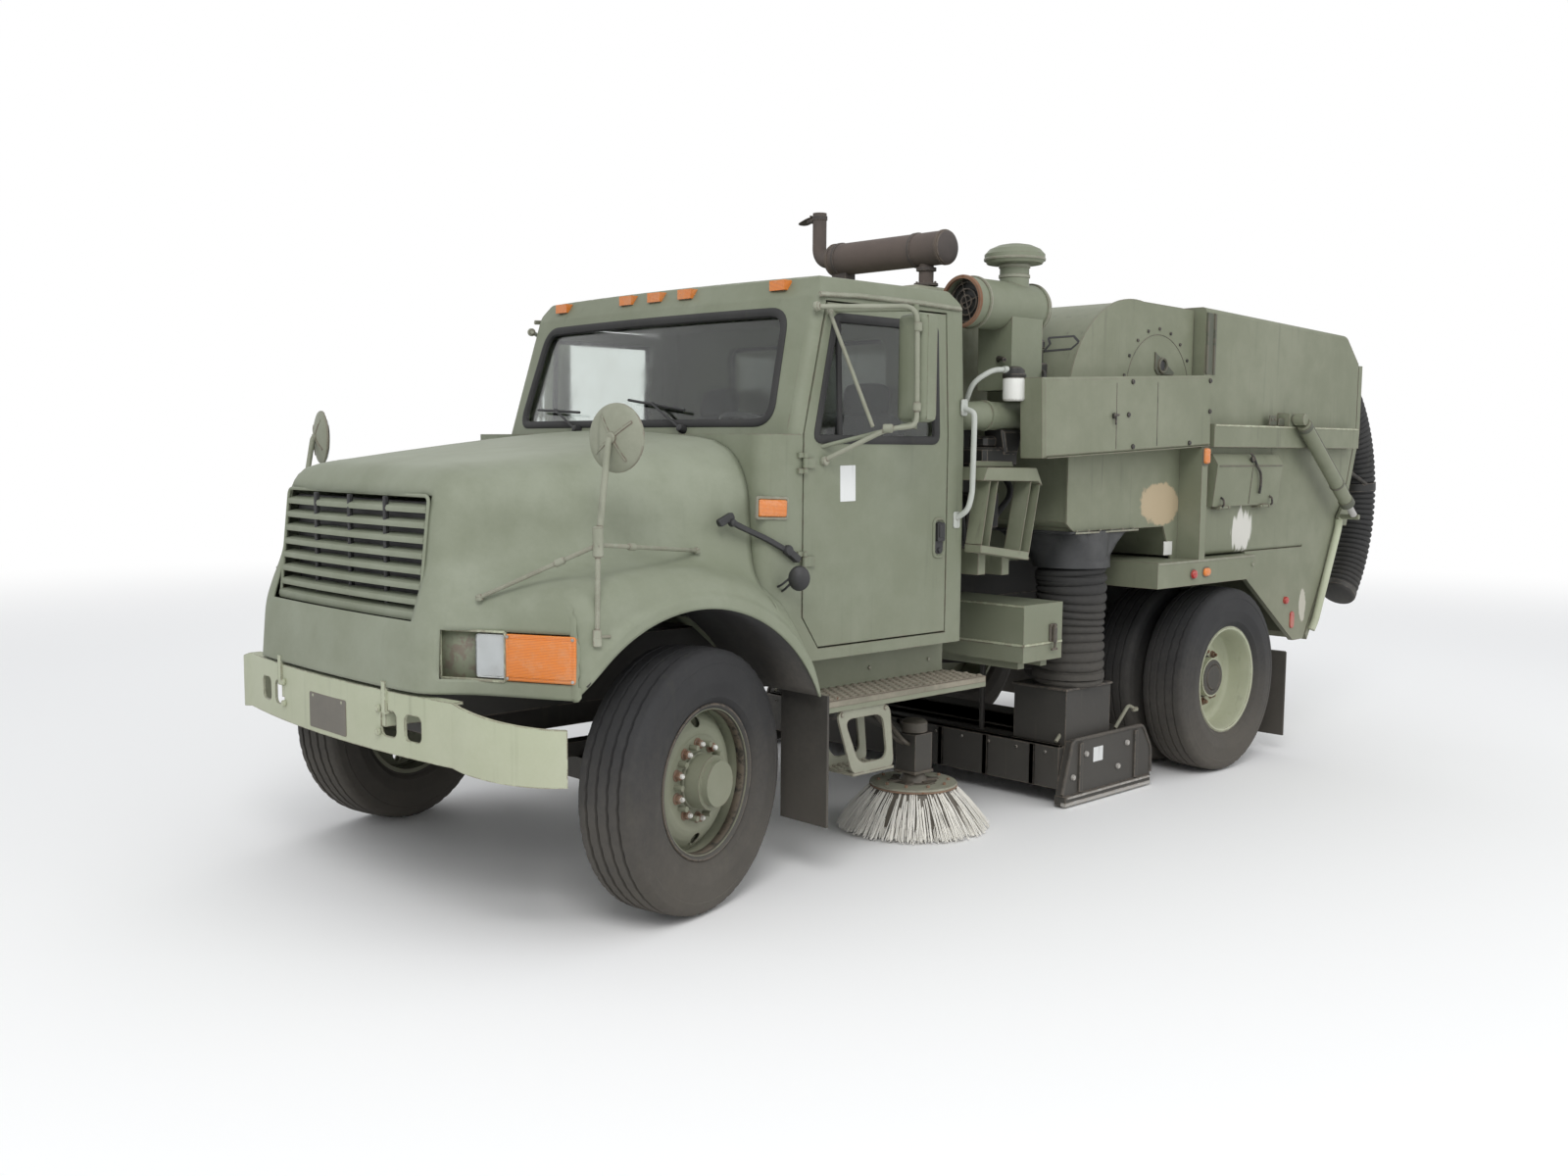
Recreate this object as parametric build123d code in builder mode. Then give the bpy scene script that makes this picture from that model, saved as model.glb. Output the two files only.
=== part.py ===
from build123d import *
import os
import math

os.makedirs("parts", exist_ok=True)

# Frame: the truck faces -Y, its left side is +X, the ground is Z 0. Millimetres.
FRONT_AXLE_Y = -2498
REAR_AXLE_Y = FRONT_AXLE_Y + 3835
SIDES = (("left", 1), ("right", -1))

# Running clearances
PIN_FIT = 0.05
SEAT_GAP = 0.3
MOVE_GAP = 6
DOOR_GAP = 8

# Tyres and rims
TYRE_R = 515
TYRE_W = 276
RIM_BEAD_R = 286
RIM_FLANGE_R = 298
RIM_W = 210
RIM_WALL = 8
HUB_BORE_R = 40
FRONT_TYRE_X = 1028
TWIN_X = 920
TWIN_SPACING = 330
KINGPIN_X = 858
NUT_SEAT_R = 176
HAND_HOLE_AT = 232
HAND_HOLE_R = 27
KINGPIN_R = 22
STEER_REST = 15
AXLE_Z = TYRE_R

# Chassis frame
RAIL_X = 400
RAIL_W = 80
RAIL_WEB = 10
RAIL_Z0 = 740
RAIL_Z1 = 1000
RAIL_FRONT_Y = FRONT_AXLE_Y - 730
RAIL_REAR_Y = FRONT_AXLE_Y + 4690
SUBFRAME_Y0 = FRONT_AXLE_Y + 1800
SUBFRAME_Z1 = 1180
CROSS_YS = (-650, 1740, 2900, 4420)
CROSS_D = 70
ARM_PIN_X, ARM_PIN_Y = 500, FRONT_AXLE_Y + 1400
GUIDE_X = 480
GUIDE_YS = (FRONT_AXLE_Y + 2560, FRONT_AXLE_Y + 3100)
GUIDE_R = 15

# Cab
CAB_X = 1035
CAB_TOP_X = 1012
CAB_FRONT_Y = FRONT_AXLE_Y + 420
CAB_BACK_Y = FRONT_AXLE_Y + 1710
CAB_Z0 = 905
BELT_Z = 1835
EAVE_Z = 2400
ROOF_Z = 2490
ROOF_FRONT_Y = FRONT_AXLE_Y + 700
SCREEN_BASE_Y = FRONT_AXLE_Y + 500
CAB_WALL = 45
TUNNEL_X = 500
DOOR_FRONT_Y = FRONT_AXLE_Y + 660
DOOR_REAR_Y = FRONT_AXLE_Y + 1560
DOOR_Z0 = 962
DOOR_Z1 = 2375
PILLAR_EDGE_R = 55
EAVE_EDGE_R = 30
ROOF_EDGE_R = 25

# Hood with its fenders
HOOD_FRONT_Y = FRONT_AXLE_Y - 830
HOOD_REAR_Y = FRONT_AXLE_Y + 400
HOOD_SKIN = 14
HOOD_FRONT_X = 690
HOOD_REAR_X = 1000
HOOD_FRONT_Z1 = 1690
HOOD_REAR_Z1 = 1860
HOOD_Z0 = 900
FENDER_X = 1185
FENDER_IN_X = 640
ARCH_R = 670
FENDER_SKIN = 20
HOOD_EDGE_R = 55
HOOD_HINGE_Y = FRONT_AXLE_Y - 880
HOOD_HINGE_Z = 905
HOOD_PIN_R = 12

# Hopper
HOPPER_X = 1150
HOPPER_FRONT_Y = FRONT_AXLE_Y + 3550
HOPPER_Z0 = 1215
HOPPER_WALL = 30
LEDGE_X = 1220
PIVOT_Y = FRONT_AXLE_Y + 4735
PIVOT_Z = 760
DOOR_HINGE_Y = FRONT_AXLE_Y + 5430
DOOR_HINGE_Z = 2350
DOOR_PIN_R = 12
CYL_X = 1266
CYL_BASE = (FRONT_AXLE_Y + 4430, 1965)
CYL_EYE = (FRONT_AXLE_Y + 5184, 1385)
CYL_PIN_R = 16

# Blower housing
DRUM_Y = FRONT_AXLE_Y + 2960
DRUM_Z = 1985
DRUM_R = 560
DRUM_X = 1085
FENDER_BOX_Z1 = 1205


def block(x0, x1, y0, y1, z0, z1, mode=Mode.ADD):
    with Locations(((x0 + x1) / 2, (y0 + y1) / 2, (z0 + z1) / 2)):
        Box(x1 - x0, y1 - y0, z1 - z0, mode=mode)


def bar(start, end, radius, mode=Mode.ADD):
    run = Vector(*end) - Vector(*start)
    with BuildSketch(Plane(origin=start, z_dir=run)) as disc:
        Circle(radius)
    extrude(disc.sketch, amount=run.length, mode=mode)


def side_prism(points, x0, x1, mode=Mode.ADD):
    with BuildSketch(Plane.YZ.offset(x0)) as profile:
        with BuildLine():
            Polyline(*points, close=True)
        make_face()
    extrude(profile.sketch, amount=x1 - x0, mode=mode)


def along(values):
    return [(FRONT_AXLE_Y + y, z) for y, z in values]


def save(shape, name):
    shape.label = name
    export_step(shape, f"parts/{name}.step")


def both(shape):
    return Compound(children=[shape, mirror(shape, about=Plane.YZ)])


def low(edge):
    return edge.bounding_box().min


def high(edge):
    return edge.bounding_box().max


def rounded(shape, radius, chosen):
    return shape.fillet(radius, [edge for edge in shape.edges() if chosen(low(edge), high(edge))])


# Wheels, each drawn at the origin with its outer side towards +X
def tyre_shape():
    half = TYRE_W / 2
    bead = RIM_W / 2 - RIM_WALL - SEAT_GAP
    with BuildPart() as tyre:
        with BuildSketch(Plane.XZ):
            with BuildLine():
                Line((-bead, RIM_BEAD_R), (bead, RIM_BEAD_R))
                Line((bead, RIM_BEAD_R), (bead, RIM_FLANGE_R + SEAT_GAP))
                ThreePointArc((bead, RIM_FLANGE_R + SEAT_GAP), (half, TYRE_R - 130), (half - 22, TYRE_R - 20))
                Line((half - 22, TYRE_R - 20), (half - 42, TYRE_R - 4))
                Line((half - 42, TYRE_R - 4), (0, TYRE_R))
                Line((0, TYRE_R), (42 - half, TYRE_R - 4))
                Line((42 - half, TYRE_R - 4), (22 - half, TYRE_R - 20))
                ThreePointArc((22 - half, TYRE_R - 20), (-half, TYRE_R - 130), (-bead, RIM_FLANGE_R + SEAT_GAP))
                Line((-bead, RIM_FLANGE_R + SEAT_GAP), (-bead, RIM_BEAD_R))
            make_face()
        revolve(axis=Axis.X)
    return tyre.part


def rim_shape(disc_x, bowl_r, hub_r, hub_x0, hub_x1):
    half = RIM_W / 2
    inner = RIM_BEAD_R - RIM_WALL
    with BuildPart() as rim:
        with BuildSketch(Plane.XZ):
            with BuildLine():
                Polyline(
                    (-half, RIM_FLANGE_R), (-half + RIM_WALL, RIM_FLANGE_R), (-half + RIM_WALL, RIM_BEAD_R - 0.3),
                    (half - RIM_WALL, RIM_BEAD_R - 0.3), (half - RIM_WALL, RIM_FLANGE_R), (half, RIM_FLANGE_R),
                    (half, inner), (-half, inner), close=True,
                )
            make_face()
            with BuildLine():
                Polyline(
                    (disc_x - 30, inner + 2), (disc_x - 14, inner + 2), (disc_x + 20, bowl_r),
                    (disc_x + 36, NUT_SEAT_R), (disc_x + 36, hub_r),
                    (hub_x1, hub_r), (hub_x1, HUB_BORE_R), (hub_x0, HUB_BORE_R), (hub_x0, hub_r),
                    (disc_x + 20, hub_r), (disc_x + 20, NUT_SEAT_R - 4), (disc_x, bowl_r), close=True,
                )
            make_face()
        revolve(axis=Axis.X)
        for sign in (1, -1):
            bar((disc_x - 60, 0, sign * HAND_HOLE_AT), (disc_x + 60, 0, sign * HAND_HOLE_AT), HAND_HOLE_R,
                mode=Mode.SUBTRACT)
    return rim.part


tyre_form = tyre_shape()

# Front wheels: a convex disc with the hub standing out of it
STUD_PCD = 285.75
STUD_R = 11
STUD_COUNT = 10
with BuildPart() as front_rim:
    add(rim_shape(20, 200, 105, -60, 135))
    with BuildSketch(Plane.YZ.offset(46)):
        with PolarLocations(STUD_PCD / 2, STUD_COUNT):
            Circle(STUD_R)
    extrude(amount=46)
front_rim_form = front_rim.part
with BuildPart() as front_hub_cap:
    with BuildSketch(Plane.YZ.offset(135 + SEAT_GAP)):
        Circle(88)
    extrude(amount=28)
for side, sign in SIDES:
    kingpin = Location((sign * KINGPIN_X, FRONT_AXLE_Y, AXLE_Z), (0, 0, STEER_REST))
    wheel_place = kingpin * Location((sign * (FRONT_TYRE_X - KINGPIN_X), 0, 0), (0, 0, 0 if sign > 0 else 180))
    save(wheel_place * tyre_form, f"tyre_front_{side}")
    save(wheel_place * Compound(children=[front_rim_form, front_hub_cap.part]), f"rim_front_{side}")

# Rear twins: the outer rim is deep and concave, the inner one faces it
rear_outer_form = rim_shape(-75, 190, 110, -130, 20)
for side, sign in SIDES:
    out = Location((sign * (TWIN_X + TWIN_SPACING / 2), REAR_AXLE_Y, AXLE_Z), (0, 0, 0 if sign > 0 else 180))
    inn = Location((sign * (TWIN_X - TWIN_SPACING / 2), REAR_AXLE_Y, AXLE_Z), (0, 0, 180 if sign > 0 else 0))
    save(Compound(children=[out * tyre_form, inn * tyre_form]), f"tyres_rear_{side}")
    save(Compound(children=[out * rear_outer_form, inn * rear_outer_form]), f"rims_rear_{side}")

# Chassis frame
with BuildPart() as frame_rails:
    for sign in (1, -1):
        x_in, x_out = sorted((sign * (RAIL_X - RAIL_W / 2), sign * (RAIL_X + RAIL_W / 2)))
        block(x_in, x_out, RAIL_FRONT_Y, RAIL_REAR_Y, RAIL_Z0, RAIL_Z1)
        lo, hi = sorted((sign * (RAIL_X - RAIL_W / 2 - 1), sign * (RAIL_X + RAIL_W / 2 - RAIL_WEB)))
        block(lo, hi, RAIL_FRONT_Y - 1, RAIL_REAR_Y + 1, RAIL_Z0 + RAIL_WEB, RAIL_Z1 - RAIL_WEB, mode=Mode.SUBTRACT)
    for cross_y in CROSS_YS:
        y0 = FRONT_AXLE_Y + cross_y
        reach = RAIL_X + RAIL_W / 2 - RAIL_WEB + 1
        block(-reach, reach, y0, y0 + CROSS_D, RAIL_Z0 + 110, RAIL_Z1 - RAIL_WEB - 20)
    for sign in (1, -1):
        x_in, x_out = sorted((sign * (RAIL_X - 35), sign * (RAIL_X + 35)))
        block(x_in, x_out, RAIL_REAR_Y - 30, PIVOT_Y - 8, PIVOT_Z - 20, PIVOT_Z + 50)
    bar((-RAIL_X - 64, PIVOT_Y, PIVOT_Z), (RAIL_X + 64, PIVOT_Y, PIVOT_Z), 25)

with BuildPart() as subframe:
    for sign in (1, -1):
        x_in, x_out = sorted((sign * (RAIL_X - 35), sign * (RAIL_X + 35)))
        block(x_in, x_out, SUBFRAME_Y0, RAIL_REAR_Y - 20, RAIL_Z1 + SEAT_GAP, SUBFRAME_Z1)
    for cross_y in (1830, 2500, 3400, 4560):
        y0 = FRONT_AXLE_Y + cross_y
        block(-RAIL_X, RAIL_X, y0, y0 + CROSS_D, RAIL_Z1 + 30, SUBFRAME_Z1 - 20)
with BuildPart() as broom_brackets:
    for sign in (1, -1):
        x0, x1 = sorted((sign * (RAIL_X + RAIL_W / 2 - 1), sign * 470))
        block(x0, x1, ARM_PIN_Y - 50, ARM_PIN_Y + 50, RAIL_Z0 - 60, RAIL_Z0 + 120)
        x0, x1 = sorted((sign * 450, sign * 560))
        block(x0, x1, ARM_PIN_Y - 50, ARM_PIN_Y + 50, RAIL_Z0 - 60, RAIL_Z0 - 30)
        bar((sign * ARM_PIN_X, ARM_PIN_Y, RAIL_Z0 - 58), (sign * ARM_PIN_X, ARM_PIN_Y, 500), 20)
    for sign in (1, -1):
        for guide_y in GUIDE_YS:
            x0, x1 = sorted((sign * (RAIL_X + RAIL_W / 2 - 1), sign * (GUIDE_X + 30)))
            block(x0, x1, guide_y - 30, guide_y + 30, RAIL_Z0 + 10, RAIL_Z0 + 80)
            bar((sign * GUIDE_X, guide_y, RAIL_Z0), (sign * GUIDE_X, guide_y, RAIL_Z0 + 90), GUIDE_R + PIN_FIT,
                mode=Mode.SUBTRACT)
frame_rails.part = frame_rails.part + broom_brackets.part
save(Compound(children=[frame_rails.part, subframe.part]), "frame_rails")

# Bumper: swept back at both ends, four openings, two brackets to the frame
BUMPER_FRONT_Y = FRONT_AXLE_Y - 905
BUMPER_END_Y = FRONT_AXLE_Y - 600
BUMPER_END_X = 1165
BUMPER_KNEE_X = 820
BUMPER_Z0 = 604
BUMPER_Z1 = 886
BUMPER_SKIN = 10
BUMPER_LIP = 46
BUMPER_DROOP = (80, 50)
with BuildPart() as bumper:
    with BuildSketch(Plane.XY.offset(BUMPER_Z0)):
        with BuildLine():
            ThreePointArc(
                (-BUMPER_KNEE_X, BUMPER_FRONT_Y + 60), (0, BUMPER_FRONT_Y), (BUMPER_KNEE_X, BUMPER_FRONT_Y + 60)
            )
            ThreePointArc(
                (BUMPER_KNEE_X, BUMPER_FRONT_Y + 60), (1060, BUMPER_FRONT_Y + 150), (BUMPER_END_X, BUMPER_END_Y)
            )
            Line((BUMPER_END_X, BUMPER_END_Y), (BUMPER_END_X - BUMPER_SKIN, BUMPER_END_Y))
            ThreePointArc(
                (BUMPER_END_X - BUMPER_SKIN, BUMPER_END_Y), (1060 - 8, BUMPER_FRONT_Y + 157),
                (BUMPER_KNEE_X, BUMPER_FRONT_Y + 60 + BUMPER_SKIN),
            )
            ThreePointArc(
                (BUMPER_KNEE_X, BUMPER_FRONT_Y + 60 + BUMPER_SKIN), (0, BUMPER_FRONT_Y + BUMPER_SKIN),
                (-BUMPER_KNEE_X, BUMPER_FRONT_Y + 60 + BUMPER_SKIN),
            )
            ThreePointArc(
                (-BUMPER_KNEE_X, BUMPER_FRONT_Y + 60 + BUMPER_SKIN), (-1060 + 8, BUMPER_FRONT_Y + 157),
                (-BUMPER_END_X + BUMPER_SKIN, BUMPER_END_Y),
            )
            Line((-BUMPER_END_X + BUMPER_SKIN, BUMPER_END_Y), (-BUMPER_END_X, BUMPER_END_Y))
            ThreePointArc(
                (-BUMPER_END_X, BUMPER_END_Y), (-1060, BUMPER_FRONT_Y + 150), (-BUMPER_KNEE_X, BUMPER_FRONT_Y + 60)
            )
        make_face()
    extrude(amount=BUMPER_Z1 - BUMPER_Z0)
    for lip_z in (BUMPER_Z0 + BUMPER_DROOP[1], BUMPER_Z1 - BUMPER_SKIN):
        with BuildSketch(Plane.XY.offset(lip_z)):
            with BuildLine():
                ThreePointArc(
                    (-BUMPER_KNEE_X, BUMPER_FRONT_Y + 64), (0, BUMPER_FRONT_Y + 4), (BUMPER_KNEE_X, BUMPER_FRONT_Y + 64))
                Line((BUMPER_KNEE_X, BUMPER_FRONT_Y + 64), (BUMPER_KNEE_X, BUMPER_FRONT_Y + 60 + BUMPER_LIP))
                ThreePointArc(
                    (BUMPER_KNEE_X, BUMPER_FRONT_Y + 60 + BUMPER_LIP), (0, BUMPER_FRONT_Y + BUMPER_LIP),
                    (-BUMPER_KNEE_X, BUMPER_FRONT_Y + 60 + BUMPER_LIP))
                Line((-BUMPER_KNEE_X, BUMPER_FRONT_Y + 60 + BUMPER_LIP), (-BUMPER_KNEE_X, BUMPER_FRONT_Y + 64))
            make_face()
        extrude(amount=BUMPER_SKIN)
    with BuildSketch(Plane.XZ.offset(-BUMPER_FRONT_Y - 600)) as droop:
        for sign in (1, -1):
            with BuildLine():
                Polyline(
                    (sign * BUMPER_KNEE_X, BUMPER_Z1), (sign * (BUMPER_END_X + 5), BUMPER_Z1 - BUMPER_DROOP[0]),
                    (sign * (BUMPER_END_X + 5), BUMPER_Z1 + 5), (sign * BUMPER_KNEE_X, BUMPER_Z1 + 5), close=True)
            make_face()
            with BuildLine():
                Polyline(
                    (0, BUMPER_Z0 + BUMPER_DROOP[1]), (sign * BUMPER_KNEE_X, BUMPER_Z0 + BUMPER_DROOP[1]),
                    (sign * (BUMPER_END_X + 5), BUMPER_Z0), (sign * (BUMPER_END_X + 5), BUMPER_Z0 - 5),
                    (0, BUMPER_Z0 - 5), close=True)
            make_face()
    extrude(droop.sketch, amount=700, mode=Mode.SUBTRACT)
    for hole_x in (-600, -450, 450, 600):
        with BuildSketch(Plane.XZ.offset(-BUMPER_FRONT_Y - 200)):
            with Locations((hole_x, 765)):
                RectangleRounded(100, 96, 24)
        extrude(amount=400, mode=Mode.SUBTRACT)
    for sign in (1, -1):
        x_in, x_out = sorted((sign * (RAIL_X - 30), sign * (RAIL_X + 30)))
        block(x_in, x_out, BUMPER_FRONT_Y + 18, RAIL_FRONT_Y - SEAT_GAP, RAIL_Z0 + 10, RAIL_Z0 + 110)
        x_in, x_out = sorted((sign * 416, sign * 444))
        block(x_in, x_out, HOOD_HINGE_Y - 17, HOOD_HINGE_Y + 17, RAIL_Z0 + 60, HOOD_HINGE_Z + 16)
        bar((sign * 410, HOOD_HINGE_Y, HOOD_HINGE_Z), (sign * 450, HOOD_HINGE_Y, HOOD_HINGE_Z), HOOD_PIN_R + PIN_FIT,
            mode=Mode.SUBTRACT)
save(bumper.part, "bumper")

# Front axle beam with kingpin eyes, knuckles and tie rod
EYE_R = 42
EYE_HALF = 62
BEAM_Z0 = AXLE_Z - 85
BEAM_Z1 = AXLE_Z + 5
with BuildPart() as front_axle:
    block(-750, 750, FRONT_AXLE_Y - 50, FRONT_AXLE_Y + 50, BEAM_Z0, BEAM_Z1)
    for sign in (1, -1):
        x0, x1 = sorted((sign * 700, sign * (KINGPIN_X - 30)))
        block(x0, x1, FRONT_AXLE_Y - 38, FRONT_AXLE_Y + 38, AXLE_Z - 40, AXLE_Z + 40)
    for sign in (1, -1):
        bar(
            (sign * KINGPIN_X, FRONT_AXLE_Y, AXLE_Z - EYE_HALF), (sign * KINGPIN_X, FRONT_AXLE_Y, AXLE_Z + EYE_HALF),
            EYE_R,
        )
        bar(
            (sign * KINGPIN_X, FRONT_AXLE_Y, AXLE_Z - EYE_HALF), (sign * KINGPIN_X, FRONT_AXLE_Y, AXLE_Z + EYE_HALF),
            KINGPIN_R + PIN_FIT, mode=Mode.SUBTRACT,
        )
save(front_axle.part, "front_axle")

SPINDLE_R = HUB_BORE_R - PIN_FIT
FORK_GAP = 5
FORK_T = 26
ARM_Y = 165
ARM_Z = 400
TIE_R = 20
with BuildPart() as knuckle:
    bar((0, 0, -EYE_HALF - FORK_GAP - FORK_T), (0, 0, EYE_HALF + FORK_GAP + FORK_T), KINGPIN_R)
    for sign in (1, -1):
        z0, z1 = sorted((sign * (EYE_HALF + FORK_GAP), sign * (EYE_HALF + FORK_GAP + FORK_T)))
        block(-38, 62, -38, 38, z0, z1)
    block(50, 74, -46, 46, -EYE_HALF - FORK_GAP - FORK_T, EYE_HALF + FORK_GAP + FORK_T)
    bar((62, 0, 0), (FRONT_TYRE_X - KINGPIN_X + 100, 0, 0), SPINDLE_R)
    block(-30, 30, 20, ARM_Y + 24, -EYE_HALF - FORK_GAP - FORK_T, -EYE_HALF - FORK_GAP - FORK_T + 22)
    bar((0, ARM_Y, -EYE_HALF - FORK_GAP - FORK_T - 34), (0, ARM_Y, -EYE_HALF - FORK_GAP - FORK_T + 20), 14)
for side, sign in SIDES:
    place = Location((sign * KINGPIN_X, FRONT_AXLE_Y, AXLE_Z), (0, 0, STEER_REST))
    shape = knuckle.part if sign > 0 else mirror(knuckle.part, about=Plane.YZ)
    save(place * shape, f"knuckle_{side}")

rest = math.radians(STEER_REST)
TIE_EYE_R = 28
TIE_Z = AXLE_Z - EYE_HALF - FORK_GAP - FORK_T - 18
tie_x = -ARM_Y * math.sin(rest)
tie_y = FRONT_AXLE_Y + ARM_Y * math.cos(rest)
with BuildPart() as tie_rod:
    bar((KINGPIN_X + tie_x, tie_y, TIE_Z - 13), (KINGPIN_X + tie_x, tie_y, TIE_Z + 13), TIE_EYE_R)
    bar((KINGPIN_X + tie_x, tie_y, TIE_Z - 20), (KINGPIN_X + tie_x, tie_y, TIE_Z + 20), 14 + PIN_FIT, mode=Mode.SUBTRACT)
    bar((KINGPIN_X + tie_x - 26, tie_y, TIE_Z), (-KINGPIN_X + tie_x + 24, tie_y, TIE_Z), 13)
save(tie_rod.part, "tie_rod")

# Rear axle housing
with BuildPart() as rear_axle:
    bar((-620, REAR_AXLE_Y, AXLE_Z), (620, REAR_AXLE_Y, AXLE_Z), 72)
    bar((-TWIN_X - 190, REAR_AXLE_Y, AXLE_Z), (TWIN_X + 190, REAR_AXLE_Y, AXLE_Z), SPINDLE_R)
    with Locations((0, REAR_AXLE_Y, AXLE_Z)):
        Sphere(185)
    bar((0, REAR_AXLE_Y - 150, AXLE_Z + 20), (0, REAR_AXLE_Y - 300, AXLE_Z + 40), 90)
save(rear_axle.part, "rear_axle")

# Leaf springs, engine, driveline, radiator
with BuildPart() as leaf_springs:
    for sign in (1, -1):
        x0, x1 = sorted((sign * (RAIL_X - 38), sign * (RAIL_X + 38)))
        side_prism(
            along([(-640, RAIL_Z0 - SEAT_GAP), (-640, 715), (-90, BEAM_Z1 + SEAT_GAP), (90, BEAM_Z1 + SEAT_GAP), (640, 715),
                   (640, RAIL_Z0 - SEAT_GAP), (90, BEAM_Z1 + 60), (-90, BEAM_Z1 + 60)]), x0, x1)
        side_prism(
            along([(3135, RAIL_Z0 - SEAT_GAP), (3135, 700), (3740, AXLE_Z + 72 + SEAT_GAP), (3930, AXLE_Z + 72 + SEAT_GAP),
                   (4535, 700), (4535, RAIL_Z0 - SEAT_GAP), (3930, AXLE_Z + 150), (3740, AXLE_Z + 150)]), x0, x1)
save(leaf_springs.part, "leaf_springs")

with BuildPart() as engine:
    block(-300, 300, FRONT_AXLE_Y - 530, FRONT_AXLE_Y + 400, 620, 1480)
    block(-220, 220, FRONT_AXLE_Y + 400, FRONT_AXLE_Y + 1300, 640, 895)
    for mount_y in (-420, 980):
        reach = RAIL_X - RAIL_W / 2 - SEAT_GAP
        block(-reach, reach, FRONT_AXLE_Y + mount_y, FRONT_AXLE_Y + mount_y + 90, RAIL_Z0 - 12, RAIL_Z0 + 40)

with BuildPart() as driveline:
    bar((0, FRONT_AXLE_Y + 1303, 761), (0, REAR_AXLE_Y - 302, AXLE_Z + 42), 50)

with BuildPart() as radiator:
    block(-480, 480, FRONT_AXLE_Y - 640, FRONT_AXLE_Y - 540, RAIL_Z1 + 5, 1560)
    block(-RAIL_X - 20, RAIL_X + 20, FRONT_AXLE_Y - 640, FRONT_AXLE_Y - 540, RAIL_Z1 + SEAT_GAP, RAIL_Z1 + 10)
save(Compound(children=[engine.part, driveline.part, radiator.part]), "engine")


# Cab
def cab_volume(inset):
    side = CAB_X - inset
    top = CAB_TOP_X - inset
    back = CAB_BACK_Y - inset
    with BuildPart() as volume:
        with BuildSketch(Plane.XY.offset(CAB_Z0 + inset)):
            with BuildLine():
                Polyline((-side, back), (-side, CAB_FRONT_Y + inset), (side, CAB_FRONT_Y + inset), (side, back), close=True)
            make_face()
        extrude(amount=BELT_Z - CAB_Z0 - inset)
        with BuildSketch(Plane.XY.offset(BELT_Z)):
            with BuildLine():
                Line((side, SCREEN_BASE_Y + 110 + inset), (side, back))
                Line((side, back), (-side, back))
                Line((-side, back), (-side, SCREEN_BASE_Y + 110 + inset))
                ThreePointArc(
                    (-side, SCREEN_BASE_Y + 110 + inset), (0, SCREEN_BASE_Y + inset), (side, SCREEN_BASE_Y + 110 + inset)
                )
            make_face()
        with BuildSketch(Plane.XY.offset(EAVE_Z - inset * 0.2)):
            with BuildLine():
                Line((top, ROOF_FRONT_Y + 70 + inset), (top, back))
                Line((top, back), (-top, back))
                Line((-top, back), (-top, ROOF_FRONT_Y + 70 + inset))
                ThreePointArc((-top, ROOF_FRONT_Y + 70 + inset), (0, ROOF_FRONT_Y + inset), (top, ROOF_FRONT_Y + 70 + inset))
            make_face()
        loft()
    return volume.part


def roof_cap():
    with BuildPart() as cap:
        with BuildSketch(Plane.XY.offset(EAVE_Z)):
            with BuildLine():
                Line((CAB_TOP_X, ROOF_FRONT_Y + 70), (CAB_TOP_X, CAB_BACK_Y))
                Line((CAB_TOP_X, CAB_BACK_Y), (-CAB_TOP_X, CAB_BACK_Y))
                Line((-CAB_TOP_X, CAB_BACK_Y), (-CAB_TOP_X, ROOF_FRONT_Y + 70))
                ThreePointArc((-CAB_TOP_X, ROOF_FRONT_Y + 70), (0, ROOF_FRONT_Y), (CAB_TOP_X, ROOF_FRONT_Y + 70))
            make_face()
        extrude(amount=ROOF_Z - EAVE_Z, taper=35)
    return cap.part


EDGE_MIN = 10
cab_outer = (cab_volume(0) + roof_cap()).solids()[0]
cab_outer = rounded(
    cab_outer, PILLAR_EDGE_R,
    lambda a, b: b.Z - a.Z > 200 and (a.Z > BELT_Z - 35 or (b.Z < BELT_Z + 15 and a.Y < CAB_BACK_Y - 1000)))
cab_outer = rounded(
    cab_outer, EAVE_EDGE_R,
    lambda a, b: a.Z > EAVE_Z - 2 and b.Z < EAVE_Z + 2 and max(b.X - a.X, b.Y - a.Y) > EDGE_MIN)
cab_outer = rounded(cab_outer, ROOF_EDGE_R, lambda a, b: a.Z > ROOF_Z - 5)
cab_inner = cab_volume(CAB_WALL)


def door_outline(gap):
    return [
        (DOOR_FRONT_Y - gap, DOOR_Z0 + 130), (DOOR_FRONT_Y + 90, DOOR_Z0 - gap), (DOOR_REAR_Y + gap, DOOR_Z0 - gap),
        (DOOR_REAR_Y + gap, DOOR_Z1 + gap), (DOOR_FRONT_Y + 150 - gap, DOOR_Z1 + gap), (DOOR_FRONT_Y - gap, BELT_Z),
    ]


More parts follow.
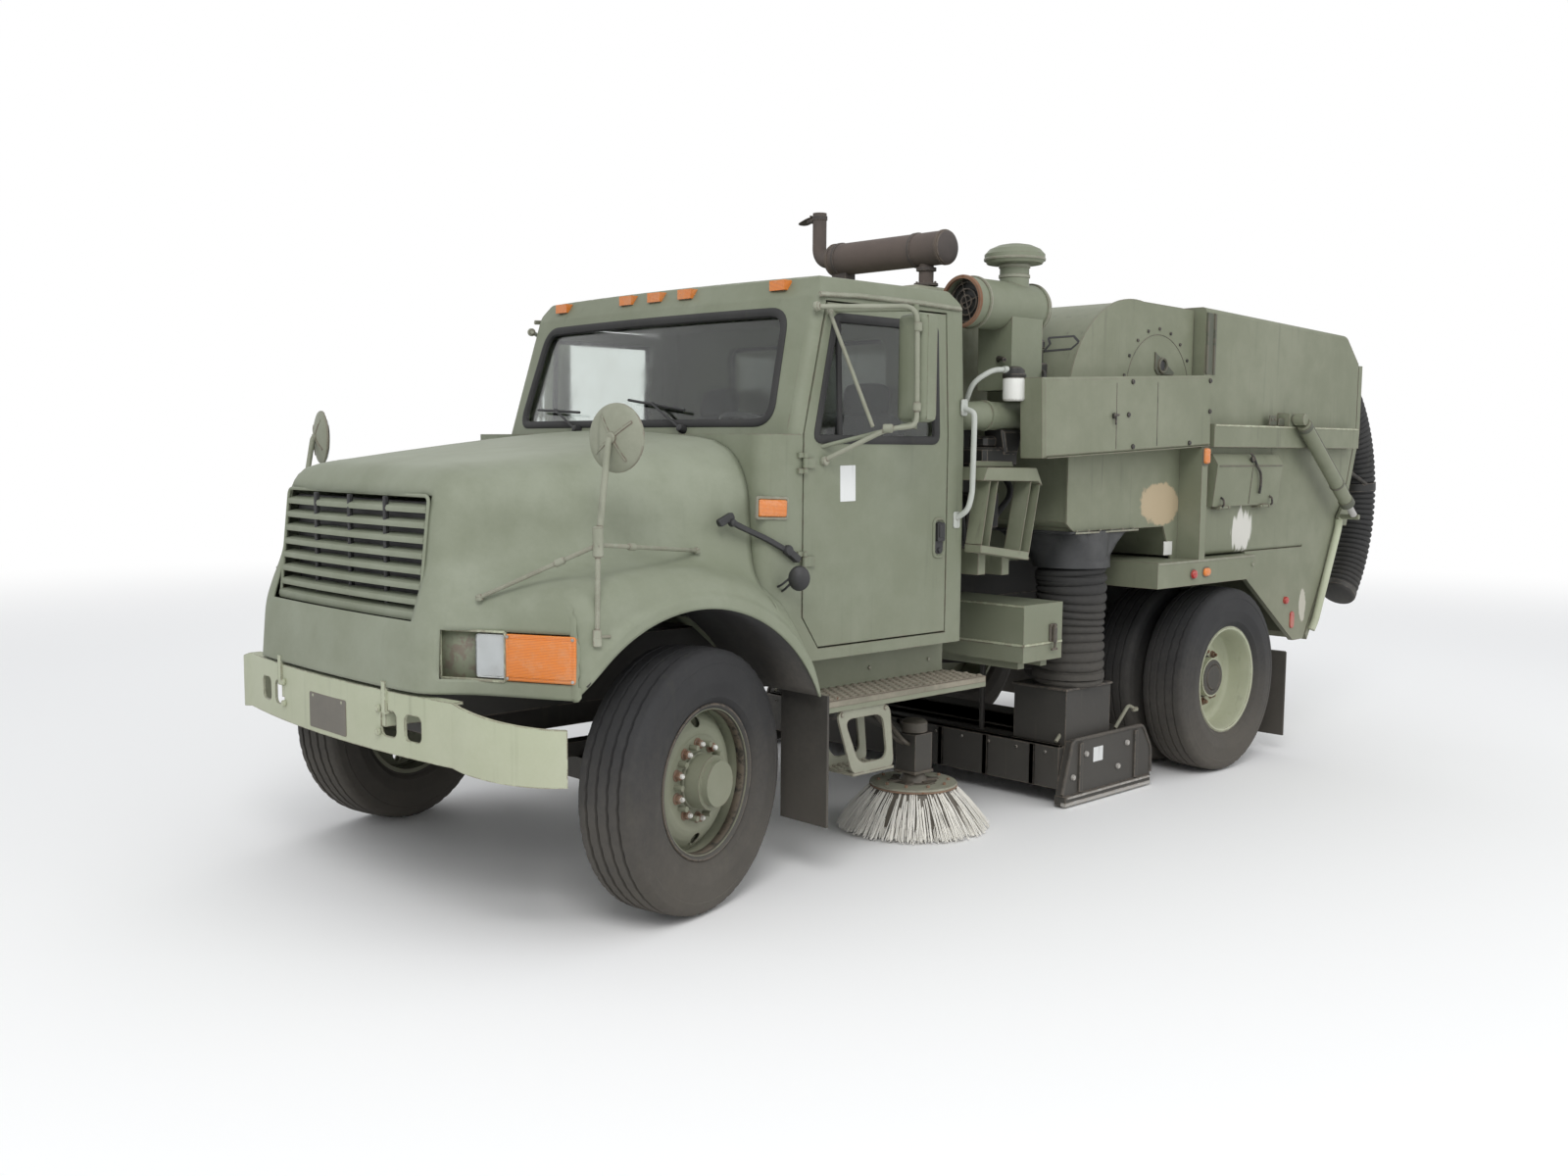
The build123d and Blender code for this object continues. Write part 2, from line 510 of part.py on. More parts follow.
WINDOW = [
    (DOOR_FRONT_Y + 65, BELT_Z - 20), (DOOR_REAR_Y - 70, BELT_Z - 20), (DOOR_REAR_Y - 70, 2320),
    (DOOR_FRONT_Y + 195, 2320),
]
REAR_WINDOW_X = 560
REAR_WINDOW_H = 420
GLASS_INSET = 18
GLASS_T = 7
HINGE_ZS = (1320, 1720)
HINGE_X = CAB_X + 12
HINGE_Y = DOOR_FRONT_Y - 4
HINGE_R = 11
HINGE_PIN_R = 6
MIRROR_X = 1290
MIRROR_Y = FRONT_AXLE_Y + 1040
MIRROR_TUBE_R = 11
SCREEN_X0 = 900
with BuildPart() as cab_shell:
    add(cab_outer)
    add(cab_inner, mode=Mode.SUBTRACT)
    block(-TUNNEL_X, TUNNEL_X, CAB_FRONT_Y + 1, CAB_BACK_Y - 1, CAB_Z0, RAIL_Z1 + 10 + CAB_WALL)
    block(
        -TUNNEL_X + CAB_WALL, TUNNEL_X - CAB_WALL, CAB_FRONT_Y - 1, CAB_BACK_Y + 1, CAB_Z0 - 1, RAIL_Z1 + 10,
        mode=Mode.SUBTRACT,
    )
    side_prism(door_outline(DOOR_GAP), -CAB_X - 1, CAB_X + 1, mode=Mode.SUBTRACT)
    side_prism(
        [(CAB_FRONT_Y - 1, CAB_Z0 - 1), (DOOR_FRONT_Y + 30, CAB_Z0 - 1), (CAB_FRONT_Y - 1, 1120)],
        -CAB_X - 1, CAB_X + 1, mode=Mode.SUBTRACT,
    )
    with BuildSketch(Plane.XZ.offset(-ROOF_FRONT_Y)):
        with BuildLine():
            Polyline((-SCREEN_X0, 1880), (SCREEN_X0, 1880), (850, 2345), (-850, 2345), close=True)
        make_face()
        fillet(vertices(), 70)
    extrude(amount=400, both=True, mode=Mode.SUBTRACT)
    with BuildSketch(Plane.XZ.offset(-CAB_BACK_Y)):
        with Locations((0, 2090)):
            RectangleRounded(2 * REAR_WINDOW_X, REAR_WINDOW_H, 60)
    extrude(amount=CAB_WALL * 2, both=True, mode=Mode.SUBTRACT)
    for sign in (1, -1):
        for hinge_z in HINGE_ZS:
            for z0 in (hinge_z - 42, hinge_z + 22):
                x0, x1 = sorted((sign * (CAB_X - 4), sign * HINGE_X))
                block(x0, x1, HINGE_Y - 36, HINGE_Y, z0, z0 + 20)
                bar((sign * HINGE_X, HINGE_Y, z0), (sign * HINGE_X, HINGE_Y, z0 + 20), HINGE_R)
            bar((sign * HINGE_X, HINGE_Y, hinge_z - 42), (sign * HINGE_X, HINGE_Y, hinge_z + 42), HINGE_PIN_R)
save(cab_shell.part, "cab_shell")

for side, sign in SIDES:
    x0, x1 = (0, CAB_X + 1) if sign > 0 else (-CAB_X - 1, 0)
    with BuildPart() as cab_door:
        add(cab_outer)
        add(cab_inner, mode=Mode.SUBTRACT)
        side_prism(door_outline(0), x0, x1, mode=Mode.INTERSECT)
        side_prism(WINDOW, x0, x1, mode=Mode.SUBTRACT)
        for hinge_z in HINGE_ZS:
            hx0, hx1 = sorted((sign * (CAB_X - 4), sign * HINGE_X))
            block(hx0, hx1, HINGE_Y + 6, HINGE_Y + 60, hinge_z - 20, hinge_z + 20)
            bar((sign * HINGE_X, HINGE_Y, hinge_z - 20), (sign * HINGE_X, HINGE_Y, hinge_z + 20), HINGE_R)
            bar((sign * HINGE_X, HINGE_Y, hinge_z - 21), (sign * HINGE_X, HINGE_Y, hinge_z + 21),
                HINGE_PIN_R + PIN_FIT, mode=Mode.SUBTRACT)
        bar((sign * (CAB_TOP_X - 6), FRONT_AXLE_Y + 850, 2345), (sign * MIRROR_X, MIRROR_Y, 2345), MIRROR_TUBE_R - 2)
        bar((sign * MIRROR_X, MIRROR_Y, 2366), (sign * MIRROR_X, MIRROR_Y, 1862), MIRROR_TUBE_R)
        bar((sign * (CAB_X - 8), FRONT_AXLE_Y + 760, 1785), (sign * MIRROR_X, MIRROR_Y, 1885), MIRROR_TUBE_R - 2)
        mx0, mx1 = sorted((sign * (MIRROR_X - 70), sign * (MIRROR_X + 60)))
        block(mx0, mx1, MIRROR_Y + 8, MIRROR_Y + 60, 1900, 2320)
    save(cab_door.part, f"cab_door_{side}")
    with BuildPart() as glass:
        with BuildSketch(Plane.YZ.offset(x0)) as pane:
            with BuildLine():
                Polyline(*WINDOW, close=True)
            make_face()
            offset(amount=-SEAT_GAP, mode=Mode.REPLACE)
        extrude(pane.sketch, amount=x1 - x0)
        add(cab_volume(GLASS_INSET), mode=Mode.INTERSECT)
        add(cab_volume(GLASS_INSET + GLASS_T), mode=Mode.SUBTRACT)
    save(glass.part, f"door_glass_{side}")

with BuildPart() as cab_glazing:
    with BuildSketch(Plane.XZ.offset(-ROOF_FRONT_Y)):
        with BuildLine():
            Polyline((-SCREEN_X0, 1880), (SCREEN_X0, 1880), (850, 2345), (-850, 2345), close=True)
        make_face()
        fillet(vertices(), 70)
        offset(amount=-SEAT_GAP, mode=Mode.REPLACE)
    extrude(amount=400, both=True)
    add(cab_volume(GLASS_INSET), mode=Mode.INTERSECT)
    add(cab_volume(GLASS_INSET + GLASS_T), mode=Mode.SUBTRACT)
    with BuildSketch(Plane.XZ.offset(-CAB_BACK_Y + 20)):
        with Locations((0, 2090)):
            RectangleRounded(2 * REAR_WINDOW_X - 2 * SEAT_GAP, REAR_WINDOW_H - 2 * SEAT_GAP, 60 - SEAT_GAP)
    extrude(amount=6)
save(cab_glazing.part, "cab_glazing")

# Cab interior
FLOOR_Z = CAB_Z0 + CAB_WALL + SEAT_GAP
with BuildPart() as seats:
    for seat_x in (520, -520):
        x0, x1 = sorted((math.copysign(TUNNEL_X + 5, seat_x), math.copysign(730, seat_x)))
        block(x0, x1, CAB_BACK_Y - 560, CAB_BACK_Y - 200, FLOOR_Z, FLOOR_Z + 260)
        block(seat_x - 250, seat_x + 250, CAB_BACK_Y - 620, CAB_BACK_Y - 120, FLOOR_Z + 260, FLOOR_Z + 400)
        block(seat_x - 240, seat_x + 240, CAB_BACK_Y - 200, CAB_BACK_Y - 80, FLOOR_Z + 400, FLOOR_Z + 1000)
save(seats.part, "seats")
with BuildPart() as dashboard:
    side_prism(
        along([(465 + SEAT_GAP, 1500), (465 + SEAT_GAP, 1790), (600, 1830), (760, 1800), (800, 1700), (760, 1480), (560, 1400)]), -960, 960)
WHEEL_C = (520, FRONT_AXLE_Y + 920, 1800)
with BuildPart() as steering_wheel:
    with BuildSketch(Plane(origin=WHEEL_C, z_dir=(0, 0.5, 0.87))) as disc:
        Circle(225)
        Circle(195, mode=Mode.SUBTRACT)
        Rectangle(400, 34)
        Rectangle(34, 400)
        Circle(60)
    extrude(disc.sketch, amount=26)
    bar((520, FRONT_AXLE_Y + 770, 1539), WHEEL_C, 30)
    add(dashboard.part, mode=Mode.SUBTRACT)
save(Compound(children=[dashboard.part, steering_wheel.part]), "dashboard")


# Hood with fenders, tilting forward
FENDER_CREST_Z = 1352
FENDER_CREST = ((-330, 1346), (-60, FENDER_CREST_Z), (300, 1290), (520, 1120), (640, 866))
SLANT_IN = (660, FRONT_AXLE_Y - 815)
SLANT_OUT = (1185, FRONT_AXLE_Y - 530)


def hood_core(inset):
    front_y = HOOD_FRONT_Y + inset
    rear_y = HOOD_REAR_Y + (1 if inset else 0)
    z0 = HOOD_Z0 - (1 if inset else 0)
    with BuildPart() as core:
        with BuildSketch(Plane.XZ.offset(-front_y)):
            with Locations((0, (HOOD_FRONT_Z1 - inset + z0) / 2)):
                RectangleRounded(2 * (HOOD_FRONT_X - inset), HOOD_FRONT_Z1 - inset - z0, 110)
        with BuildSketch(Plane.XZ.offset(-rear_y)):
            with Locations((0, (HOOD_REAR_Z1 - inset + z0) / 2)):
                RectangleRounded(2 * (HOOD_REAR_X - inset), HOOD_REAR_Z1 - inset - z0, 160)
        loft()
        block(-HOOD_REAR_X, HOOD_REAR_X, front_y - 1, rear_y + 1, z0 - 1, z0 + 200, mode=Mode.SUBTRACT)
        with BuildSketch(Plane.XY.offset(z0)):
            with BuildLine():
                Polyline(
                    (-HOOD_FRONT_X + inset, front_y), (HOOD_FRONT_X - inset, front_y),
                    (HOOD_REAR_X - inset, rear_y), (-HOOD_REAR_X + inset, rear_y), close=True,
                )
            make_face()
        extrude(amount=200.5)
    return core.part


def fender(inset):
    with BuildPart() as shape:
        with BuildSketch(Plane.YZ.offset(FENDER_IN_X + inset)):
            with BuildLine():
                Line((FRONT_AXLE_Y - 548, 900), (FRONT_AXLE_Y - 830, 900))
                Line((FRONT_AXLE_Y - 830, 900), (FRONT_AXLE_Y - 830, 1140))
                crest = TangentArc(
                    (FRONT_AXLE_Y - 830, 1140), (FRONT_AXLE_Y - 660, 1280), tangent=(0.55, 0.83))
                for crest_y, crest_z in FENDER_CREST:
                    crest = TangentArc(crest @ 1, (FRONT_AXLE_Y + crest_y, crest_z), tangent=crest % 1)
                Line(crest @ 1, (FRONT_AXLE_Y + 642, 860))
                Line((FRONT_AXLE_Y + 642, 860), (FRONT_AXLE_Y + 648, 790))
                Line((FRONT_AXLE_Y + 648, 790), (FRONT_AXLE_Y + 611, 790))
                ThreePointArc(
                    (FRONT_AXLE_Y + 611, 790), (FRONT_AXLE_Y, AXLE_Z + ARCH_R), (FRONT_AXLE_Y - 548, 900))
            make_face()
            if inset:
                offset(amount=-inset, mode=Mode.REPLACE)
        extrude(amount=FENDER_X - FENDER_IN_X - 2 * inset)
        with BuildSketch(Plane.XY.offset(700)):
            with BuildLine():
                Polyline(
                    (SLANT_IN[0], SLANT_IN[1] + inset * 1.1), (SLANT_OUT[0] + 20, SLANT_OUT[1] + 11 + inset * 1.1),
                    (SLANT_OUT[0] + 20, FRONT_AXLE_Y - 900), (FENDER_IN_X - 20, FRONT_AXLE_Y - 900),
                    (FENDER_IN_X - 20, SLANT_IN[1] - 22 + inset * 1.1), close=True,
                )
            make_face()
        extrude(amount=900, mode=Mode.SUBTRACT)
        block(0, CAB_X + DOOR_GAP - inset, HOOD_REAR_Y, FRONT_AXLE_Y + 700, 700, 1500, mode=Mode.SUBTRACT)
    return shape.part


GRILLE_X = 565
GRILLE_Z0 = 1150
GRILLE_Z1 = 1600
LAMP_Z0 = 962
LAMP_Z1 = 1126
slant = Vector(SLANT_OUT[0] - SLANT_IN[0], SLANT_OUT[1] - SLANT_IN[1], 0)
LAMP_PLANE = Plane(
    origin=(SLANT_IN[0], SLANT_IN[1], (LAMP_Z0 + LAMP_Z1) / 2), x_dir=slant, z_dir=(slant.Y, -slant.X, 0))
LAMP_S0 = 30
LAMP_S1 = 560
LAMP_SPLIT = 270
hood_fender = rounded(
    fender(0), HOOD_EDGE_R,
    lambda a, b: a.X > FENDER_X - 1 and (
        (b.Z > 1200 and a.Z > 850 and b.Z - a.Z < 300) or (b.Z - a.Z > 300 and b.Y - a.Y < 5)))
hood_hollow = fender(FENDER_SKIN)
hood_outer = rounded(hood_core(0), HOOD_EDGE_R, lambda a, b: b.Y < HOOD_FRONT_Y + 1 and a.Z > 1000)
with BuildPart() as hood:
    add(hood_outer)
    add(hood_fender)
    add(mirror(hood_fender, about=Plane.YZ))
    add(hood_core(HOOD_SKIN), mode=Mode.SUBTRACT)
    add(hood_hollow, mode=Mode.SUBTRACT)
    add(mirror(hood_hollow, about=Plane.YZ), mode=Mode.SUBTRACT)
    for sign in (1, -1):
        bar((sign * 600, FRONT_AXLE_Y, AXLE_Z), (sign * 1200, FRONT_AXLE_Y, AXLE_Z), ARCH_R - 1, mode=Mode.SUBTRACT)
    block(-GRILLE_X, GRILLE_X, HOOD_FRONT_Y - 1, HOOD_FRONT_Y + 60, GRILLE_Z0, GRILLE_Z1, mode=Mode.SUBTRACT)
    with BuildSketch(LAMP_PLANE) as lamp_hole:
        with Locations(((LAMP_S0 + LAMP_S1) / 2, 0)):
            Rectangle(LAMP_S1 - LAMP_S0, LAMP_Z1 - LAMP_Z0)
    lamp_cut = extrude(lamp_hole.sketch, amount=60, both=True, mode=Mode.PRIVATE)
    add(lamp_cut, mode=Mode.SUBTRACT)
    add(mirror(lamp_cut, about=Plane.YZ), mode=Mode.SUBTRACT)
    bar((-450, HOOD_HINGE_Y, HOOD_HINGE_Z), (450, HOOD_HINGE_Y, HOOD_HINGE_Z), HOOD_PIN_R)
    for hinge_x in (-410, 370):
        block(hinge_x, hinge_x + 40, HOOD_HINGE_Y - 10, HOOD_FRONT_Y + 10, HOOD_HINGE_Z - 3, HOOD_HINGE_Z + 25)

with BuildPart() as grille:
    block(
        -GRILLE_X + SEAT_GAP, GRILLE_X - SEAT_GAP, HOOD_FRONT_Y - 12, HOOD_FRONT_Y + 6,
        GRILLE_Z0 + SEAT_GAP, GRILLE_Z1 - SEAT_GAP)
    block(-GRILLE_X + 22, GRILLE_X - 22, HOOD_FRONT_Y - 20, HOOD_FRONT_Y + 10, GRILLE_Z0 + 22, GRILLE_Z1 - 22,
          mode=Mode.SUBTRACT)
    for i in range(8):
        z = GRILLE_Z0 + 50 + i * (GRILLE_Z1 - GRILLE_Z0 - 100) / 7
        block(-GRILLE_X + 21, GRILLE_X - 21, HOOD_FRONT_Y - 14, HOOD_FRONT_Y + 14, z - 8, z + 8)
    for bar_x in (-280, 0, 280):
        block(bar_x - 8, bar_x + 8, HOOD_FRONT_Y + 13, HOOD_FRONT_Y + 30, GRILLE_Z0 + 2, GRILLE_Z1 - 2)
save(grille.part, "grille")

lamp_parts = {}
for name, s0, s1, depth0, depth1 in (
    ("headlamp_bezels", LAMP_S0 + SEAT_GAP, LAMP_SPLIT, -40, 4),
    ("headlamps", 150, LAMP_SPLIT - 10 - SEAT_GAP, SEAT_GAP - 34, -2),
    ("turn_lamps", LAMP_SPLIT + SEAT_GAP, LAMP_S1 - SEAT_GAP, -30, 16),
):
    with BuildPart() as lamp:
        with BuildSketch(LAMP_PLANE.offset(depth0)) as face:
            with Locations(((s0 + s1) / 2, 0)):
                inset = 11 + SEAT_GAP if name == "headlamps" else SEAT_GAP
                Rectangle(s1 - s0, LAMP_Z1 - LAMP_Z0 - 2 * inset)
        extrude(face.sketch, amount=depth1 - depth0)
    lamp_parts[name] = lamp.part
bezel = lamp_parts["headlamp_bezels"]
with BuildPart() as bezel_open:
    add(bezel)
    with BuildSketch(LAMP_PLANE.offset(-34)) as face:
        with Locations(((LAMP_S0 + LAMP_SPLIT) / 2, 0)):
            Rectangle(LAMP_SPLIT - LAMP_S0 - 20, LAMP_Z1 - LAMP_Z0 - 22)
    extrude(face.sketch, amount=100, mode=Mode.SUBTRACT)
save(Compound(children=[hood.part, bezel_open.part, mirror(bezel_open.part, about=Plane.YZ)]), "hood")
save(both(lamp_parts["headlamps"]), "headlamps")
save(both(lamp_parts["turn_lamps"]), "turn_lamps")

# Convex mirrors standing on the fenders
FM_X = 1010
FM_Y = FRONT_AXLE_Y - 250
FM_Z = 1812
with BuildPart() as fender_mirror:
    bar((FM_X, FM_Y, FENDER_CREST_Z - 14), (FM_X, FM_Y, FM_Z - 60), 11)
    bar((FM_X, FM_Y - 22, FM_Z), (FM_X, FM_Y + 22, FM_Z), 98)
    bar((FM_X, FM_Y, FM_Z - 62), (FM_X, FM_Y, FM_Z - 90), 14)
    add(hood_fender, mode=Mode.SUBTRACT)
    block(FM_X - 30, FM_X + 30, FM_Y - 30, FM_Y + 30, 1200, FENDER_CREST_Z - 12, mode=Mode.SUBTRACT)
save(both(fender_mirror.part), "fender_mirrors")

# Roof marker lamps
MARKER_XS = (-773, -212, 0, 212, 773)
with BuildPart() as roof_markers:
    for marker_x in MARKER_XS:
        marker_y = ROOF_FRONT_Y + 12 + 64 * (marker_x / CAB_TOP_X) ** 2
        block(marker_x - 45, marker_x + 45, marker_y, marker_y + 44, EAVE_Z + 34, EAVE_Z + 76)
    add(cab_outer, mode=Mode.SUBTRACT)
save(roof_markers.part, "roof_markers")

# Steps under the doors
with BuildPart() as cab_steps:
    for sign in (1, -1):
        x0, x1 = sorted((sign * 900, sign * 1140))
        block(x0, x1, FRONT_AXLE_Y + 690, FRONT_AXLE_Y + 1740, 700, 748)
        x0, x1 = sorted((sign * 900, sign * 912))
        block(x0, x1, FRONT_AXLE_Y + 690, FRONT_AXLE_Y + 1700, 748, CAB_Z0 - SEAT_GAP)
        for arm_y in (820, 1500):
            x0, x1 = sorted((sign * (RAIL_X + RAIL_W / 2 + SEAT_GAP), sign * 905))
            block(x0, x1, FRONT_AXLE_Y + arm_y, FRONT_AXLE_Y + arm_y + 60, 744, 790)
save(cab_steps.part, "cab_steps")

with BuildPart() as front_mudflaps:
    for sign in (1, -1):
        x0, x1 = sorted((sign * 900, sign * 1170))
        block(x0, x1, FRONT_AXLE_Y + 672, FRONT_AXLE_Y + 684, 235, 780)
        x0, x1 = sorted((sign * 900, sign * 930))
        block(x0, x1, FRONT_AXLE_Y + 683, FRONT_AXLE_Y + 690 - SEAT_GAP, 720, 748)

# Battery box with a lift-off cover hinged at its inner side, and the fuel tank
BOX_X0, BOX_X1 = 470, 1080
BOX_Y0, BOX_Y1 = FRONT_AXLE_Y + 2100, FRONT_AXLE_Y + 2412
BOX_SEAM = 838
BOX_Z0, BOX_Z1 = BOX_SEAM - 76, BOX_SEAM + 202
with BuildPart() as tool_box:
    block(BOX_X0, BOX_X1, BOX_Y0, BOX_Y1, BOX_Z0, BOX_SEAM)
    block(BOX_X0 + 8, BOX_X1 - 8, BOX_Y0 + 8, BOX_Y1 - 8, BOX_Z0 + 8, BOX_SEAM + 1, mode=Mode.SUBTRACT)
    for arm_y in (BOX_Y0 + 40, BOX_Y1 - 90):
        block(RAIL_X + RAIL_W / 2 + SEAT_GAP, BOX_X1 - 60, arm_y, arm_y + 50, BOX_Z0 - 40, BOX_Z0)
        block(RAIL_X + RAIL_W / 2 + SEAT_GAP, RAIL_X + RAIL_W / 2 + 12, arm_y, arm_y + 50, BOX_Z0 - 20, BOX_Z0 + 70)
save(tool_box.part, "tool_box")
with BuildPart() as tool_box_cover:
    block(BOX_X0, BOX_X1, BOX_Y0, BOX_Y1, BOX_SEAM + SEAT_GAP, BOX_Z1)
    block(BOX_X0 + 8, BOX_X1 - 8, BOX_Y0 + 8, BOX_Y1 - 8, BOX_SEAM - 1, BOX_Z1 - 8, mode=Mode.SUBTRACT)
save(tool_box_cover.part, "tool_box_cover")
with BuildPart() as fuel_tank:
    bar((-770, FRONT_AXLE_Y + 1765, 770), (-770, FRONT_AXLE_Y + 2400, 770), 255)
    for strap_y in (1900, 2250):
        block(-600, -RAIL_X - RAIL_W / 2 - SEAT_GAP, FRONT_AXLE_Y + strap_y, FRONT_AXLE_Y + strap_y + 60, 840, 980)
save(fuel_tank.part, "fuel_tank")

# Auxiliary engine, its exhaust, air cleaner and the control frame behind the cab
AUX_Y0, AUX_Y1 = FRONT_AXLE_Y + 1790, FRONT_AXLE_Y + 2370
COWL_Z1 = 2560
COWL_Z0 = COWL_Z1 - 600
with BuildPart() as aux_engine:
    block(-560, 560, AUX_Y0 + 60, AUX_Y1 - 20, SUBFRAME_Z1 + SEAT_GAP, COWL_Z0)
save(aux_engine.part, "aux_engine")
with BuildPart() as engine_cowl:
    with BuildSketch(Plane.XZ.offset(-AUX_Y0)):
        with BuildLine():
            FilletPolyline(
                (-700, COWL_Z0 + SEAT_GAP), (-700, COWL_Z1), (640, COWL_Z1), (640, COWL_Z0 + SEAT_GAP), radius=30)
            Line((640, COWL_Z0 + SEAT_GAP), (-700, COWL_Z0 + SEAT_GAP))
        make_face()
    extrude(amount=AUX_Y0 - AUX_Y1)
    block(-690, 630, AUX_Y0 + 10, AUX_Y1 - 10, COWL_Z0 + 10, COWL_Z1 - 10, mode=Mode.SUBTRACT)
MUFFLER_Y = FRONT_AXLE_Y + 1950
MUFFLER_Z = COWL_Z1 + 180
MUFFLER_X0, MUFFLER_X1, MUFFLER_R = -60, 690, 80
PIPE_R, PIPE_X, PIPE_H = 36, -170, 250
with BuildPart() as exhaust:
    bar((MUFFLER_X0, MUFFLER_Y, MUFFLER_Z), (MUFFLER_X1, MUFFLER_Y, MUFFLER_Z), MUFFLER_R)
    for seam_x in (MUFFLER_X0 + 8, MUFFLER_X1 - 20):
        bar((seam_x, MUFFLER_Y, MUFFLER_Z), (seam_x + 12, MUFFLER_Y, MUFFLER_Z), MUFFLER_R + 4)
    bar((MUFFLER_X1 - 130, MUFFLER_Y, COWL_Z1 + SEAT_GAP), (MUFFLER_X1 - 130, MUFFLER_Y, MUFFLER_Z), PIPE_R)
    with BuildLine() as pipe_route:
        FilletPolyline(
            (MUFFLER_X0 + 2, MUFFLER_Y, MUFFLER_Z), (PIPE_X, MUFFLER_Y, MUFFLER_Z),
            (PIPE_X, MUFFLER_Y, MUFFLER_Z + PIPE_H), radius=68)
    with BuildSketch(Plane(origin=(MUFFLER_X0 + 2, MUFFLER_Y, MUFFLER_Z), z_dir=(-1, 0, 0))) as pipe_end:
        Circle(PIPE_R)
    sweep(pipe_end.sketch, path=pipe_route.line)
    bar((PIPE_X, MUFFLER_Y, MUFFLER_Z + PIPE_H - 90), (PIPE_X, MUFFLER_Y, MUFFLER_Z + PIPE_H + 1), PIPE_R - 4,
        mode=Mode.SUBTRACT)
save(exhaust.part, "exhaust")
AC_X, AC_R = 900, 115
AC_Y0, AC_Y1 = FRONT_AXLE_Y + 1800, FRONT_AXLE_Y + 2350
INTAKE_Y, INTAKE_R = FRONT_AXLE_Y + 2200, 144
AC_Z = COWL_Z1 - 100
with BuildPart() as rain_cap:
    with BuildSketch(Plane.XZ):
        with BuildLine():
            Polyline(
                (0, 205), (INTAKE_R - 12, 205), (INTAKE_R, 225), (INTAKE_R, 248), (INTAKE_R - 22, 272),
                (INTAKE_R - 62, 290), (INTAKE_R - 104, 298), (0, 298), close=True)
        make_face()
    revolve(axis=Axis.Z)
with BuildPart() as air_cleaner:
    bar((AC_X, AC_Y0, AC_Z), (AC_X, AC_Y1, AC_Z), AC_R)
    for band_y in (AC_Y0 + 70, AC_Y1 - 34):
        bar((AC_X, band_y, AC_Z), (AC_X, band_y + 24, AC_Z), AC_R + 5)
    bar((AC_X, AC_Y0 - 1, AC_Z), (AC_X, AC_Y0 + 60, AC_Z), AC_R - 8, mode=Mode.SUBTRACT)
    bar((AC_X, INTAKE_Y, AC_Z), (AC_X, INTAKE_Y, AC_Z + 240), 70)
    add(Location((AC_X, INTAKE_Y, AC_Z)) * rain_cap.part)
    block(AC_X - 100, AC_X + 100, FRONT_AXLE_Y + 2060, FRONT_AXLE_Y + 2300, 2060, AC_Z)
    block(640 + SEAT_GAP, AC_X, FRONT_AXLE_Y + 1900, FRONT_AXLE_Y + 2000, AC_Z - 60, AC_Z + 60)
save(air_cleaner.part, "air_cleaner")
with BuildPart() as control_frame:
    block(900, 1050, FRONT_AXLE_Y + 1850, FRONT_AXLE_Y + 2000, SUBFRAME_Z1 + 20, 1900)
    for panel_z0, panel_z1 in ((SUBFRAME_Z1 + 40, 1330), (1350, 1620), (1640, 1885)):
        block(912, 1051, FRONT_AXLE_Y + 1862, FRONT_AXLE_Y + 1988, panel_z0, panel_z1, mode=Mode.SUBTRACT)
    block(560 + SEAT_GAP, 900, FRONT_AXLE_Y + 1860, FRONT_AXLE_Y + 1990, 1240, 1300)
    block(900, 1040, FRONT_AXLE_Y + 1999, FRONT_AXLE_Y + 2060, 1840, 1900)
save(Compound(children=[engine_cowl.part, control_frame.part]), "engine_cowl")

# Blower housing: a drum lying across, on a closed lower casing
CASING_INSET = 14
CASING_PLATE = 12
CASING_X = DRUM_X - CASING_PLATE + 1
CASING = along([
    (2420, 1830), (2420, 1420), (2480, 1380), (3300, 1380), (3380, FENDER_BOX_Z1 + SEAT_GAP),
    (3535, FENDER_BOX_Z1 + SEAT_GAP), (3535, 2530), (2990, 2540)])


def casing(x0, x1, inset):
    with BuildSketch(Plane.YZ.offset(x0)) as outline:
        with Locations((DRUM_Y, DRUM_Z)):
            Circle(DRUM_R - inset)
        with BuildSketch(mode=Mode.PRIVATE) as lower:
            with BuildLine():
                Polyline(*CASING, close=True)
            make_face()
            if inset:
                offset(amount=-inset, kind=Kind.INTERSECTION, mode=Mode.REPLACE)
        add(lower.sketch)
    extrude(outline.sketch, amount=x1 - x0)


with BuildPart() as blower_housing:
    casing(-DRUM_X, CASING_PLATE - DRUM_X, 0)
    casing(CASING_PLATE - DRUM_X - 1, DRUM_X - CASING_PLATE + 1, CASING_INSET)
    casing(DRUM_X - CASING_PLATE, DRUM_X, 0)
    block(-CASING_X, CASING_X, FRONT_AXLE_Y + 2480, FRONT_AXLE_Y + 3300, 1380, 1400)
    block(-CASING_X, CASING_X, FRONT_AXLE_Y + 3500, FRONT_AXLE_Y + 3535, FENDER_BOX_Z1 + SEAT_GAP, 2500)
    for sign in (1, -1):
        x0, x1 = sorted((sign * (RAIL_X - 35), sign * (RAIL_X + 35)))
        block(x0, x1, FRONT_AXLE_Y + 2430, FRONT_AXLE_Y + 3380, SUBFRAME_Z1 + SEAT_GAP, 1381)
save(blower_housing.part, "blower_housing")
GUARD_TILT = 2.6
GUARD_W, GUARD_L, GUARD_H = 1220 - DRUM_X, 1490, 372
GUARD_CHAMFER = 12
GUARD_WALL = 20
guard_origin = (DRUM_X + SEAT_GAP, FRONT_AXLE_Y + 2035, 1741)
with BuildPart() as guard_form:
    block(0, GUARD_W, 0, GUARD_L, 0, GUARD_H)
    chamfer(faces().sort_by(Axis.X)[-1].edges(), GUARD_CHAMFER)
    block(-1, GUARD_W - GUARD_WALL, 1120, 1180, -1, GUARD_WALL, mode=Mode.SUBTRACT)
guard_place = Location(guard_origin, (GUARD_TILT, 0, 0))
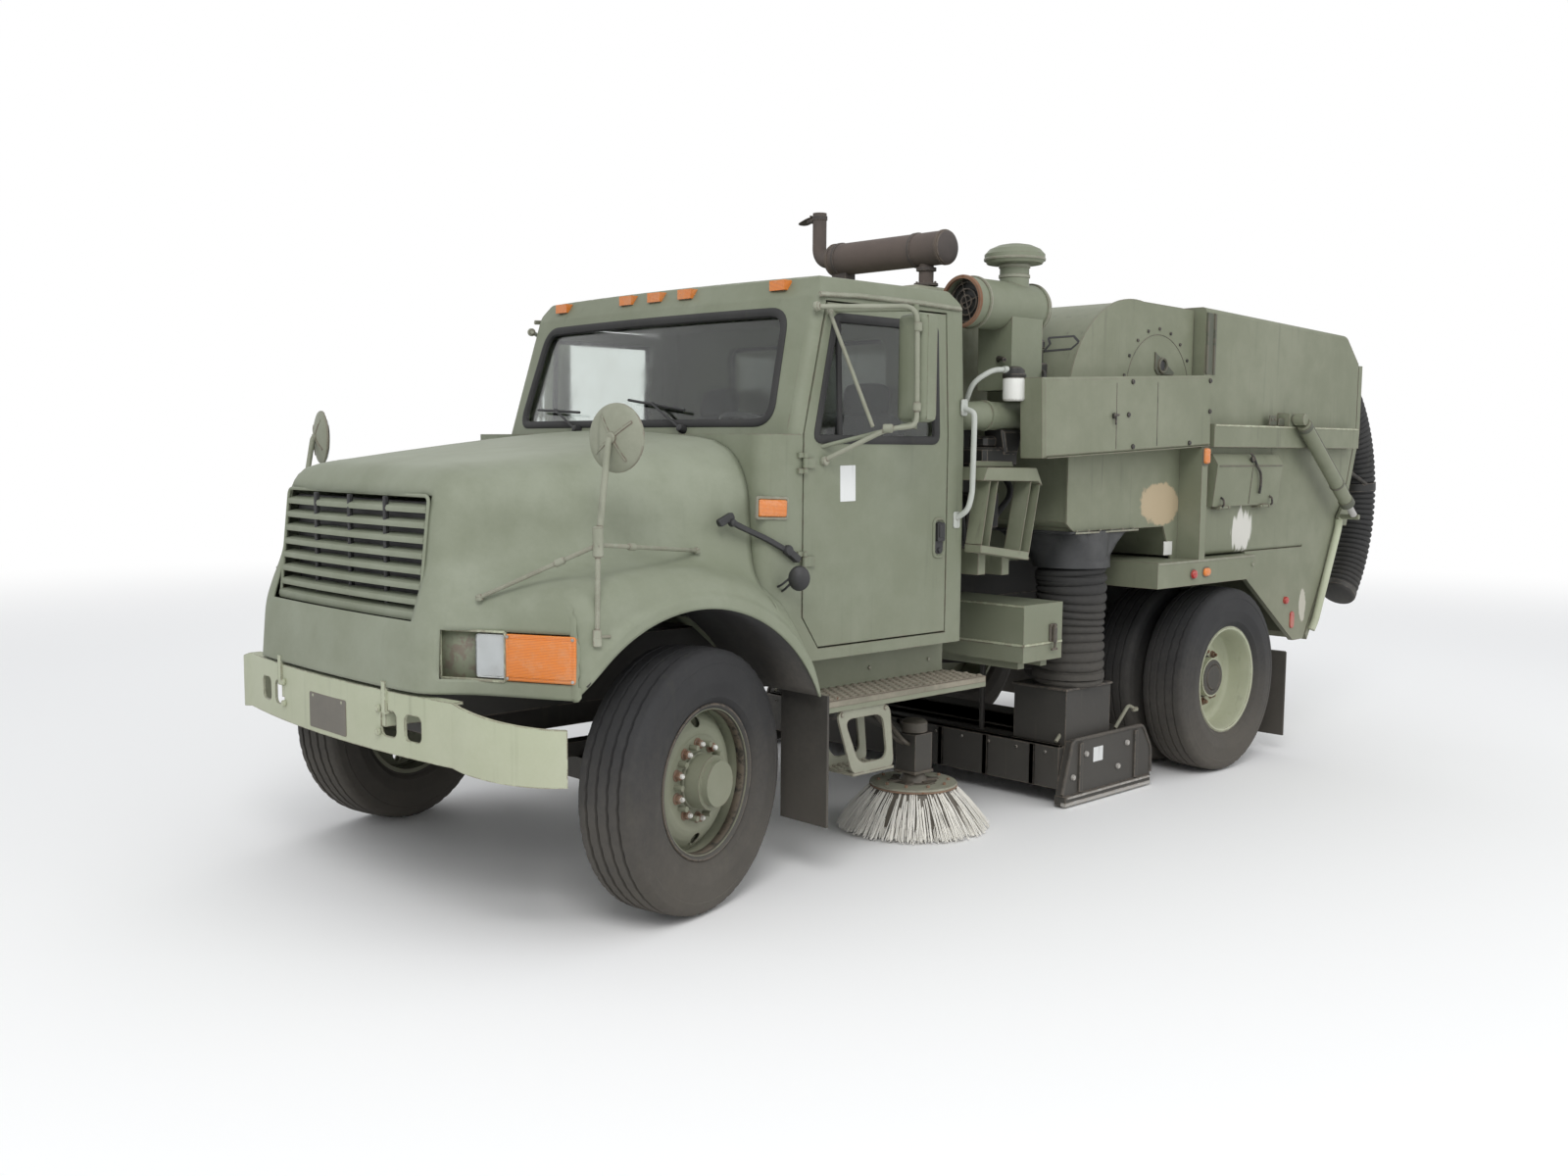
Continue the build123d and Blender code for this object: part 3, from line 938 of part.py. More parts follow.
save(guard_place * guard_form.part, "belt_guard")

# Fender boxes over the rear wheels with the body posts, and the rear mudflaps
with BuildPart() as rear_fenders:
    for sign in (1, -1):
        side_prism(
            along([(3041, 1070), (3041, FENDER_BOX_Z1), (4050, FENDER_BOX_Z1), (4050, 1150), (3990, 1070)]),
            *sorted((sign * 700, sign * 1220)))
        x0, x1 = sorted((sign * (DRUM_X + SEAT_GAP), sign * 1220))
        block(x0, x1, FRONT_AXLE_Y + 3440, FRONT_AXLE_Y + 3500, FENDER_BOX_Z1 - 5, 1798)
        x0, x1 = sorted((sign * (RAIL_X + 35 + SEAT_GAP), sign * 702))
        block(x0, x1, FRONT_AXLE_Y + 3200, FRONT_AXLE_Y + 3900, 1080, 1160)
save(rear_fenders.part, "rear_fenders")
with BuildPart() as rear_mudflaps:
    for sign in (1, -1):
        x0, x1 = sorted((sign * 640, sign * 1180))
        block(x0, x1, FRONT_AXLE_Y + 4540, FRONT_AXLE_Y + 4552, 100, 600)
        x0, x1 = sorted((sign * (RAIL_X - 30), sign * 1160))
        block(x0, x1, FRONT_AXLE_Y + 4552 - 1, FRONT_AXLE_Y + 4580, 560, 600)
        x0, x1 = sorted((sign * (RAIL_X - 30), sign * (RAIL_X + 20)))
        block(x0, x1, FRONT_AXLE_Y + 4552, FRONT_AXLE_Y + 4580, 560, RAIL_Z0 - SEAT_GAP)
save(Compound(children=[front_mudflaps.part, rear_mudflaps.part]), "mudflaps")

# Suction transition on the left, blast transition on the right, with a neck each
HEAD_TOP_Z = 330
HOSE_X, HOSE_Y = 930, FRONT_AXLE_Y + 2690
NECK_R = 160
HOSE_R_IN = 168
HOSE_R = 182
HOSE_TOP_Z = 1190
HOSE_RINGS = 8
HOSE_BOTTOM_Z = 590
with BuildPart() as transition:
    with BuildSketch(Plane.XY.offset(1380 - SEAT_GAP)):
        with Locations((830, FRONT_AXLE_Y + 2740)):
            Rectangle(500, 500)
    with BuildSketch(Plane.XY.offset(1320)):
        with Locations((HOSE_X, HOSE_Y)):
            Circle(NECK_R + 10)
    loft()
    bar((HOSE_X, HOSE_Y, 1330), (HOSE_X, HOSE_Y, 1080), NECK_R)
save(both(transition.part), "hose_transitions")

# Pickup head: a wide box with end plates, stubs and the hoses that rise with it
HEAD_Y0, HEAD_Y1 = FRONT_AXLE_Y + 2440, FRONT_AXLE_Y + 3190
with BuildPart() as pickup_head:
    block(-1060, 1060, HEAD_Y0, HEAD_Y1, 90, 300)
    block(-1061, 1061, HEAD_Y0 + 40, HEAD_Y1 - 40, 0, 250, mode=Mode.SUBTRACT)
    for sign in (1, -1):
        x0, x1 = sorted((sign * 1060, sign * 1105))
        side_prism(
            [(HEAD_Y0 - 20, 60), (HEAD_Y0 + 60, 330), (HEAD_Y1 - 60, 330), (HEAD_Y1 + 20, 200), (HEAD_Y1 + 20, 60)],
            x0, x1)
        x0, x1 = sorted((sign * 1050, sign * 1115))
        block(x0, x1, HEAD_Y0 - 10, HEAD_Y1 + 10, 12, 62)
        x0, x1 = sorted((sign * 735, sign * 1055))
        block(x0, x1, HOSE_Y - 190, HOSE_Y + 200, 299, HOSE_BOTTOM_Z)
        for guide_y in GUIDE_YS:
            bar((sign * GUIDE_X, guide_y, 290), (sign * GUIDE_X, guide_y, RAIL_Z0 + 96), GUIDE_R)
save(pickup_head.part, "pickup_head")
with BuildPart() as hose:
    bar((HOSE_X, HOSE_Y, HOSE_BOTTOM_Z + SEAT_GAP), (HOSE_X, HOSE_Y, HOSE_TOP_Z), HOSE_R - 7)
    for ring in range(HOSE_RINGS):
        ring_z = HOSE_BOTTOM_Z + 30 + ring * (HOSE_TOP_Z - HOSE_BOTTOM_Z - 90) / (HOSE_RINGS - 1)
        bar((HOSE_X, HOSE_Y, ring_z), (HOSE_X, HOSE_Y, ring_z + 34), HOSE_R)
    bar((HOSE_X, HOSE_Y, HOSE_BOTTOM_Z), (HOSE_X, HOSE_Y, HOSE_TOP_Z + 1), HOSE_R_IN, mode=Mode.SUBTRACT)
save(both(hose.part), "head_hoses")

# Gutter brooms: an arm pinned to the frame, a motor, and a turning plate with bristles
BROOM_X, BROOM_Y = 800, FRONT_AXLE_Y + 1640
BROOM_PLATE_Z = 205
for side, sign in SIDES:
    centre = (sign * BROOM_X, BROOM_Y)
    with BuildPart() as broom_arm:
        bar((sign * ARM_PIN_X, ARM_PIN_Y, 510), (sign * ARM_PIN_X, ARM_PIN_Y, 670), 42)
        bar((sign * ARM_PIN_X, ARM_PIN_Y, 590), (centre[0], centre[1], 430), 26)
        block(centre[0] - 60, centre[0] + 60, centre[1] - 60, centre[1] + 60, 270, 450)
        bar((sign * ARM_PIN_X, ARM_PIN_Y, 495), (sign * ARM_PIN_X, ARM_PIN_Y, 685), 20 + PIN_FIT, mode=Mode.SUBTRACT)
        bar((centre[0], centre[1], 271), (centre[0], centre[1], BROOM_PLATE_Z + 14), 20)
    save(broom_arm.part, f"broom_arm_{side}")
    with BuildPart() as broom:
        bar((centre[0], centre[1], BROOM_PLATE_Z), (centre[0], centre[1], BROOM_PLATE_Z + 12), 205)
        bar((centre[0], centre[1], BROOM_PLATE_Z + 11), (centre[0], centre[1], BROOM_PLATE_Z + 50), 50)
        bar((centre[0], centre[1], BROOM_PLATE_Z + 6), (centre[0], centre[1], BROOM_PLATE_Z + 60), 20 + PIN_FIT,
            mode=Mode.SUBTRACT)
    with BuildPart() as bristles:
        with BuildSketch(Plane.XZ) as ring:
            with BuildLine():
                Polyline((120, BROOM_PLATE_Z - SEAT_GAP), (200, BROOM_PLATE_Z - SEAT_GAP), (365, 6), (255, 6), close=True)
            make_face()
        revolve(ring.sketch, axis=Axis.Z)
    save(Compound(children=[broom.part, Location((centre[0], centre[1], 0)) * bristles.part]), f"broom_{side}")

# Hopper: a hollow body on a cross pivot at the rear of the frame
TOP_FRONT_Z = 2545
TOP_REAR_Y = 5210
TOP_REAR_Z = 2490
HOPPER_EDGE_R = 24
hopper_outline = [
    (3550, HOPPER_Z0), (3550, TOP_FRONT_Z), (TOP_REAR_Y, TOP_REAR_Z), (5395, 2325), (5395, 1905), (5215, 1345),
    (4820, 690), (4775, 690), (4745, HOPPER_Z0),
]
hopper_hollow = [
    (3580, HOPPER_Z0 + 30), (3580, TOP_FRONT_Z - 31), (TOP_REAR_Y - 14, TOP_REAR_Z - 31), (5365, 2312), (5400, 2312),
    (5400, 1905), (5222, 1345), (4838, 706), (4806, 706), (4776, HOPPER_Z0 + 30),
]
INSP_Y0, INSP_Y1 = FRONT_AXLE_Y + 3620, FRONT_AXLE_Y + 4350
INSP_PIN_X, INSP_PIN_Z, INSP_PIN_R = HOPPER_X + 46, 1474, 5
with BuildPart() as hopper:
    side_prism(along(hopper_outline), -HOPPER_X, HOPPER_X)
    fillet(edges().filter_by(Axis.Y).group_by(Axis.Z)[-1] + edges().filter_by(lambda e: low(e).Z > TOP_REAR_Z - 5
           and high(e).Y - low(e).Y > 1000), HOPPER_EDGE_R)
    side_prism(along(hopper_hollow), -HOPPER_X + HOPPER_WALL, HOPPER_X - HOPPER_WALL, mode=Mode.SUBTRACT)
    for sign in (1, -1):
        x0, x1 = sorted((sign * (HOPPER_X - 0.5), sign * LEDGE_X))
        block(x0, x1, FRONT_AXLE_Y + 3556, FRONT_AXLE_Y + 5290, 1803, 1925)
        x0, x1 = sorted((sign * (HOPPER_X - HOPPER_WALL), sign * HOPPER_X))
        side_prism(
            along([(4062, HOPPER_Z0 + 1), (4062, 1075), (4680, 656), (4805, 656), (4835, 715), (4760, HOPPER_Z0 + 1)]),
            x0, x1)
        x0, x1 = sorted((sign * (HOPPER_X - 1), sign * LEDGE_X))
        block(x0, x1, CYL_BASE[0] - 50, CYL_BASE[0] + 50, 1924, CYL_BASE[1] + 35)
        for barrel_y in (INSP_Y0 + 80, INSP_Y1 - 200):
            for lug_y in (barrel_y - 28, barrel_y + 66):
                x0, x1 = sorted((sign * (HOPPER_X - 1), sign * INSP_PIN_X))
                block(x0, x1, lug_y, lug_y + 22, INSP_PIN_Z - 9, INSP_PIN_Z - 1)
                bar((sign * INSP_PIN_X, lug_y, INSP_PIN_Z), (sign * INSP_PIN_X, lug_y + 22, INSP_PIN_Z), 8)
            bar((sign * INSP_PIN_X, barrel_y - 28, INSP_PIN_Z), (sign * INSP_PIN_X, barrel_y + 88, INSP_PIN_Z),
                INSP_PIN_R)
        bar((sign * (LEDGE_X - 6), *CYL_BASE), (sign * (CYL_X + 30), *CYL_BASE), CYL_PIN_R)
        for lug_x in (500, 900):
            x0, x1 = sorted((sign * lug_x, sign * (lug_x + 30)))
            side_prism(
                along([(5330, 2374), (5392, 2320), (5445, 2330), (5452, 2360), (5400, 2392), (5340, 2410)]), x0, x1)
            x0, x1 = sorted((sign * (lug_x - 1), sign * (lug_x + 31)))
            bar((x0, DOOR_HINGE_Y, DOOR_HINGE_Z), (x1, DOOR_HINGE_Y, DOOR_HINGE_Z), DOOR_PIN_R + PIN_FIT,
                mode=Mode.SUBTRACT)
        x0, x1 = sorted((sign * (RAIL_X + 46), sign * (RAIL_X + 66)))
        side_prism(
            along([(4700, PIVOT_Z - 40), (4800, PIVOT_Z - 40), (4770, HOPPER_Z0 + 1), (4650, HOPPER_Z0 + 1)]), x0, x1)
    bar((-RAIL_X - 70, PIVOT_Y, PIVOT_Z), (RAIL_X + 70, PIVOT_Y, PIVOT_Z), 25 + PIN_FIT, mode=Mode.SUBTRACT)
save(hopper.part, "hopper")

# Inspection doors: wedges hinged along their lower edge
INSP_Z0, INSP_Z1 = 1480, 1765
INSP_OUT = ((0.3, INSP_Z1), (26, INSP_Z1), (62, INSP_Z1 - 56), (36, INSP_Z0), (0.3, INSP_Z0))
for side, sign in SIDES:
    with BuildPart() as inspection_door:
        with BuildSketch(Plane.XZ.offset(-INSP_Y0)) as wedge:
            with BuildLine():
                Polyline(*[(sign * (HOPPER_X + x), z) for x, z in INSP_OUT], close=True)
            make_face()
        extrude(wedge.sketch, amount=INSP_Y0 - INSP_Y1)
        for barrel_y in (INSP_Y0 + 80, INSP_Y1 - 200):
            x0, x1 = sorted((sign * (INSP_PIN_X - 18), sign * INSP_PIN_X))
            block(x0, x1, barrel_y, barrel_y + 60, INSP_PIN_Z - 7, INSP_Z0 + 6)
            bar((sign * INSP_PIN_X, barrel_y, INSP_PIN_Z), (sign * INSP_PIN_X, barrel_y + 60, INSP_PIN_Z), 8)
            bar((sign * INSP_PIN_X, barrel_y - 1, INSP_PIN_Z), (sign * INSP_PIN_X, barrel_y + 61, INSP_PIN_Z),
                INSP_PIN_R + PIN_FIT, mode=Mode.SUBTRACT)
    save(inspection_door.part, f"inspection_door_{side}")

# Dump door: three flats following the rear of the hopper, hinged at the top
outer = [(5450, 2315), (5450, 1892), (5264, 1318), (4858, 646)]
inner = [(4838, 682), (5224, 1338), (5403, 1901), (5403, 2315)]
with BuildPart() as dump_door:
    side_prism(along(outer + inner), -HOPPER_X, HOPPER_X)
    for sign in (1, -1):
        for lug_x in (455, 936):
            x0, x1 = sorted((sign * lug_x, sign * (lug_x + 38)))
            block(x0, x1, DOOR_HINGE_Y - 14, DOOR_HINGE_Y + 20, 2310, DOOR_HINGE_Z + 12)
        bar((sign * 460, DOOR_HINGE_Y, DOOR_HINGE_Z), (sign * 970, DOOR_HINGE_Y, DOOR_HINGE_Z), DOOR_PIN_R)
        bar((sign * (HOPPER_X + 20), *CYL_EYE), (sign * (CYL_X + 26), *CYL_EYE), CYL_PIN_R)
        x0, x1 = sorted((sign * (HOPPER_X + 10), sign * (HOPPER_X + 26)))
        side_prism(along([(5240, 1480), (5150, 1380), (5190, 1330), (5268, 1330), (5300, 1430)]), x0, x1)
        x0, x1 = sorted((sign * (HOPPER_X - 4), sign * (HOPPER_X + 26)))
        side_prism(along([(5268, 1470), (5240, 1345), (5264, 1325), (5312, 1470)]), x0, x1)

# Door cylinders: the barrel is pinned to the ledge, the rod runs to the door arm
cyl_run = Vector(0, CYL_EYE[0] - CYL_BASE[0], CYL_EYE[1] - CYL_BASE[1])
cyl_dir = cyl_run.normalized()
for side, sign in SIDES:
    base = Vector(sign * CYL_X, CYL_BASE[0], CYL_BASE[1])
    eye = Vector(sign * CYL_X, CYL_EYE[0], CYL_EYE[1])
    with BuildPart() as barrel:
        bar(tuple(base + cyl_dir * 34), tuple(base + cyl_dir * 820), 40)
        bar(tuple(base + cyl_dir * 45), tuple(base + cyl_dir * 821), 20 + PIN_FIT, mode=Mode.SUBTRACT)
        bar((sign * CYL_X - 30, *CYL_BASE), (sign * CYL_X + 30, *CYL_BASE), 34)
        bar((sign * CYL_X - 31, *CYL_BASE), (sign * CYL_X + 31, *CYL_BASE), 16 + PIN_FIT, mode=Mode.SUBTRACT)
    save(barrel.part, f"cylinder_barrel_{side}")
    with BuildPart() as rod:
        bar(tuple(base + cyl_dir * 60), tuple(base + cyl_dir * (cyl_run.length - 22)), 20)
    save(rod.part, f"cylinder_rod_{side}")

# Corrugated hose standing behind the left rear corner on the door
RH_X, RH_R = 1000, 110
RH_TOP = (RH_X, FRONT_AXLE_Y + 5450 + SEAT_GAP, 2180)
RH_MID = (RH_X, FRONT_AXLE_Y + 5790, 1520)
RH_END = (RH_X, FRONT_AXLE_Y + 5560, 860)
RH_BRACE_Z = 1800
with BuildPart() as rear_hose:
    with BuildLine() as route:
        ThreePointArc(RH_TOP, RH_MID, RH_END)
    with BuildSketch(Plane(origin=RH_TOP, z_dir=route.line % 0)):
        Circle(RH_R)
    sweep(path=route.line)
    block(-1200, 1200, RH_TOP[1] - 450, RH_TOP[1], 1700, 2600, mode=Mode.SUBTRACT)
save(rear_hose.part, "rear_hose")
with BuildPart() as hose_brace:
    block(RH_X - 30, RH_X + 30, RH_TOP[1] - 50, RH_MID[1] - 90, RH_BRACE_Z - 20, RH_BRACE_Z + 20)
    add(rear_hose.part, mode=Mode.SUBTRACT)
save(dump_door.part + hose_brace.part, "dump_door")
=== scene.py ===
"""Street sweeper truck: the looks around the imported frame.

Metres. The truck faces -Y, its left side is +X, the ground is Z 0.
"""
import math

import bpy
import numpy as np
from mathutils import Matrix, Vector


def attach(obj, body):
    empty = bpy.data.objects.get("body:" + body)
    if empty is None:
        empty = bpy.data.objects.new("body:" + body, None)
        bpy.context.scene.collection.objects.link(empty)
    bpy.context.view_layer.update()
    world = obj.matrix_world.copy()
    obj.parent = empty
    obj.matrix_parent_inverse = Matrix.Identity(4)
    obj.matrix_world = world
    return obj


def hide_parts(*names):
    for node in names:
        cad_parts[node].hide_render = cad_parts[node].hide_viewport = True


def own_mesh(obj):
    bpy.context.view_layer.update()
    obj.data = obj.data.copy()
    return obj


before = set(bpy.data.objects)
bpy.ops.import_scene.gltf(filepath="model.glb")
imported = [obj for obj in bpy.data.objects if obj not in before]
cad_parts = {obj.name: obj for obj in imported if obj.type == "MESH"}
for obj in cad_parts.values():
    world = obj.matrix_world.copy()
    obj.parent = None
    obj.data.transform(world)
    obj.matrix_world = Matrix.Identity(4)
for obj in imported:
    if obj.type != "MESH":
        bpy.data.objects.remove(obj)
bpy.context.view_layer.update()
scene = bpy.context.scene

FRONT_AXLE_Y = -2.498
WHEELBASE = 3.835
REAR_AXLE_Y = FRONT_AXLE_Y + WHEELBASE
AXLE_Z = 0.515
SIDES = (("left", 1), ("right", -1))
OUT = (1, 0, 0)


# Shapes. Each is a pair: points, an array of rows x y z, and faces, a list of index arrays, one row per face.
def sheet_faces(rows, columns, loop_rows=False, loop_columns=False):
    """Quads between neighbouring points of a grid, with the last row or column joined to the first if it
    loops."""
    i = np.arange(rows if loop_rows else rows - 1)
    j = np.arange(columns if loop_columns else columns - 1)
    i, j = np.meshgrid(i, j, indexing="ij")
    i1, j1 = (i + 1) % rows, (j + 1) % columns
    quads = np.stack([i * columns + j, i1 * columns + j, i1 * columns + j1, i * columns + j1], axis=-1)
    return quads.reshape(-1, 4)


def sheet_shape(points, loop_rows=False, loop_columns=False, cap_rows=False):
    """A grid of points as a surface; cap_rows closes its first and last row with one flat face each."""
    points = np.asarray(points, float)
    rows, columns = points.shape[:2]
    faces = [sheet_faces(rows, columns, loop_rows, loop_columns)]
    if cap_rows:
        faces.append(np.arange(columns)[None, ::1])
        faces.append((np.arange(columns)[::-1] + (rows - 1) * columns)[None, :])
    return points.reshape(-1, 3), faces


def joined(shapes):
    """Several shapes as one: their points in a row, their faces counted on."""
    points, faces, count = [], [], 0
    for shape_points, shape_faces in shapes:
        points.append(shape_points)
        faces += [f + count for f in shape_faces]
        count += len(shape_points)
    return np.concatenate(points), faces


def moved(shape, matrix):
    """The shape with every point taken through the matrix."""
    points, faces = shape
    m = np.array(matrix)
    return points @ m[:3, :3].T + m[:3, 3], faces


def mirrored(shape):
    """The same shape on the other side of the truck: x is negated and each face is read backwards."""
    points, faces = shape
    return points * np.array([-1, 1, 1]), [f[:, ::-1] for f in faces]


def on_both_sides(shape):
    return joined([shape, mirrored(shape)])


def unchanged(shape):
    return shape


SIDE_TURNS = (("left", unchanged), ("right", mirrored))


def angles_between(first, last, count):
    """Angles in radians, evenly spaced between two given in degrees."""
    return np.radians(np.linspace(first, last, count))


def axes_at(origin, x_dir, z_dir):
    """A matrix whose local z looks along z_dir and whose local x leans towards x_dir."""
    z = Vector(z_dir).normalized()
    x = Vector(x_dir)
    x = (x - z * x.dot(z)).normalized()
    y = z.cross(x)
    m = Matrix((x, y, z)).transposed().to_4x4()
    m.translation = Vector(origin)
    return m


def full_circle(count):
    """Equal angles once round."""
    return np.linspace(0, 2 * math.pi, count, endpoint=False)


def circle(radius, count):
    """Points at equal angles round a circle."""
    a = full_circle(count)
    return np.stack([radius * np.cos(a), radius * np.sin(a)], axis=-1)


def rounded_rectangle(width, height, radius, steps=5):
    """Four quarter circles, one at each corner, joined by straight sides."""
    a = np.linspace(0, math.pi / 2, steps)
    corners = []
    for quarter, (sx, sy) in enumerate(((1, 1), (-1, 1), (-1, -1), (1, -1))):
        angle = a + quarter * math.pi / 2
        corners.append(np.stack([sx * (width / 2 - radius) + radius * np.cos(angle),
            sy * (height / 2 - radius) + radius * np.sin(angle)], axis=-1))
    return np.concatenate(corners)


def inset(outline, distance):
    """The outline with each corner moved inwards along the middle of its two sides' normals."""
    before = outline - np.roll(outline, 1, axis=0)
    after = np.roll(outline, -1, axis=0) - outline
    n0 = np.stack([-before[:, 1], before[:, 0]], axis=-1) / np.linalg.norm(before, axis=1)[:, None]
    n1 = np.stack([-after[:, 1], after[:, 0]], axis=-1) / np.linalg.norm(after, axis=1)[:, None]
    middle = n0 + n1
    middle /= np.maximum((middle * n0).sum(axis=1), 0.2)[:, None]
    return outline + distance * middle


def slab(outline, z0, z1, bevel=0.0):
    """An outline carried straight up from z0 to z1, its two rims pulled in by the bevel."""
    outline = np.asarray(outline, float)
    rings = [(inset(outline, bevel), z0), (outline, z0 + bevel), (outline, z1 - bevel),
        (inset(outline, bevel), z1)]
    if not bevel:
        rings = [(outline, z0), (outline, z1)]
    grid = np.stack([np.column_stack([ring, np.full(len(ring), z)]) for ring, z in rings])
    points, faces = sheet_shape(grid[::-1], loop_columns=True, cap_rows=True)
    return points, faces


def turned(profile, count=48, closed=False):
    """A profile of (radius, height) rows turned round the z axis; closed joins its last row to its first."""
    profile = np.asarray(profile, float)
    a = full_circle(count)
    r, h = profile[:, 0][:, None], profile[:, 1][:, None]
    grid = np.stack([r * np.cos(a), r * np.sin(a), np.broadcast_to(h, (len(profile), count))], axis=-1)
    return sheet_shape(grid[::-1], loop_rows=closed, loop_columns=True, cap_rows=not closed)


def path_frames(path):
    """For each point of a path: its tangent and two normals that turn as little as they can along it."""
    path = np.asarray(path, float)
    tangent = np.gradient(path, axis=0)
    tangent /= np.linalg.norm(tangent, axis=1)[:, None]
    side = np.zeros_like(path)
    first = np.cross(tangent[0], (0, 0, 1) if abs(tangent[0][2]) < 0.9 else (1, 0, 0))
    side[0] = first / np.linalg.norm(first)
    for i in range(1, len(path)):
        turned_side = side[i - 1] - tangent[i] * side[i - 1].dot(tangent[i])
        side[i] = turned_side / np.linalg.norm(turned_side)
    return tangent, side, np.cross(tangent, side)


def tube(path, radius, count=16, capped=True):
    """A circle carried along a path; the radius may change from point to point."""
    path = np.asarray(path, float)
    tangent, side, up = path_frames(path)
    radius = np.broadcast_to(np.asarray(radius, float), (len(path),))
    a = full_circle(count)
    ring = np.cos(a)[None, :, None] * side[:, None, :] + np.sin(a)[None, :, None] * up[:, None, :]
    grid = path[:, None, :] + radius[:, None, None] * ring
    return sheet_shape(grid[::-1], loop_columns=True, cap_rows=capped)


def bent(points, radius, steps=6):
    """A path through the points with each corner rounded: a quadratic curve between points set back from
    it."""
    points = [np.asarray(p, float) for p in points]
    path = [points[0]]
    t = np.linspace(0, 1, steps)[:, None]
    for before, corner, after in zip(points, points[1:], points[2:]):
        back = min(radius, 0.45 * np.linalg.norm(corner - before), 0.45 * np.linalg.norm(after - corner))
        a = corner + (before - corner) / np.linalg.norm(before - corner) * back
        b = corner + (after - corner) / np.linalg.norm(after - corner) * back
        path += list((1 - t) ** 2 * a + 2 * t * (1 - t) * corner + t ** 2 * b)
    path.append(points[-1])
    return np.array(path)


def welded(shape, step=2e-05):
    """The shape with points that lie together made one; a face pinched at a pole loses a corner."""
    points, faces = shape
    keys = np.round(points / step).astype(np.int64)
    _, first, index = np.unique(keys, axis=0, return_index=True, return_inverse=True)
    whole = []
    for group in (index.reshape(-1)[f] for f in faces):
        again = group == np.roll(group, -1, axis=1)
        whole.append(group[~again.any(axis=1)])
        pinched = again.sum(axis=1) == 1
        if pinched.any() and group.shape[1] > 3:
            whole.append(group[pinched][~again[pinched]].reshape(-1, group.shape[1] - 1))
    return points[first], whole


def box_shape(x0, x1, y0, y1, z0, z1, bevel=0.003):
    """A block with its upright corners and its rims bevelled."""
    middle = np.array([(x0 + x1) / 2, (y0 + y1) / 2, 0])
    outline = rounded_rectangle(x1 - x0, y1 - y0, min(bevel * 1.5, (x1 - x0) / 3, (y1 - y0) / 3), 2)
    points, faces = slab(outline, z0, z1, min(bevel, (z1 - z0) / 3))
    return points + middle, faces


def on_axis(shape, origin, z_dir, x_dir=(0, 0, 1)):
    """The shape set down with its z axis along z_dir from the origin."""
    return moved(shape, axes_at(origin, x_dir, z_dir))


def thicken(obj, thickness, offset=-1.0):
    """Gives a sheet its thickness, inwards unless told otherwise."""
    solid = obj.modifiers.new("thickness", "SOLIDIFY")
    solid.thickness, solid.offset = thickness, offset
    return obj


def from_axle(shape):
    """A shape drawn with y counted from the front axle, put in the truck's frame."""
    points, faces = shape
    return points + np.array([0, FRONT_AXLE_Y, 0]), faces


def add_piece(name, shape, material, body, slot, sharp_angle=35):
    """Puts a shape in the scene as one mesh, riding on a body, with a material. The slot is not used."""
    points, faces = shape
    mesh = bpy.data.meshes.new(name)
    sizes = np.concatenate([np.full(len(f), f.shape[1]) for f in faces])
    loops = np.concatenate([f.reshape(-1) for f in faces])
    mesh.vertices.add(len(points))
    mesh.vertices.foreach_set("co", points.astype(np.float32).reshape(-1))
    mesh.loops.add(len(loops))
    mesh.loops.foreach_set("vertex_index", loops.astype(np.int32))
    mesh.polygons.add(len(sizes))
    mesh.polygons.foreach_set("loop_start", np.concatenate([[0], np.cumsum(sizes)[:-1]]).astype(np.int32))
    mesh.polygons.foreach_set("use_smooth", np.ones(len(sizes), bool))
    mesh.update(calc_edges=True)
    mesh.validate()
    mesh.set_sharp_from_angle(angle=math.radians(sharp_angle))
    mesh.materials.append(material)
    obj = bpy.data.objects.new(name, mesh)
    scene.collection.objects.link(obj)
    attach(obj, body)
    return obj


def put(name, shape, *looks):
    """Adds a piece drawn with y counted from the front axle."""
    return add_piece(name, from_axle(shape), *looks)


def put_pair(name, shape, *looks):
    """Adds a piece drawn on the left side, and the same on the right side."""
    return put(name, on_both_sides(shape), *looks)


# Camera, at the photograph's height, distance and angle
CAMERA_PLACE = (5.179, FRONT_AXLE_Y - 3.439, 1.784)
CAMERA_TURN, CAMERA_DIP, CAMERA_ROLL = (math.radians(a) for a in (46.07, 5.61, 0.46))
SENSOR_WIDTH = 36.0
FOCAL_PIXELS, PHOTO_WIDTH = 1464.3, 1600


def add_camera():
    forward = Vector((-math.sin(CAMERA_TURN) * math.cos(CAMERA_DIP),
        math.cos(CAMERA_TURN) * math.cos(CAMERA_DIP), -math.sin(CAMERA_DIP)))
    level = Vector((math.cos(CAMERA_TURN), math.sin(CAMERA_TURN), 0))
    upright = level.cross(forward)
    right = level * math.cos(CAMERA_ROLL) + upright * math.sin(CAMERA_ROLL)
    up = upright * math.cos(CAMERA_ROLL) - level * math.sin(CAMERA_ROLL)
    data = bpy.data.cameras.new("camera")
    data.sensor_fit = "HORIZONTAL"
    data.sensor_width = SENSOR_WIDTH
    data.lens = SENSOR_WIDTH * FOCAL_PIXELS / PHOTO_WIDTH
    data.clip_end = 200
    camera = bpy.data.objects.new("camera", data)
    turn = Matrix((right, up, -forward)).transposed().to_4x4()
    turn.translation = Vector(CAMERA_PLACE)
    camera.matrix_world = turn
    scene.collection.objects.link(camera)
    scene.camera = camera


add_camera()


# Materials
def node(tree, kind, links=None, **settings):
    """A node with its settings, and for each named or numbered input a value or another node's output."""
    made = tree.nodes.new("ShaderNode" + kind)
    for key, value in settings.items():
        setattr(made, key, value)
    for key, value in (links or {}).items():
        if isinstance(value, bpy.types.NodeSocket):
            tree.links.new(value, made.inputs[key])
        else:
            made.inputs[key].default_value = value
    return made


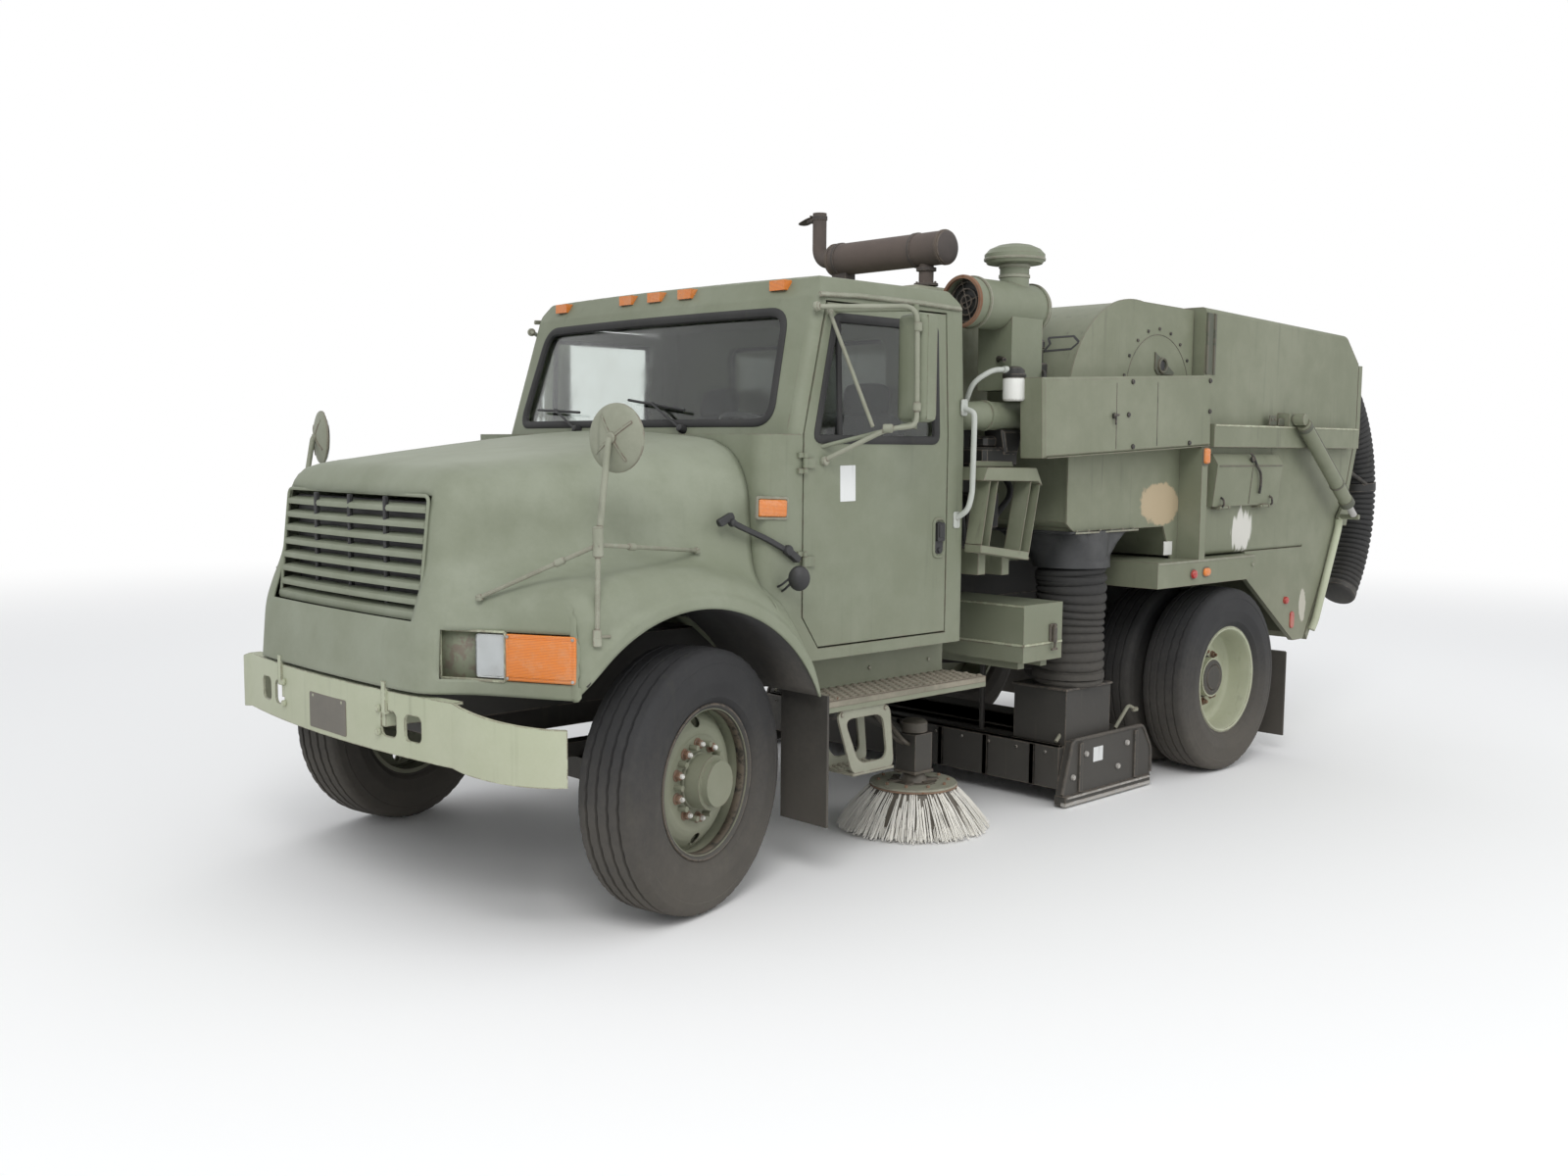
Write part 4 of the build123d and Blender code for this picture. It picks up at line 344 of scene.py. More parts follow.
def noise(tree, coordinates, scale, detail=4.0, roughness=0.6, stretch=None):
    """Fractal noise at a scale in waves per metre, stretched if asked by a factor for each axis."""
    if stretch:
        coordinates = node(tree, "Mapping", {"Vector": coordinates, "Scale": stretch}).outputs[0]
    made = node(tree, "TexNoise", {"Vector": coordinates, "Scale": scale, "Detail": detail,
        "Roughness": roughness})
    return made.outputs["Fac"]


def between(tree, value, low, high, to_low=0.0, to_high=1.0):
    """The value taken from the range low to high onto the range to_low to to_high, smoothly, and held
    there."""
    made = node(tree, "MapRange", {"Value": value, "From Min": low, "From Max": high, "To Min": to_low,
        "To Max": to_high}, interpolation_type="SMOOTHSTEP")
    return made.outputs["Result"]


def maths(tree, operation, a, b=0.0, clamp=False):
    return node(tree, "Math", {0: a, 1: b}, operation=operation, use_clamp=clamp).outputs[0]


def plus(tree, a, b, clamp=False):
    return maths(tree, "ADD", a, b, clamp)


def minus(tree, a, b):
    return maths(tree, "SUBTRACT", a, b)


def times(tree, a, b, clamp=False):
    return maths(tree, "MULTIPLY", a, b, clamp)


def place_in(tree):
    """A point's place in metres, in the truck's frame."""
    return node(tree, "TexCoord").outputs["Object"]


def feed(tree, receiver, name, value):
    """Joins an output to the named input of another node."""
    tree.links.new(value, receiver.inputs[name])


def mixed(tree, factor, a, b):
    """Colour a where the factor is 0, colour b where it is 1."""
    made = node(tree, "Mix", {0: factor, 6: a, 7: b}, data_type="RGBA")
    return made.outputs[2]


def effect(name, inputs, outputs):
    """A shader node group with its sockets; returns the tree, its input node and its output node."""
    tree = bpy.data.node_groups.new(name, "ShaderNodeTree")
    for label, kind, value in inputs:
        socket = tree.interface.new_socket(label, in_out="INPUT", socket_type=kind)
        socket.default_value = value
    for label, kind in outputs:
        tree.interface.new_socket(label, in_out="OUTPUT", socket_type=kind)
    return tree, tree.nodes.new("NodeGroupInput"), tree.nodes.new("NodeGroupOutput")


NUMBER, COLOUR = "NodeSocketFloat", "NodeSocketColor"


def make_mottle():
    """Cloudy blend of a paint and its faded tone, with fine grain: large, middle and small noise added up."""
    tree, given, out = effect("mottle", [("Paint", COLOUR, (0.2, 0.2, 0.1, 1)),
        ("Faded", COLOUR, (0.4, 0.4, 0.3, 1)), ("Fade", NUMBER, 0.4), ("Scale", NUMBER, 1.0)],
        [("Color", COLOUR), ("Height", NUMBER)])
    place = place_in(tree)
    scaled = node(tree, "VectorMath", {0: place, "Scale": given.outputs["Scale"]}, operation="SCALE")
    clouds = noise(tree, scaled.outputs[0], 1.3, 6, 0.65)
    patches = noise(tree, scaled.outputs[0], 6.0, 5, 0.6)
    grain = noise(tree, scaled.outputs[0], 90.0, 3, 0.6)
    total = plus(tree, times(tree, clouds, 0.6), times(tree, patches, 0.4))
    spread = between(tree, total, 0.38, 0.66)
    factor = times(tree, spread, given.outputs["Fade"])
    factor = plus(tree, factor, times(tree, minus(tree, grain, 0.5), 0.25), clamp=True)
    feed(tree, out, "Color", mixed(tree, factor, given.outputs["Paint"], given.outputs["Faded"]))
    feed(tree, out, "Height", plus(tree, times(tree, patches, 0.6), times(tree, grain, 0.4)))
    return tree


def make_edge_wear():
    """A mask that is 1 on worn edges: where a rounded normal differs from the real one, broken up by
    noise."""
    tree, given, out = effect("edge_wear", [("Width", NUMBER, 0.01), ("Amount", NUMBER, 0.5)],
        [("Mask", NUMBER)])
    rounded = node(tree, "Bevel", {"Radius": given.outputs["Width"]}, samples=4).outputs[0]
    normal = node(tree, "NewGeometry").outputs["Normal"]
    likeness = node(tree, "VectorMath", {0: rounded, 1: normal}, operation="DOT_PRODUCT").outputs["Value"]
    place = place_in(tree)
    broken = noise(tree, place, 22.0, 5, 0.7)
    edge = between(tree, likeness, 0.99, 0.9)
    kept = between(tree, plus(tree, broken, times(tree, given.outputs["Amount"], 0.35)), 0.52, 0.66)
    feed(tree, out, "Mask", times(tree, edge, kept, clamp=True))
    return tree


def make_road_dirt():
    """A mask for dust and mud: strong near the ground, fading out at a height, patchy throughout."""
    tree, given, out = effect("road_dirt",
        [("Low", NUMBER, 0.2), ("High", NUMBER, 1.2), ("Amount", NUMBER, 0.6)], [("Mask", NUMBER)])
    place = place_in(tree)
    height = node(tree, "SeparateXYZ", {0: place}).outputs["Z"]
    low = node(tree, "MapRange", {"Value": height, "From Min": given.outputs["High"],
        "From Max": given.outputs["Low"]}).outputs["Result"]
    patches = noise(tree, place, 3.5, 6, 0.7)
    specks = noise(tree, place, 40.0, 4, 0.7)
    cover = plus(tree, times(tree, low, 0.75), times(tree, patches, 0.45))
    cover = plus(tree, cover, times(tree, specks, 0.25))
    mask = times(tree, between(tree, cover, 0.35, 1.15), given.outputs["Amount"], clamp=True)
    feed(tree, out, "Mask", mask)
    return tree


def make_streaks():
    """A mask of rain runs: noise that is fine across and long in height, kept where a second noise allows."""
    tree, given, out = effect("rain_streaks", [("Amount", NUMBER, 0.4)], [("Mask", NUMBER)])
    place = place_in(tree)
    runs = noise(tree, place, 26.0, 3, 0.55, stretch=(1, 1, 0.05))
    where = noise(tree, place, 2.2, 3, 0.5)
    mask = times(tree, between(tree, runs, 0.56, 0.74), between(tree, where, 0.42, 0.62))
    feed(tree, out, "Mask", times(tree, mask, given.outputs["Amount"], clamp=True))
    return tree


def make_rust():
    """Rust spots and their colour: noise cut at a level, dark brown in the middle and orange at the rim."""
    tree, given, out = effect("rust", [("Amount", NUMBER, 0.3), ("Scale", NUMBER, 9.0)],
        [("Mask", NUMBER), ("Color", COLOUR)])
    place = place_in(tree)
    made = node(tree, "TexNoise", {"Vector": place, "Scale": given.outputs["Scale"], "Detail": 8.0,
        "Roughness": 0.72}).outputs["Fac"]
    level = minus(tree, 0.82, times(tree, given.outputs["Amount"], 0.45))
    raised = minus(tree, made, level)
    feed(tree, out, "Mask", between(tree, raised, 0.0, 0.035))
    tones = noise(tree, place, 60.0, 4, 0.7)
    colour = mixed(tree, between(tree, tones, 0.35, 0.65), (0.045, 0.018, 0.01, 1), (0.23, 0.085, 0.028, 1))
    feed(tree, out, "Color", colour)
    return tree


MOTTLE, EDGE_WEAR, ROAD_DIRT, STREAKS, RUST = (make_mottle(), make_edge_wear(), make_road_dirt(),
    make_streaks(), make_rust())


def use(tree, group, **values):
    """The node group placed in a material with its own values, given by name with _ for a space."""
    made = node(tree, "Group", node_tree=group)
    for key, value in values.items():
        socket = made.inputs[key.replace("_", " ")]
        if isinstance(value, bpy.types.NodeSocket):
            tree.links.new(value, socket)
        else:
            socket.default_value = value
    return made.outputs


def new_material(name):
    material = bpy.data.materials.new(name)
    material.use_nodes = True
    tree = material.node_tree
    return material, tree, tree.nodes["Principled BSDF"]


def bump(tree, height, strength, distance):
    return node(tree, "Bump", {"Height": height, "Strength": strength, "Distance": distance}).outputs[0]


def painted(name, paint, faded, fade=0.4, scale=1.0, wear=0.4, wear_width=0.008, under=(0.16, 0.13, 0.1, 1),
        streaks=0.3, streak_colour=(0.05, 0.05, 0.035, 1), dirt=0.4, dirt_low=0.2, dirt_high=1.3,
        dirt_colour=(0.3, 0.26, 0.2, 1), rust=0.15, rust_scale=9.0, rough=0.6, relief=0.12):
    """Old paint on metal: mottled and faded, runs of dirty rain, dust from the road, worn edges and rust."""
    material, tree, shader = new_material(name)
    mottle = use(tree, MOTTLE, Paint=paint, Faded=faded, Fade=fade, Scale=scale)
    colour = mixed(tree, use(tree, STREAKS, Amount=streaks)["Mask"], mottle["Color"], streak_colour)
    dust = use(tree, ROAD_DIRT, Low=dirt_low, High=dirt_high, Amount=dirt)["Mask"]
    colour = mixed(tree, dust, colour, dirt_colour)
    worn = use(tree, EDGE_WEAR, Width=wear_width, Amount=wear)["Mask"]
    if wear:
        colour = mixed(tree, worn, colour, under)
    spots = use(tree, RUST, Amount=rust, Scale=rust_scale)
    colour = mixed(tree, spots["Mask"], colour, spots["Color"])
    feed(tree, shader, "Base Color", colour)
    roughness = plus(tree, times(tree, mottle["Height"], 0.25), rough - 0.12)
    roughness = plus(tree, roughness, times(tree, dust, 0.25), clamp=True)
    feed(tree, shader, "Roughness", roughness)
    height = minus(tree, mottle["Height"], times(tree, spots["Mask"], 0.5))
    feed(tree, shader, "Normal", bump(tree, height, relief, 0.004))
    return material


def body_paint(name):
    """The duller olive of the hopper, the blower housing and the parts around them."""
    return painted(name, (0.165, 0.178, 0.118, 1), (0.255, 0.265, 0.195, 1), fade=0.5, streaks=0.3,
        dirt=0.3, rust=0.12)


olive = painted("olive_paint", (0.168, 0.185, 0.124, 1), (0.25, 0.27, 0.205, 1), fade=0.45, streaks=0.15,
    dirt=0.25, rust=0.05, wear=0.2)
hood_olive = painted("hood_paint", (0.192, 0.211, 0.146, 1), (0.284, 0.306, 0.236, 1), fade=0.6, scale=0.8,
    streaks=0.05, dirt=0.12, rust=0.0, wear=0.0)
body_olive = body_paint("body_olive_paint")
pale_green = painted("pale_green_paint", (0.4, 0.43, 0.3, 1), (0.52, 0.54, 0.42, 1), streaks=0.2, rust=0.12,
    dirt=0.25)
frame_black = painted("frame_black_paint", (0.02, 0.02, 0.019, 1), (0.05, 0.048, 0.044, 1), rust=0.25,
    dirt=0.12)
head_black = painted("head_black_paint", (0.018, 0.018, 0.018, 1), (0.042, 0.041, 0.038, 1), rust=0.2,
    dirt=0.1)
rusty = painted("rusty_iron", (0.085, 0.07, 0.062, 1), (0.13, 0.1, 0.085, 1), fade=0.9, rust=0.25,
    rough=0.85, dirt=0.0)
rust_iron = painted("heavy_rust", (0.16, 0.075, 0.04, 1), (0.28, 0.16, 0.1, 1), fade=0.9, rust=0.5,
    rough=0.9, dirt=0.2)
white_paint = painted("white_paint", (0.72, 0.72, 0.68, 1), (0.6, 0.59, 0.54, 1), fade=0.4, rust=0.05,
    dirt=0.2)
steel = painted("bare_steel", (0.42, 0.41, 0.39, 1), (0.3, 0.29, 0.27, 1), rust=0.1, rough=0.45, dirt=0.2)
rubber = painted("black_rubber", (0.018, 0.018, 0.018, 1), (0.05, 0.049, 0.047, 1), wear=0.0, rust=0.0,
    dirt=0.2, rough=0.75)
tyre = painted("tyre_rubber", (0.02, 0.02, 0.021, 1), (0.05, 0.05, 0.05, 1), wear=0.0, rust=0.0, dirt=0.24,
    dirt_low=0.0, dirt_high=0.9, rough=0.85)
black_plastic = painted("black_plastic", (0.02, 0.02, 0.021, 1), (0.045, 0.045, 0.045, 1), wear=0.0,
    rust=0.0, rough=0.55)
seat_cloth = painted("seat_cloth", (0.03, 0.03, 0.032, 1), (0.06, 0.058, 0.056, 1), wear=0.0, rust=0.0,
    dirt=0.1, rough=0.85)
bristle = painted("white_bristle", (0.88, 0.86, 0.8, 1), (0.74, 0.71, 0.63, 1), wear=0.0, rust=0.0,
    dirt=0.12, streaks=0.0, dirt_low=0.0, dirt_high=0.3)
chrome = painted("mirror_chrome", (0.72, 0.74, 0.76, 1), (0.6, 0.62, 0.63, 1), wear=0.0, rust=0.0,
    dirt=0.05, streaks=0.0, rough=0.16, relief=0.0)
chrome.node_tree.nodes["Principled BSDF"].inputs["Metallic"].default_value = 1.0


def glass_material(name, colour, rough, dust):
    """Thin glass with a film of dust: transmission with a plain weight, noise on its roughness and its
    colour."""
    material, tree, shader = new_material(name)
    place = place_in(tree)
    film = between(tree, noise(tree, place, 5.0, 6, 0.7), 0.35, 0.75, 0.0, dust)
    feed(tree, shader, "Base Color", mixed(tree, film, colour, (0.55, 0.53, 0.48, 1)))
    feed(tree, shader, "Roughness", plus(tree, film, rough))
    shader.inputs["Transmission Weight"].default_value = 1.0
    shader.inputs["IOR"].default_value = 1.45
    return material


window = glass_material("window_glass", (0.8, 0.84, 0.82, 1), 0.02, 0.12)
lamp_glass = glass_material("lamp_glass", (0.9, 0.91, 0.9, 1), 0.06, 0.25)


def lens_material(name, colour, deep):
    """Moulded lens: fine ribs across it, a darker tone in the grooves and a clear coat."""
    material, tree, shader = new_material(name)
    place = place_in(tree)
    ribs = node(tree, "TexWave", {"Vector": place, "Scale": 60.0, "Distortion": 0.4}, bands_direction="Z")
    dust = between(tree, noise(tree, place, 9.0, 5, 0.7), 0.4, 0.8, 0.0, 0.35)
    tone = mixed(tree, ribs.outputs["Fac"], deep, colour)
    feed(tree, shader, "Base Color", mixed(tree, dust, tone, (0.45, 0.36, 0.24, 1)))
    feed(tree, shader, "Roughness", plus(tree, dust, 0.18))
    feed(tree, shader, "Normal", bump(tree, ribs.outputs["Fac"], 0.4, 0.002))
    shader.inputs["Coat Weight"].default_value = 0.5
    return material


amber = lens_material("amber_lens", (0.8, 0.24, 0.02, 1), (0.5, 0.12, 0.01, 1))
red = lens_material("red_lens", (0.5, 0.02, 0.015, 1), (0.28, 0.01, 0.01, 1))


def stained(material, centre, size, colour, ragged=0.5, streaky=False):
    """A stain on a painted material: inside an ellipsoid whose edge is broken up by noise, or by upright
    runs."""
    tree = material.node_tree
    shader = tree.nodes["Principled BSDF"]
    place = place_in(tree)
    away = node(tree, "Mapping", {"Vector": place, "Location": centre, "Scale": size},
        vector_type="TEXTURE").outputs[0]
    distance = node(tree, "VectorMath", {0: away}, operation="LENGTH").outputs["Value"]
    broken = noise(tree, place, 24.0 if streaky else 9.0, 5, 0.65, stretch=(1, 1, 0.08) if streaky
        else None)
    total = plus(tree, distance, times(tree, minus(tree, broken, 0.5), ragged * 4))
    mask = between(tree, total, 1.02, 0.86)
    before = shader.inputs["Base Color"].links[0].from_socket
    feed(tree, shader, "Base Color", mixed(tree, mask, before, colour))


hopper_olive = body_paint("hopper_paint")
stained(hopper_olive, (1.15, FRONT_AXLE_Y + 4.01, 1.325), (0.05, 0.105, 0.125), (0.58, 0.57, 0.52, 1), 0.45,
    True)
stained(hopper_olive, (1.15, FRONT_AXLE_Y + 4.78, 0.86), (0.05, 0.045, 0.1), (0.45, 0.43, 0.36, 1), 0.3)
blower_olive = body_paint("blower_paint")
stained(blower_olive, (1.085, FRONT_AXLE_Y + 3.27, 1.5), (0.05, 0.22, 0.115), (0.42, 0.335, 0.215, 1), 0.25)


def both(*names):
    """The names of the left and the right piece, for each name."""
    return tuple((name + side for name in names for side in ("_left", "_right")))


CAD_FINISHES = {olive: both("cab_door", "rim_front") + ("hood", "cab_shell", "cab_steps", "tool_box",
    "tool_box_cover", "engine_cowl", "air_cleaner"), hopper_olive: ("hopper",),
    blower_olive: ("blower_housing",), body_olive: both("inspection_door", "cylinder_barrel")
    + ("dump_door", "belt_guard", "rear_fenders"), pale_green: both("rims_rear") + ("bumper", "grille"),
    frame_black: both("knuckle", "broom_arm") + ("frame_rails", "front_axle", "rear_axle", "leaf_springs",
    "engine", "fuel_tank", "aux_engine", "tie_rod"), head_black: ("pickup_head",), rusty: ("exhaust",),
    steel: both("cylinder_rod"), rubber: ("mudflaps", "hose_transitions", "rear_hose", "head_hoses"),
    tyre: both("tyre_front", "tyres_rear"), black_plastic: ("dashboard", "fender_mirrors"),
    seat_cloth: ("seats",), bristle: both("broom"), window: both("door_glass") + ("cab_glazing",),
    lamp_glass: ("headlamps",), amber: ("turn_lamps", "roof_markers")}
for material, names in CAD_FINISHES.items():
    for name in names:
        for material_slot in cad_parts[name].material_slots:
            material_slot.material = material


# Hood and fenders as one moulded skin: a soft meeting of a few simple forms, found along rows of seeds
ARCH_RADIUS = 0.67
HOOD_TOP = ((-0.9, 1.674), (-0.6, 1.728), (-0.3, 1.768), (0.0, 1.806), (0.25, 1.836), (0.4, 1.85),
    (0.45, 1.853))
FENDER_TOP = ((-0.90, 1.130), (-0.83, 1.165), (-0.75, 1.222), (-0.66, 1.278), (-0.50, 1.325), (-0.33, 1.346),
              (-0.15, 1.353), (0.0, 1.350), (0.15, 1.330), (0.30, 1.286), (0.42, 1.212), (0.52, 1.112),
              (0.60, 0.985), (0.642, 0.86), (0.66, 0.70))
LAMP_START = np.array([0.677, -0.80])
LAMP_ALONG = np.array([0.473, 0.256]) / math.hypot(0.473, 0.256)
LAMP_NORMAL = np.array([LAMP_ALONG[1], -LAMP_ALONG[0]])
REAR_EDGE, FRONT_SECTION = 0.415, -0.55
ROWS = (5, 6, 5, 8, 7, 8, 9)
STARTS = np.concatenate([[0], np.cumsum(ROWS)])
COLUMNS = (9, 14, 4, 3, 12)
COLUMN_STARTS = np.concatenate([[0], np.cumsum(COLUMNS)])
ROW_TILT = np.radians(np.interp(np.arange(STARTS[-1] + 1), STARTS, (0, 0, 0, 62, 50, 12, 48, 90)))


def soft_curve(points, spread):
    """A curve through points, its corners averaged out over a short stretch; returns it as a function."""
    points = np.array(points)
    fine = np.linspace(points[0, 0], points[-1, 0], 500)
    value = np.interp(fine, points[:, 0], points[:, 1])
    half = max(1, int(spread / (fine[1] - fine[0])))
    window = np.hanning(2 * half + 3)[1:-1]
    lead = value[0] - (value[1] - value[0]) * np.arange(half, 0, -1)
    tail = value[-1] + (value[-1] - value[-2]) * np.arange(1, half + 1)
    smooth = np.convolve(np.concatenate([lead, value, tail]), window / window.sum(), mode="valid")
    return lambda at: np.interp(at, fine, smooth[:len(fine)])


hood_top = soft_curve(HOOD_TOP, 0.08)
fender_top = soft_curve(FENDER_TOP, 0.05)


def nested(width, height, radius, rings):
    """Rounded rectangles one inside another as rows of one grid; rings lists how far in and at what
    height."""
    rows = []
    for into, z in rings:
        outline = rounded_rectangle(width - 2 * into, height - 2 * into, max(radius - into, 0.002), 4)
        rows.append(np.column_stack([outline, np.full(len(outline), z)]))
    return np.stack(rows)[::-1]


def soft_max(a, b, width):
    """The larger of two values, rounded off where they are within the width of each other."""
    near = np.maximum(width - np.abs(a - b), 0) / width
    return np.maximum(a, b) + near * near * width / 4


def hood_side(l, z):
    return 0.64 + 0.345 * np.clip((l + 0.82) / 1.22, 0, 1.1) ** 0.9 - 0.07 * (z - 1.35)


def crown(x):
    """How far the hood's front falls back from its middle line at a distance x from it."""
    return 0.02 * (x / 0.6) ** 2


def front_face(z):
    return -0.787 - (1.598 - z) * 0.1076


def hood_form(p):
    """Below 0 inside the hood: a tapering nose and a fender, each a soft meeting of its sides, and a soft
    hollow between them. l runs from the front axle towards the rear."""
    x, l, z = p[..., 0], p[..., 1], p[..., 2]
    top = z - (hood_top(l) - 0.04 * (x / 0.8) ** 2)
    side = x - hood_side(l, z)
    front = front_face(z) - l + crown(x)
    shoulder = 0.12 + 0.13 * np.clip((l + 0.8) / 0.55, 0, 1)
    nose = soft_max(soft_max(top, side, shoulder), front, 0.1)
    out = np.hypot(l, z - AXLE_Z) - ARCH_RADIUS
    flank = x - (1.168 + 0.016 * (1 - np.clip((out - 0.045) / 0.02, 0, 1)))
    crest = 0.92 * (z - (fender_top(l) - 0.03 * np.clip((x - 0.75) / 0.4, 0, 1.2) ** 2))
    lamp = LAMP_NORMAL[0] * (x - LAMP_START[0]) + LAMP_NORMAL[1] * (l - LAMP_START[1])
    fender = soft_max(soft_max(flank, soft_max(lamp, front, 0.05), 0.07), crest, 0.12)
    return -soft_max(-nose, -fender, 0.17)


def cast(seeds, directions, reach=0.4):
    """Seeds moved along their directions to where the form is 0, found by halving the stretch again and
    again."""
    low = np.full(seeds.shape[:-1], -reach)
    high = np.full(seeds.shape[:-1], reach)
    for _ in range(26):
        middle = (low + high) / 2
        inside = hood_form(seeds + middle[..., None] * directions) < 0
        low = np.where(inside, middle, low)
        high = np.where(inside, high, middle)
    return seeds + ((low + high) / 2)[..., None] * directions


def filled(corners, steps):
    """Points between given corners, each an array of rows; steps counts the points from one corner to the
    next."""
    runs = [a + (b - a) * (np.arange(n) / n)[:, None, None] for a, b, n in zip(corners, corners[1:], steps)]
    return np.concatenate(runs + [corners[-1][None]])


def direction(azimuth, elevation):
    return np.stack([np.cos(azimuth) * np.cos(elevation), -np.sin(azimuth) * np.cos(elevation),
        np.sin(elevation)], axis=-1)


def section(l, bottom):
    """Seeds of cross-sections: from the lower edge over the fender and the hollow to the middle of the
    top."""
    crest, side, top = fender_top(l), hood_side(l, 1.45), hood_top(l)
    tall = crest - bottom

    def at(x, z):
        return np.stack([x + 0 * l, l, z + 0 * l], axis=-1)
    return filled([at(1.184, bottom), at(1.184, bottom + np.minimum(0.062, 0.35 * tall)),
        at(1.168, crest - np.minimum(0.09, 0.4 * tall)), at(1.085, crest - 0.008),
        at(side + 0.04, crest + 0.012), at(side - 0.005, top - 0.24), at(side - 0.12, top - 0.045),
        at(0.0, top)], ROWS)


def top_patch(columns=44):
    l = np.linspace(REAR_EDGE, FRONT_SECTION, columns)
    seeds = section(l, AXLE_Z + np.sqrt(ARCH_RADIUS ** 2 - l ** 2))
    tilt = np.broadcast_to(ROW_TILT[:, None], seeds.shape[:2])
    return cast(seeds, direction(np.zeros_like(tilt), tilt))


def front_patch():
    """Round the front: columns run from the section ahead of the wheel past the lamp and the grille to
    the middle."""
    l = np.array([FRONT_SECTION])
    side = section(l, AXLE_Z + np.sqrt(ARCH_RADIUS ** 2 - l ** 2))[:, 0]
    row = np.arange(len(side))
    lamp_z = np.interp(row, STARTS, (0.9, 0.955, 1.13, 1.21, 1.29, 1.4, 1.6, 1.7))
    face_z = np.interp(row, STARTS, (0.9, 0.955, 1.13, 1.15, 1.3, 1.45, 1.6, 1.75))
    rise = np.clip((row - STARTS[2]) / (STARTS[5] - STARTS[2]), 0, 1)
    over = np.clip((row - STARTS[6]) / (len(row) - 1 - STARTS[6]), 0, 1) * math.pi / 2
    pole = side[-1]

    def lamp_column(distance, back):
        place = LAMP_START + LAMP_ALONG * distance
        x = place[0] + (hood_side(back, 1.4) - place[0]) * np.minimum(rise * 1.6, 1)
        y = place[1] + (back - place[1]) * np.minimum(rise * 1.6, 1)
        return np.stack([x, y, lamp_z], axis=-1)

    def face_column(x):
        return np.stack([x + 0 * face_z, front_face(face_z), face_z], axis=-1)
    corners = [side, lamp_column(0.532, -0.62), lamp_column(0.012, -0.73), face_column(0.625),
        face_column(0.565), face_column(0.0)]
    for i in range(1, 6):
        base = corners[i][STARTS[6]]
        bow = 0.05 * np.sin(2 * over)[:, None] * np.array([0, -0.4, 1.0])
        arc = pole + (base - pole) * np.stack([np.cos(over), np.cos(over), 1 - np.sin(over)], axis=-1) + bow
        corners[i] = np.where((over > 0)[:, None], arc, corners[i])
    seeds = filled(corners, COLUMNS).transpose(1, 0, 2)
    column = np.arange(seeds.shape[1])
    lamp_turn = math.atan2(-LAMP_NORMAL[1], LAMP_NORMAL[0])
    azimuth = np.interp(column, COLUMN_STARTS, (0, lamp_turn, lamp_turn, 1.35, math.pi / 2, math.pi / 2))
    back_turn = np.interp(column, COLUMN_STARTS, (0, 0.25, 0.5, 1.2, math.pi / 2, math.pi / 2))
    azimuth = azimuth[None] * (1 - rise[:, None]) + back_turn[None] * rise[:, None]
    front_tilt = np.radians(np.interp(row, STARTS, (0, 0, 0, 0, 0, 0, 0, 90)))
    lamp_tilt = np.radians(np.interp(row, STARTS, (0, 0, 0, 62, 50, 12, 30, 90)))
    blend = np.interp(column, COLUMN_STARTS, (0, 0, 0, 1, 1, 1))[None]
    fall = np.interp(column, COLUMN_STARTS, (0, 1, 1, 1, 1, 1))[None]
    tilt = (ROW_TILT[:, None] * (1 - fall) + lamp_tilt[:, None] * fall) * (1 - blend) + front_tilt[:,
        None] * blend
    return cast(seeds, direction(azimuth, tilt))


def tail_patch(columns=18):
    """Behind the wheel: from the arch's edge out over the crest and in to the cab's side."""
    a = np.linspace(math.acos(REAR_EDGE / ARCH_RADIUS), math.radians(24), columns)
    arch = np.stack([ARCH_RADIUS * np.cos(a), AXLE_Z + ARCH_RADIUS * np.sin(a)], axis=-1)
    outer_l = np.linspace(REAR_EDGE, 0.651, columns)
    outer = np.stack([outer_l, fender_top(outer_l)], axis=-1)
    outer[:, 1] = np.maximum(outer[:, 1], arch[:, 1] + 0.002)
    away = outer - arch
    tall = np.linalg.norm(away, axis=1)
    away /= tall[:, None]

    def at(x, distance):
        place = arch + away * distance[:, None]
        return np.stack([x + 0 * distance, place[:, 0], place[:, 1]], axis=-1)
    seeds = filled([at(1.184, 0 * tall), at(1.184, np.minimum(0.062, 0.35 * tall)),
        at(1.168, tall - np.minimum(0.09, 0.4 * tall)), at(1.085, tall - 0.008), at(1.046, tall)],
        (5, 6, 6, 4))
    tilt = np.radians(np.interp(np.arange(len(seeds)), (0, 5, 11, 17, 21), (0, 0, 0, 62, 80)))[:, None]
    across = np.cos(tilt) + 0 * tall
    towards = np.stack([across, np.sin(tilt) * away[:, 0], np.sin(tilt) * away[:, 1]], axis=-1)
    return cast(seeds, towards, 0.25)[:, ::-1]


def hood_shape():
    """The patches joined, with the lamp opening and the grille opening left out of the front one."""
    front = front_patch()
    rows, columns = front.shape[:2]
    faces = sheet_faces(rows, columns)
    row, column = faces[:, 0] // columns, faces[:, 0] % columns
    lamp = (row >= STARTS[1]) & (row < STARTS[2]) & (column >= COLUMN_STARTS[1]) & (
        column < COLUMN_STARTS[2])
    opening = (row >= STARTS[3]) & (row < STARTS[6]) & (column >= COLUMN_STARTS[4])
    half = joined([sheet_shape(top_patch()), (front.reshape(-1, 3), [faces[~(lamp | opening)]]),
        sheet_shape(tail_patch())])
    return from_axle(welded(on_both_sides(half)))


hood_skin = thicken(add_piece("hood_skin", hood_shape(), hood_olive, "hood", "olive_paint", 50), 0.009)
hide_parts("hood")

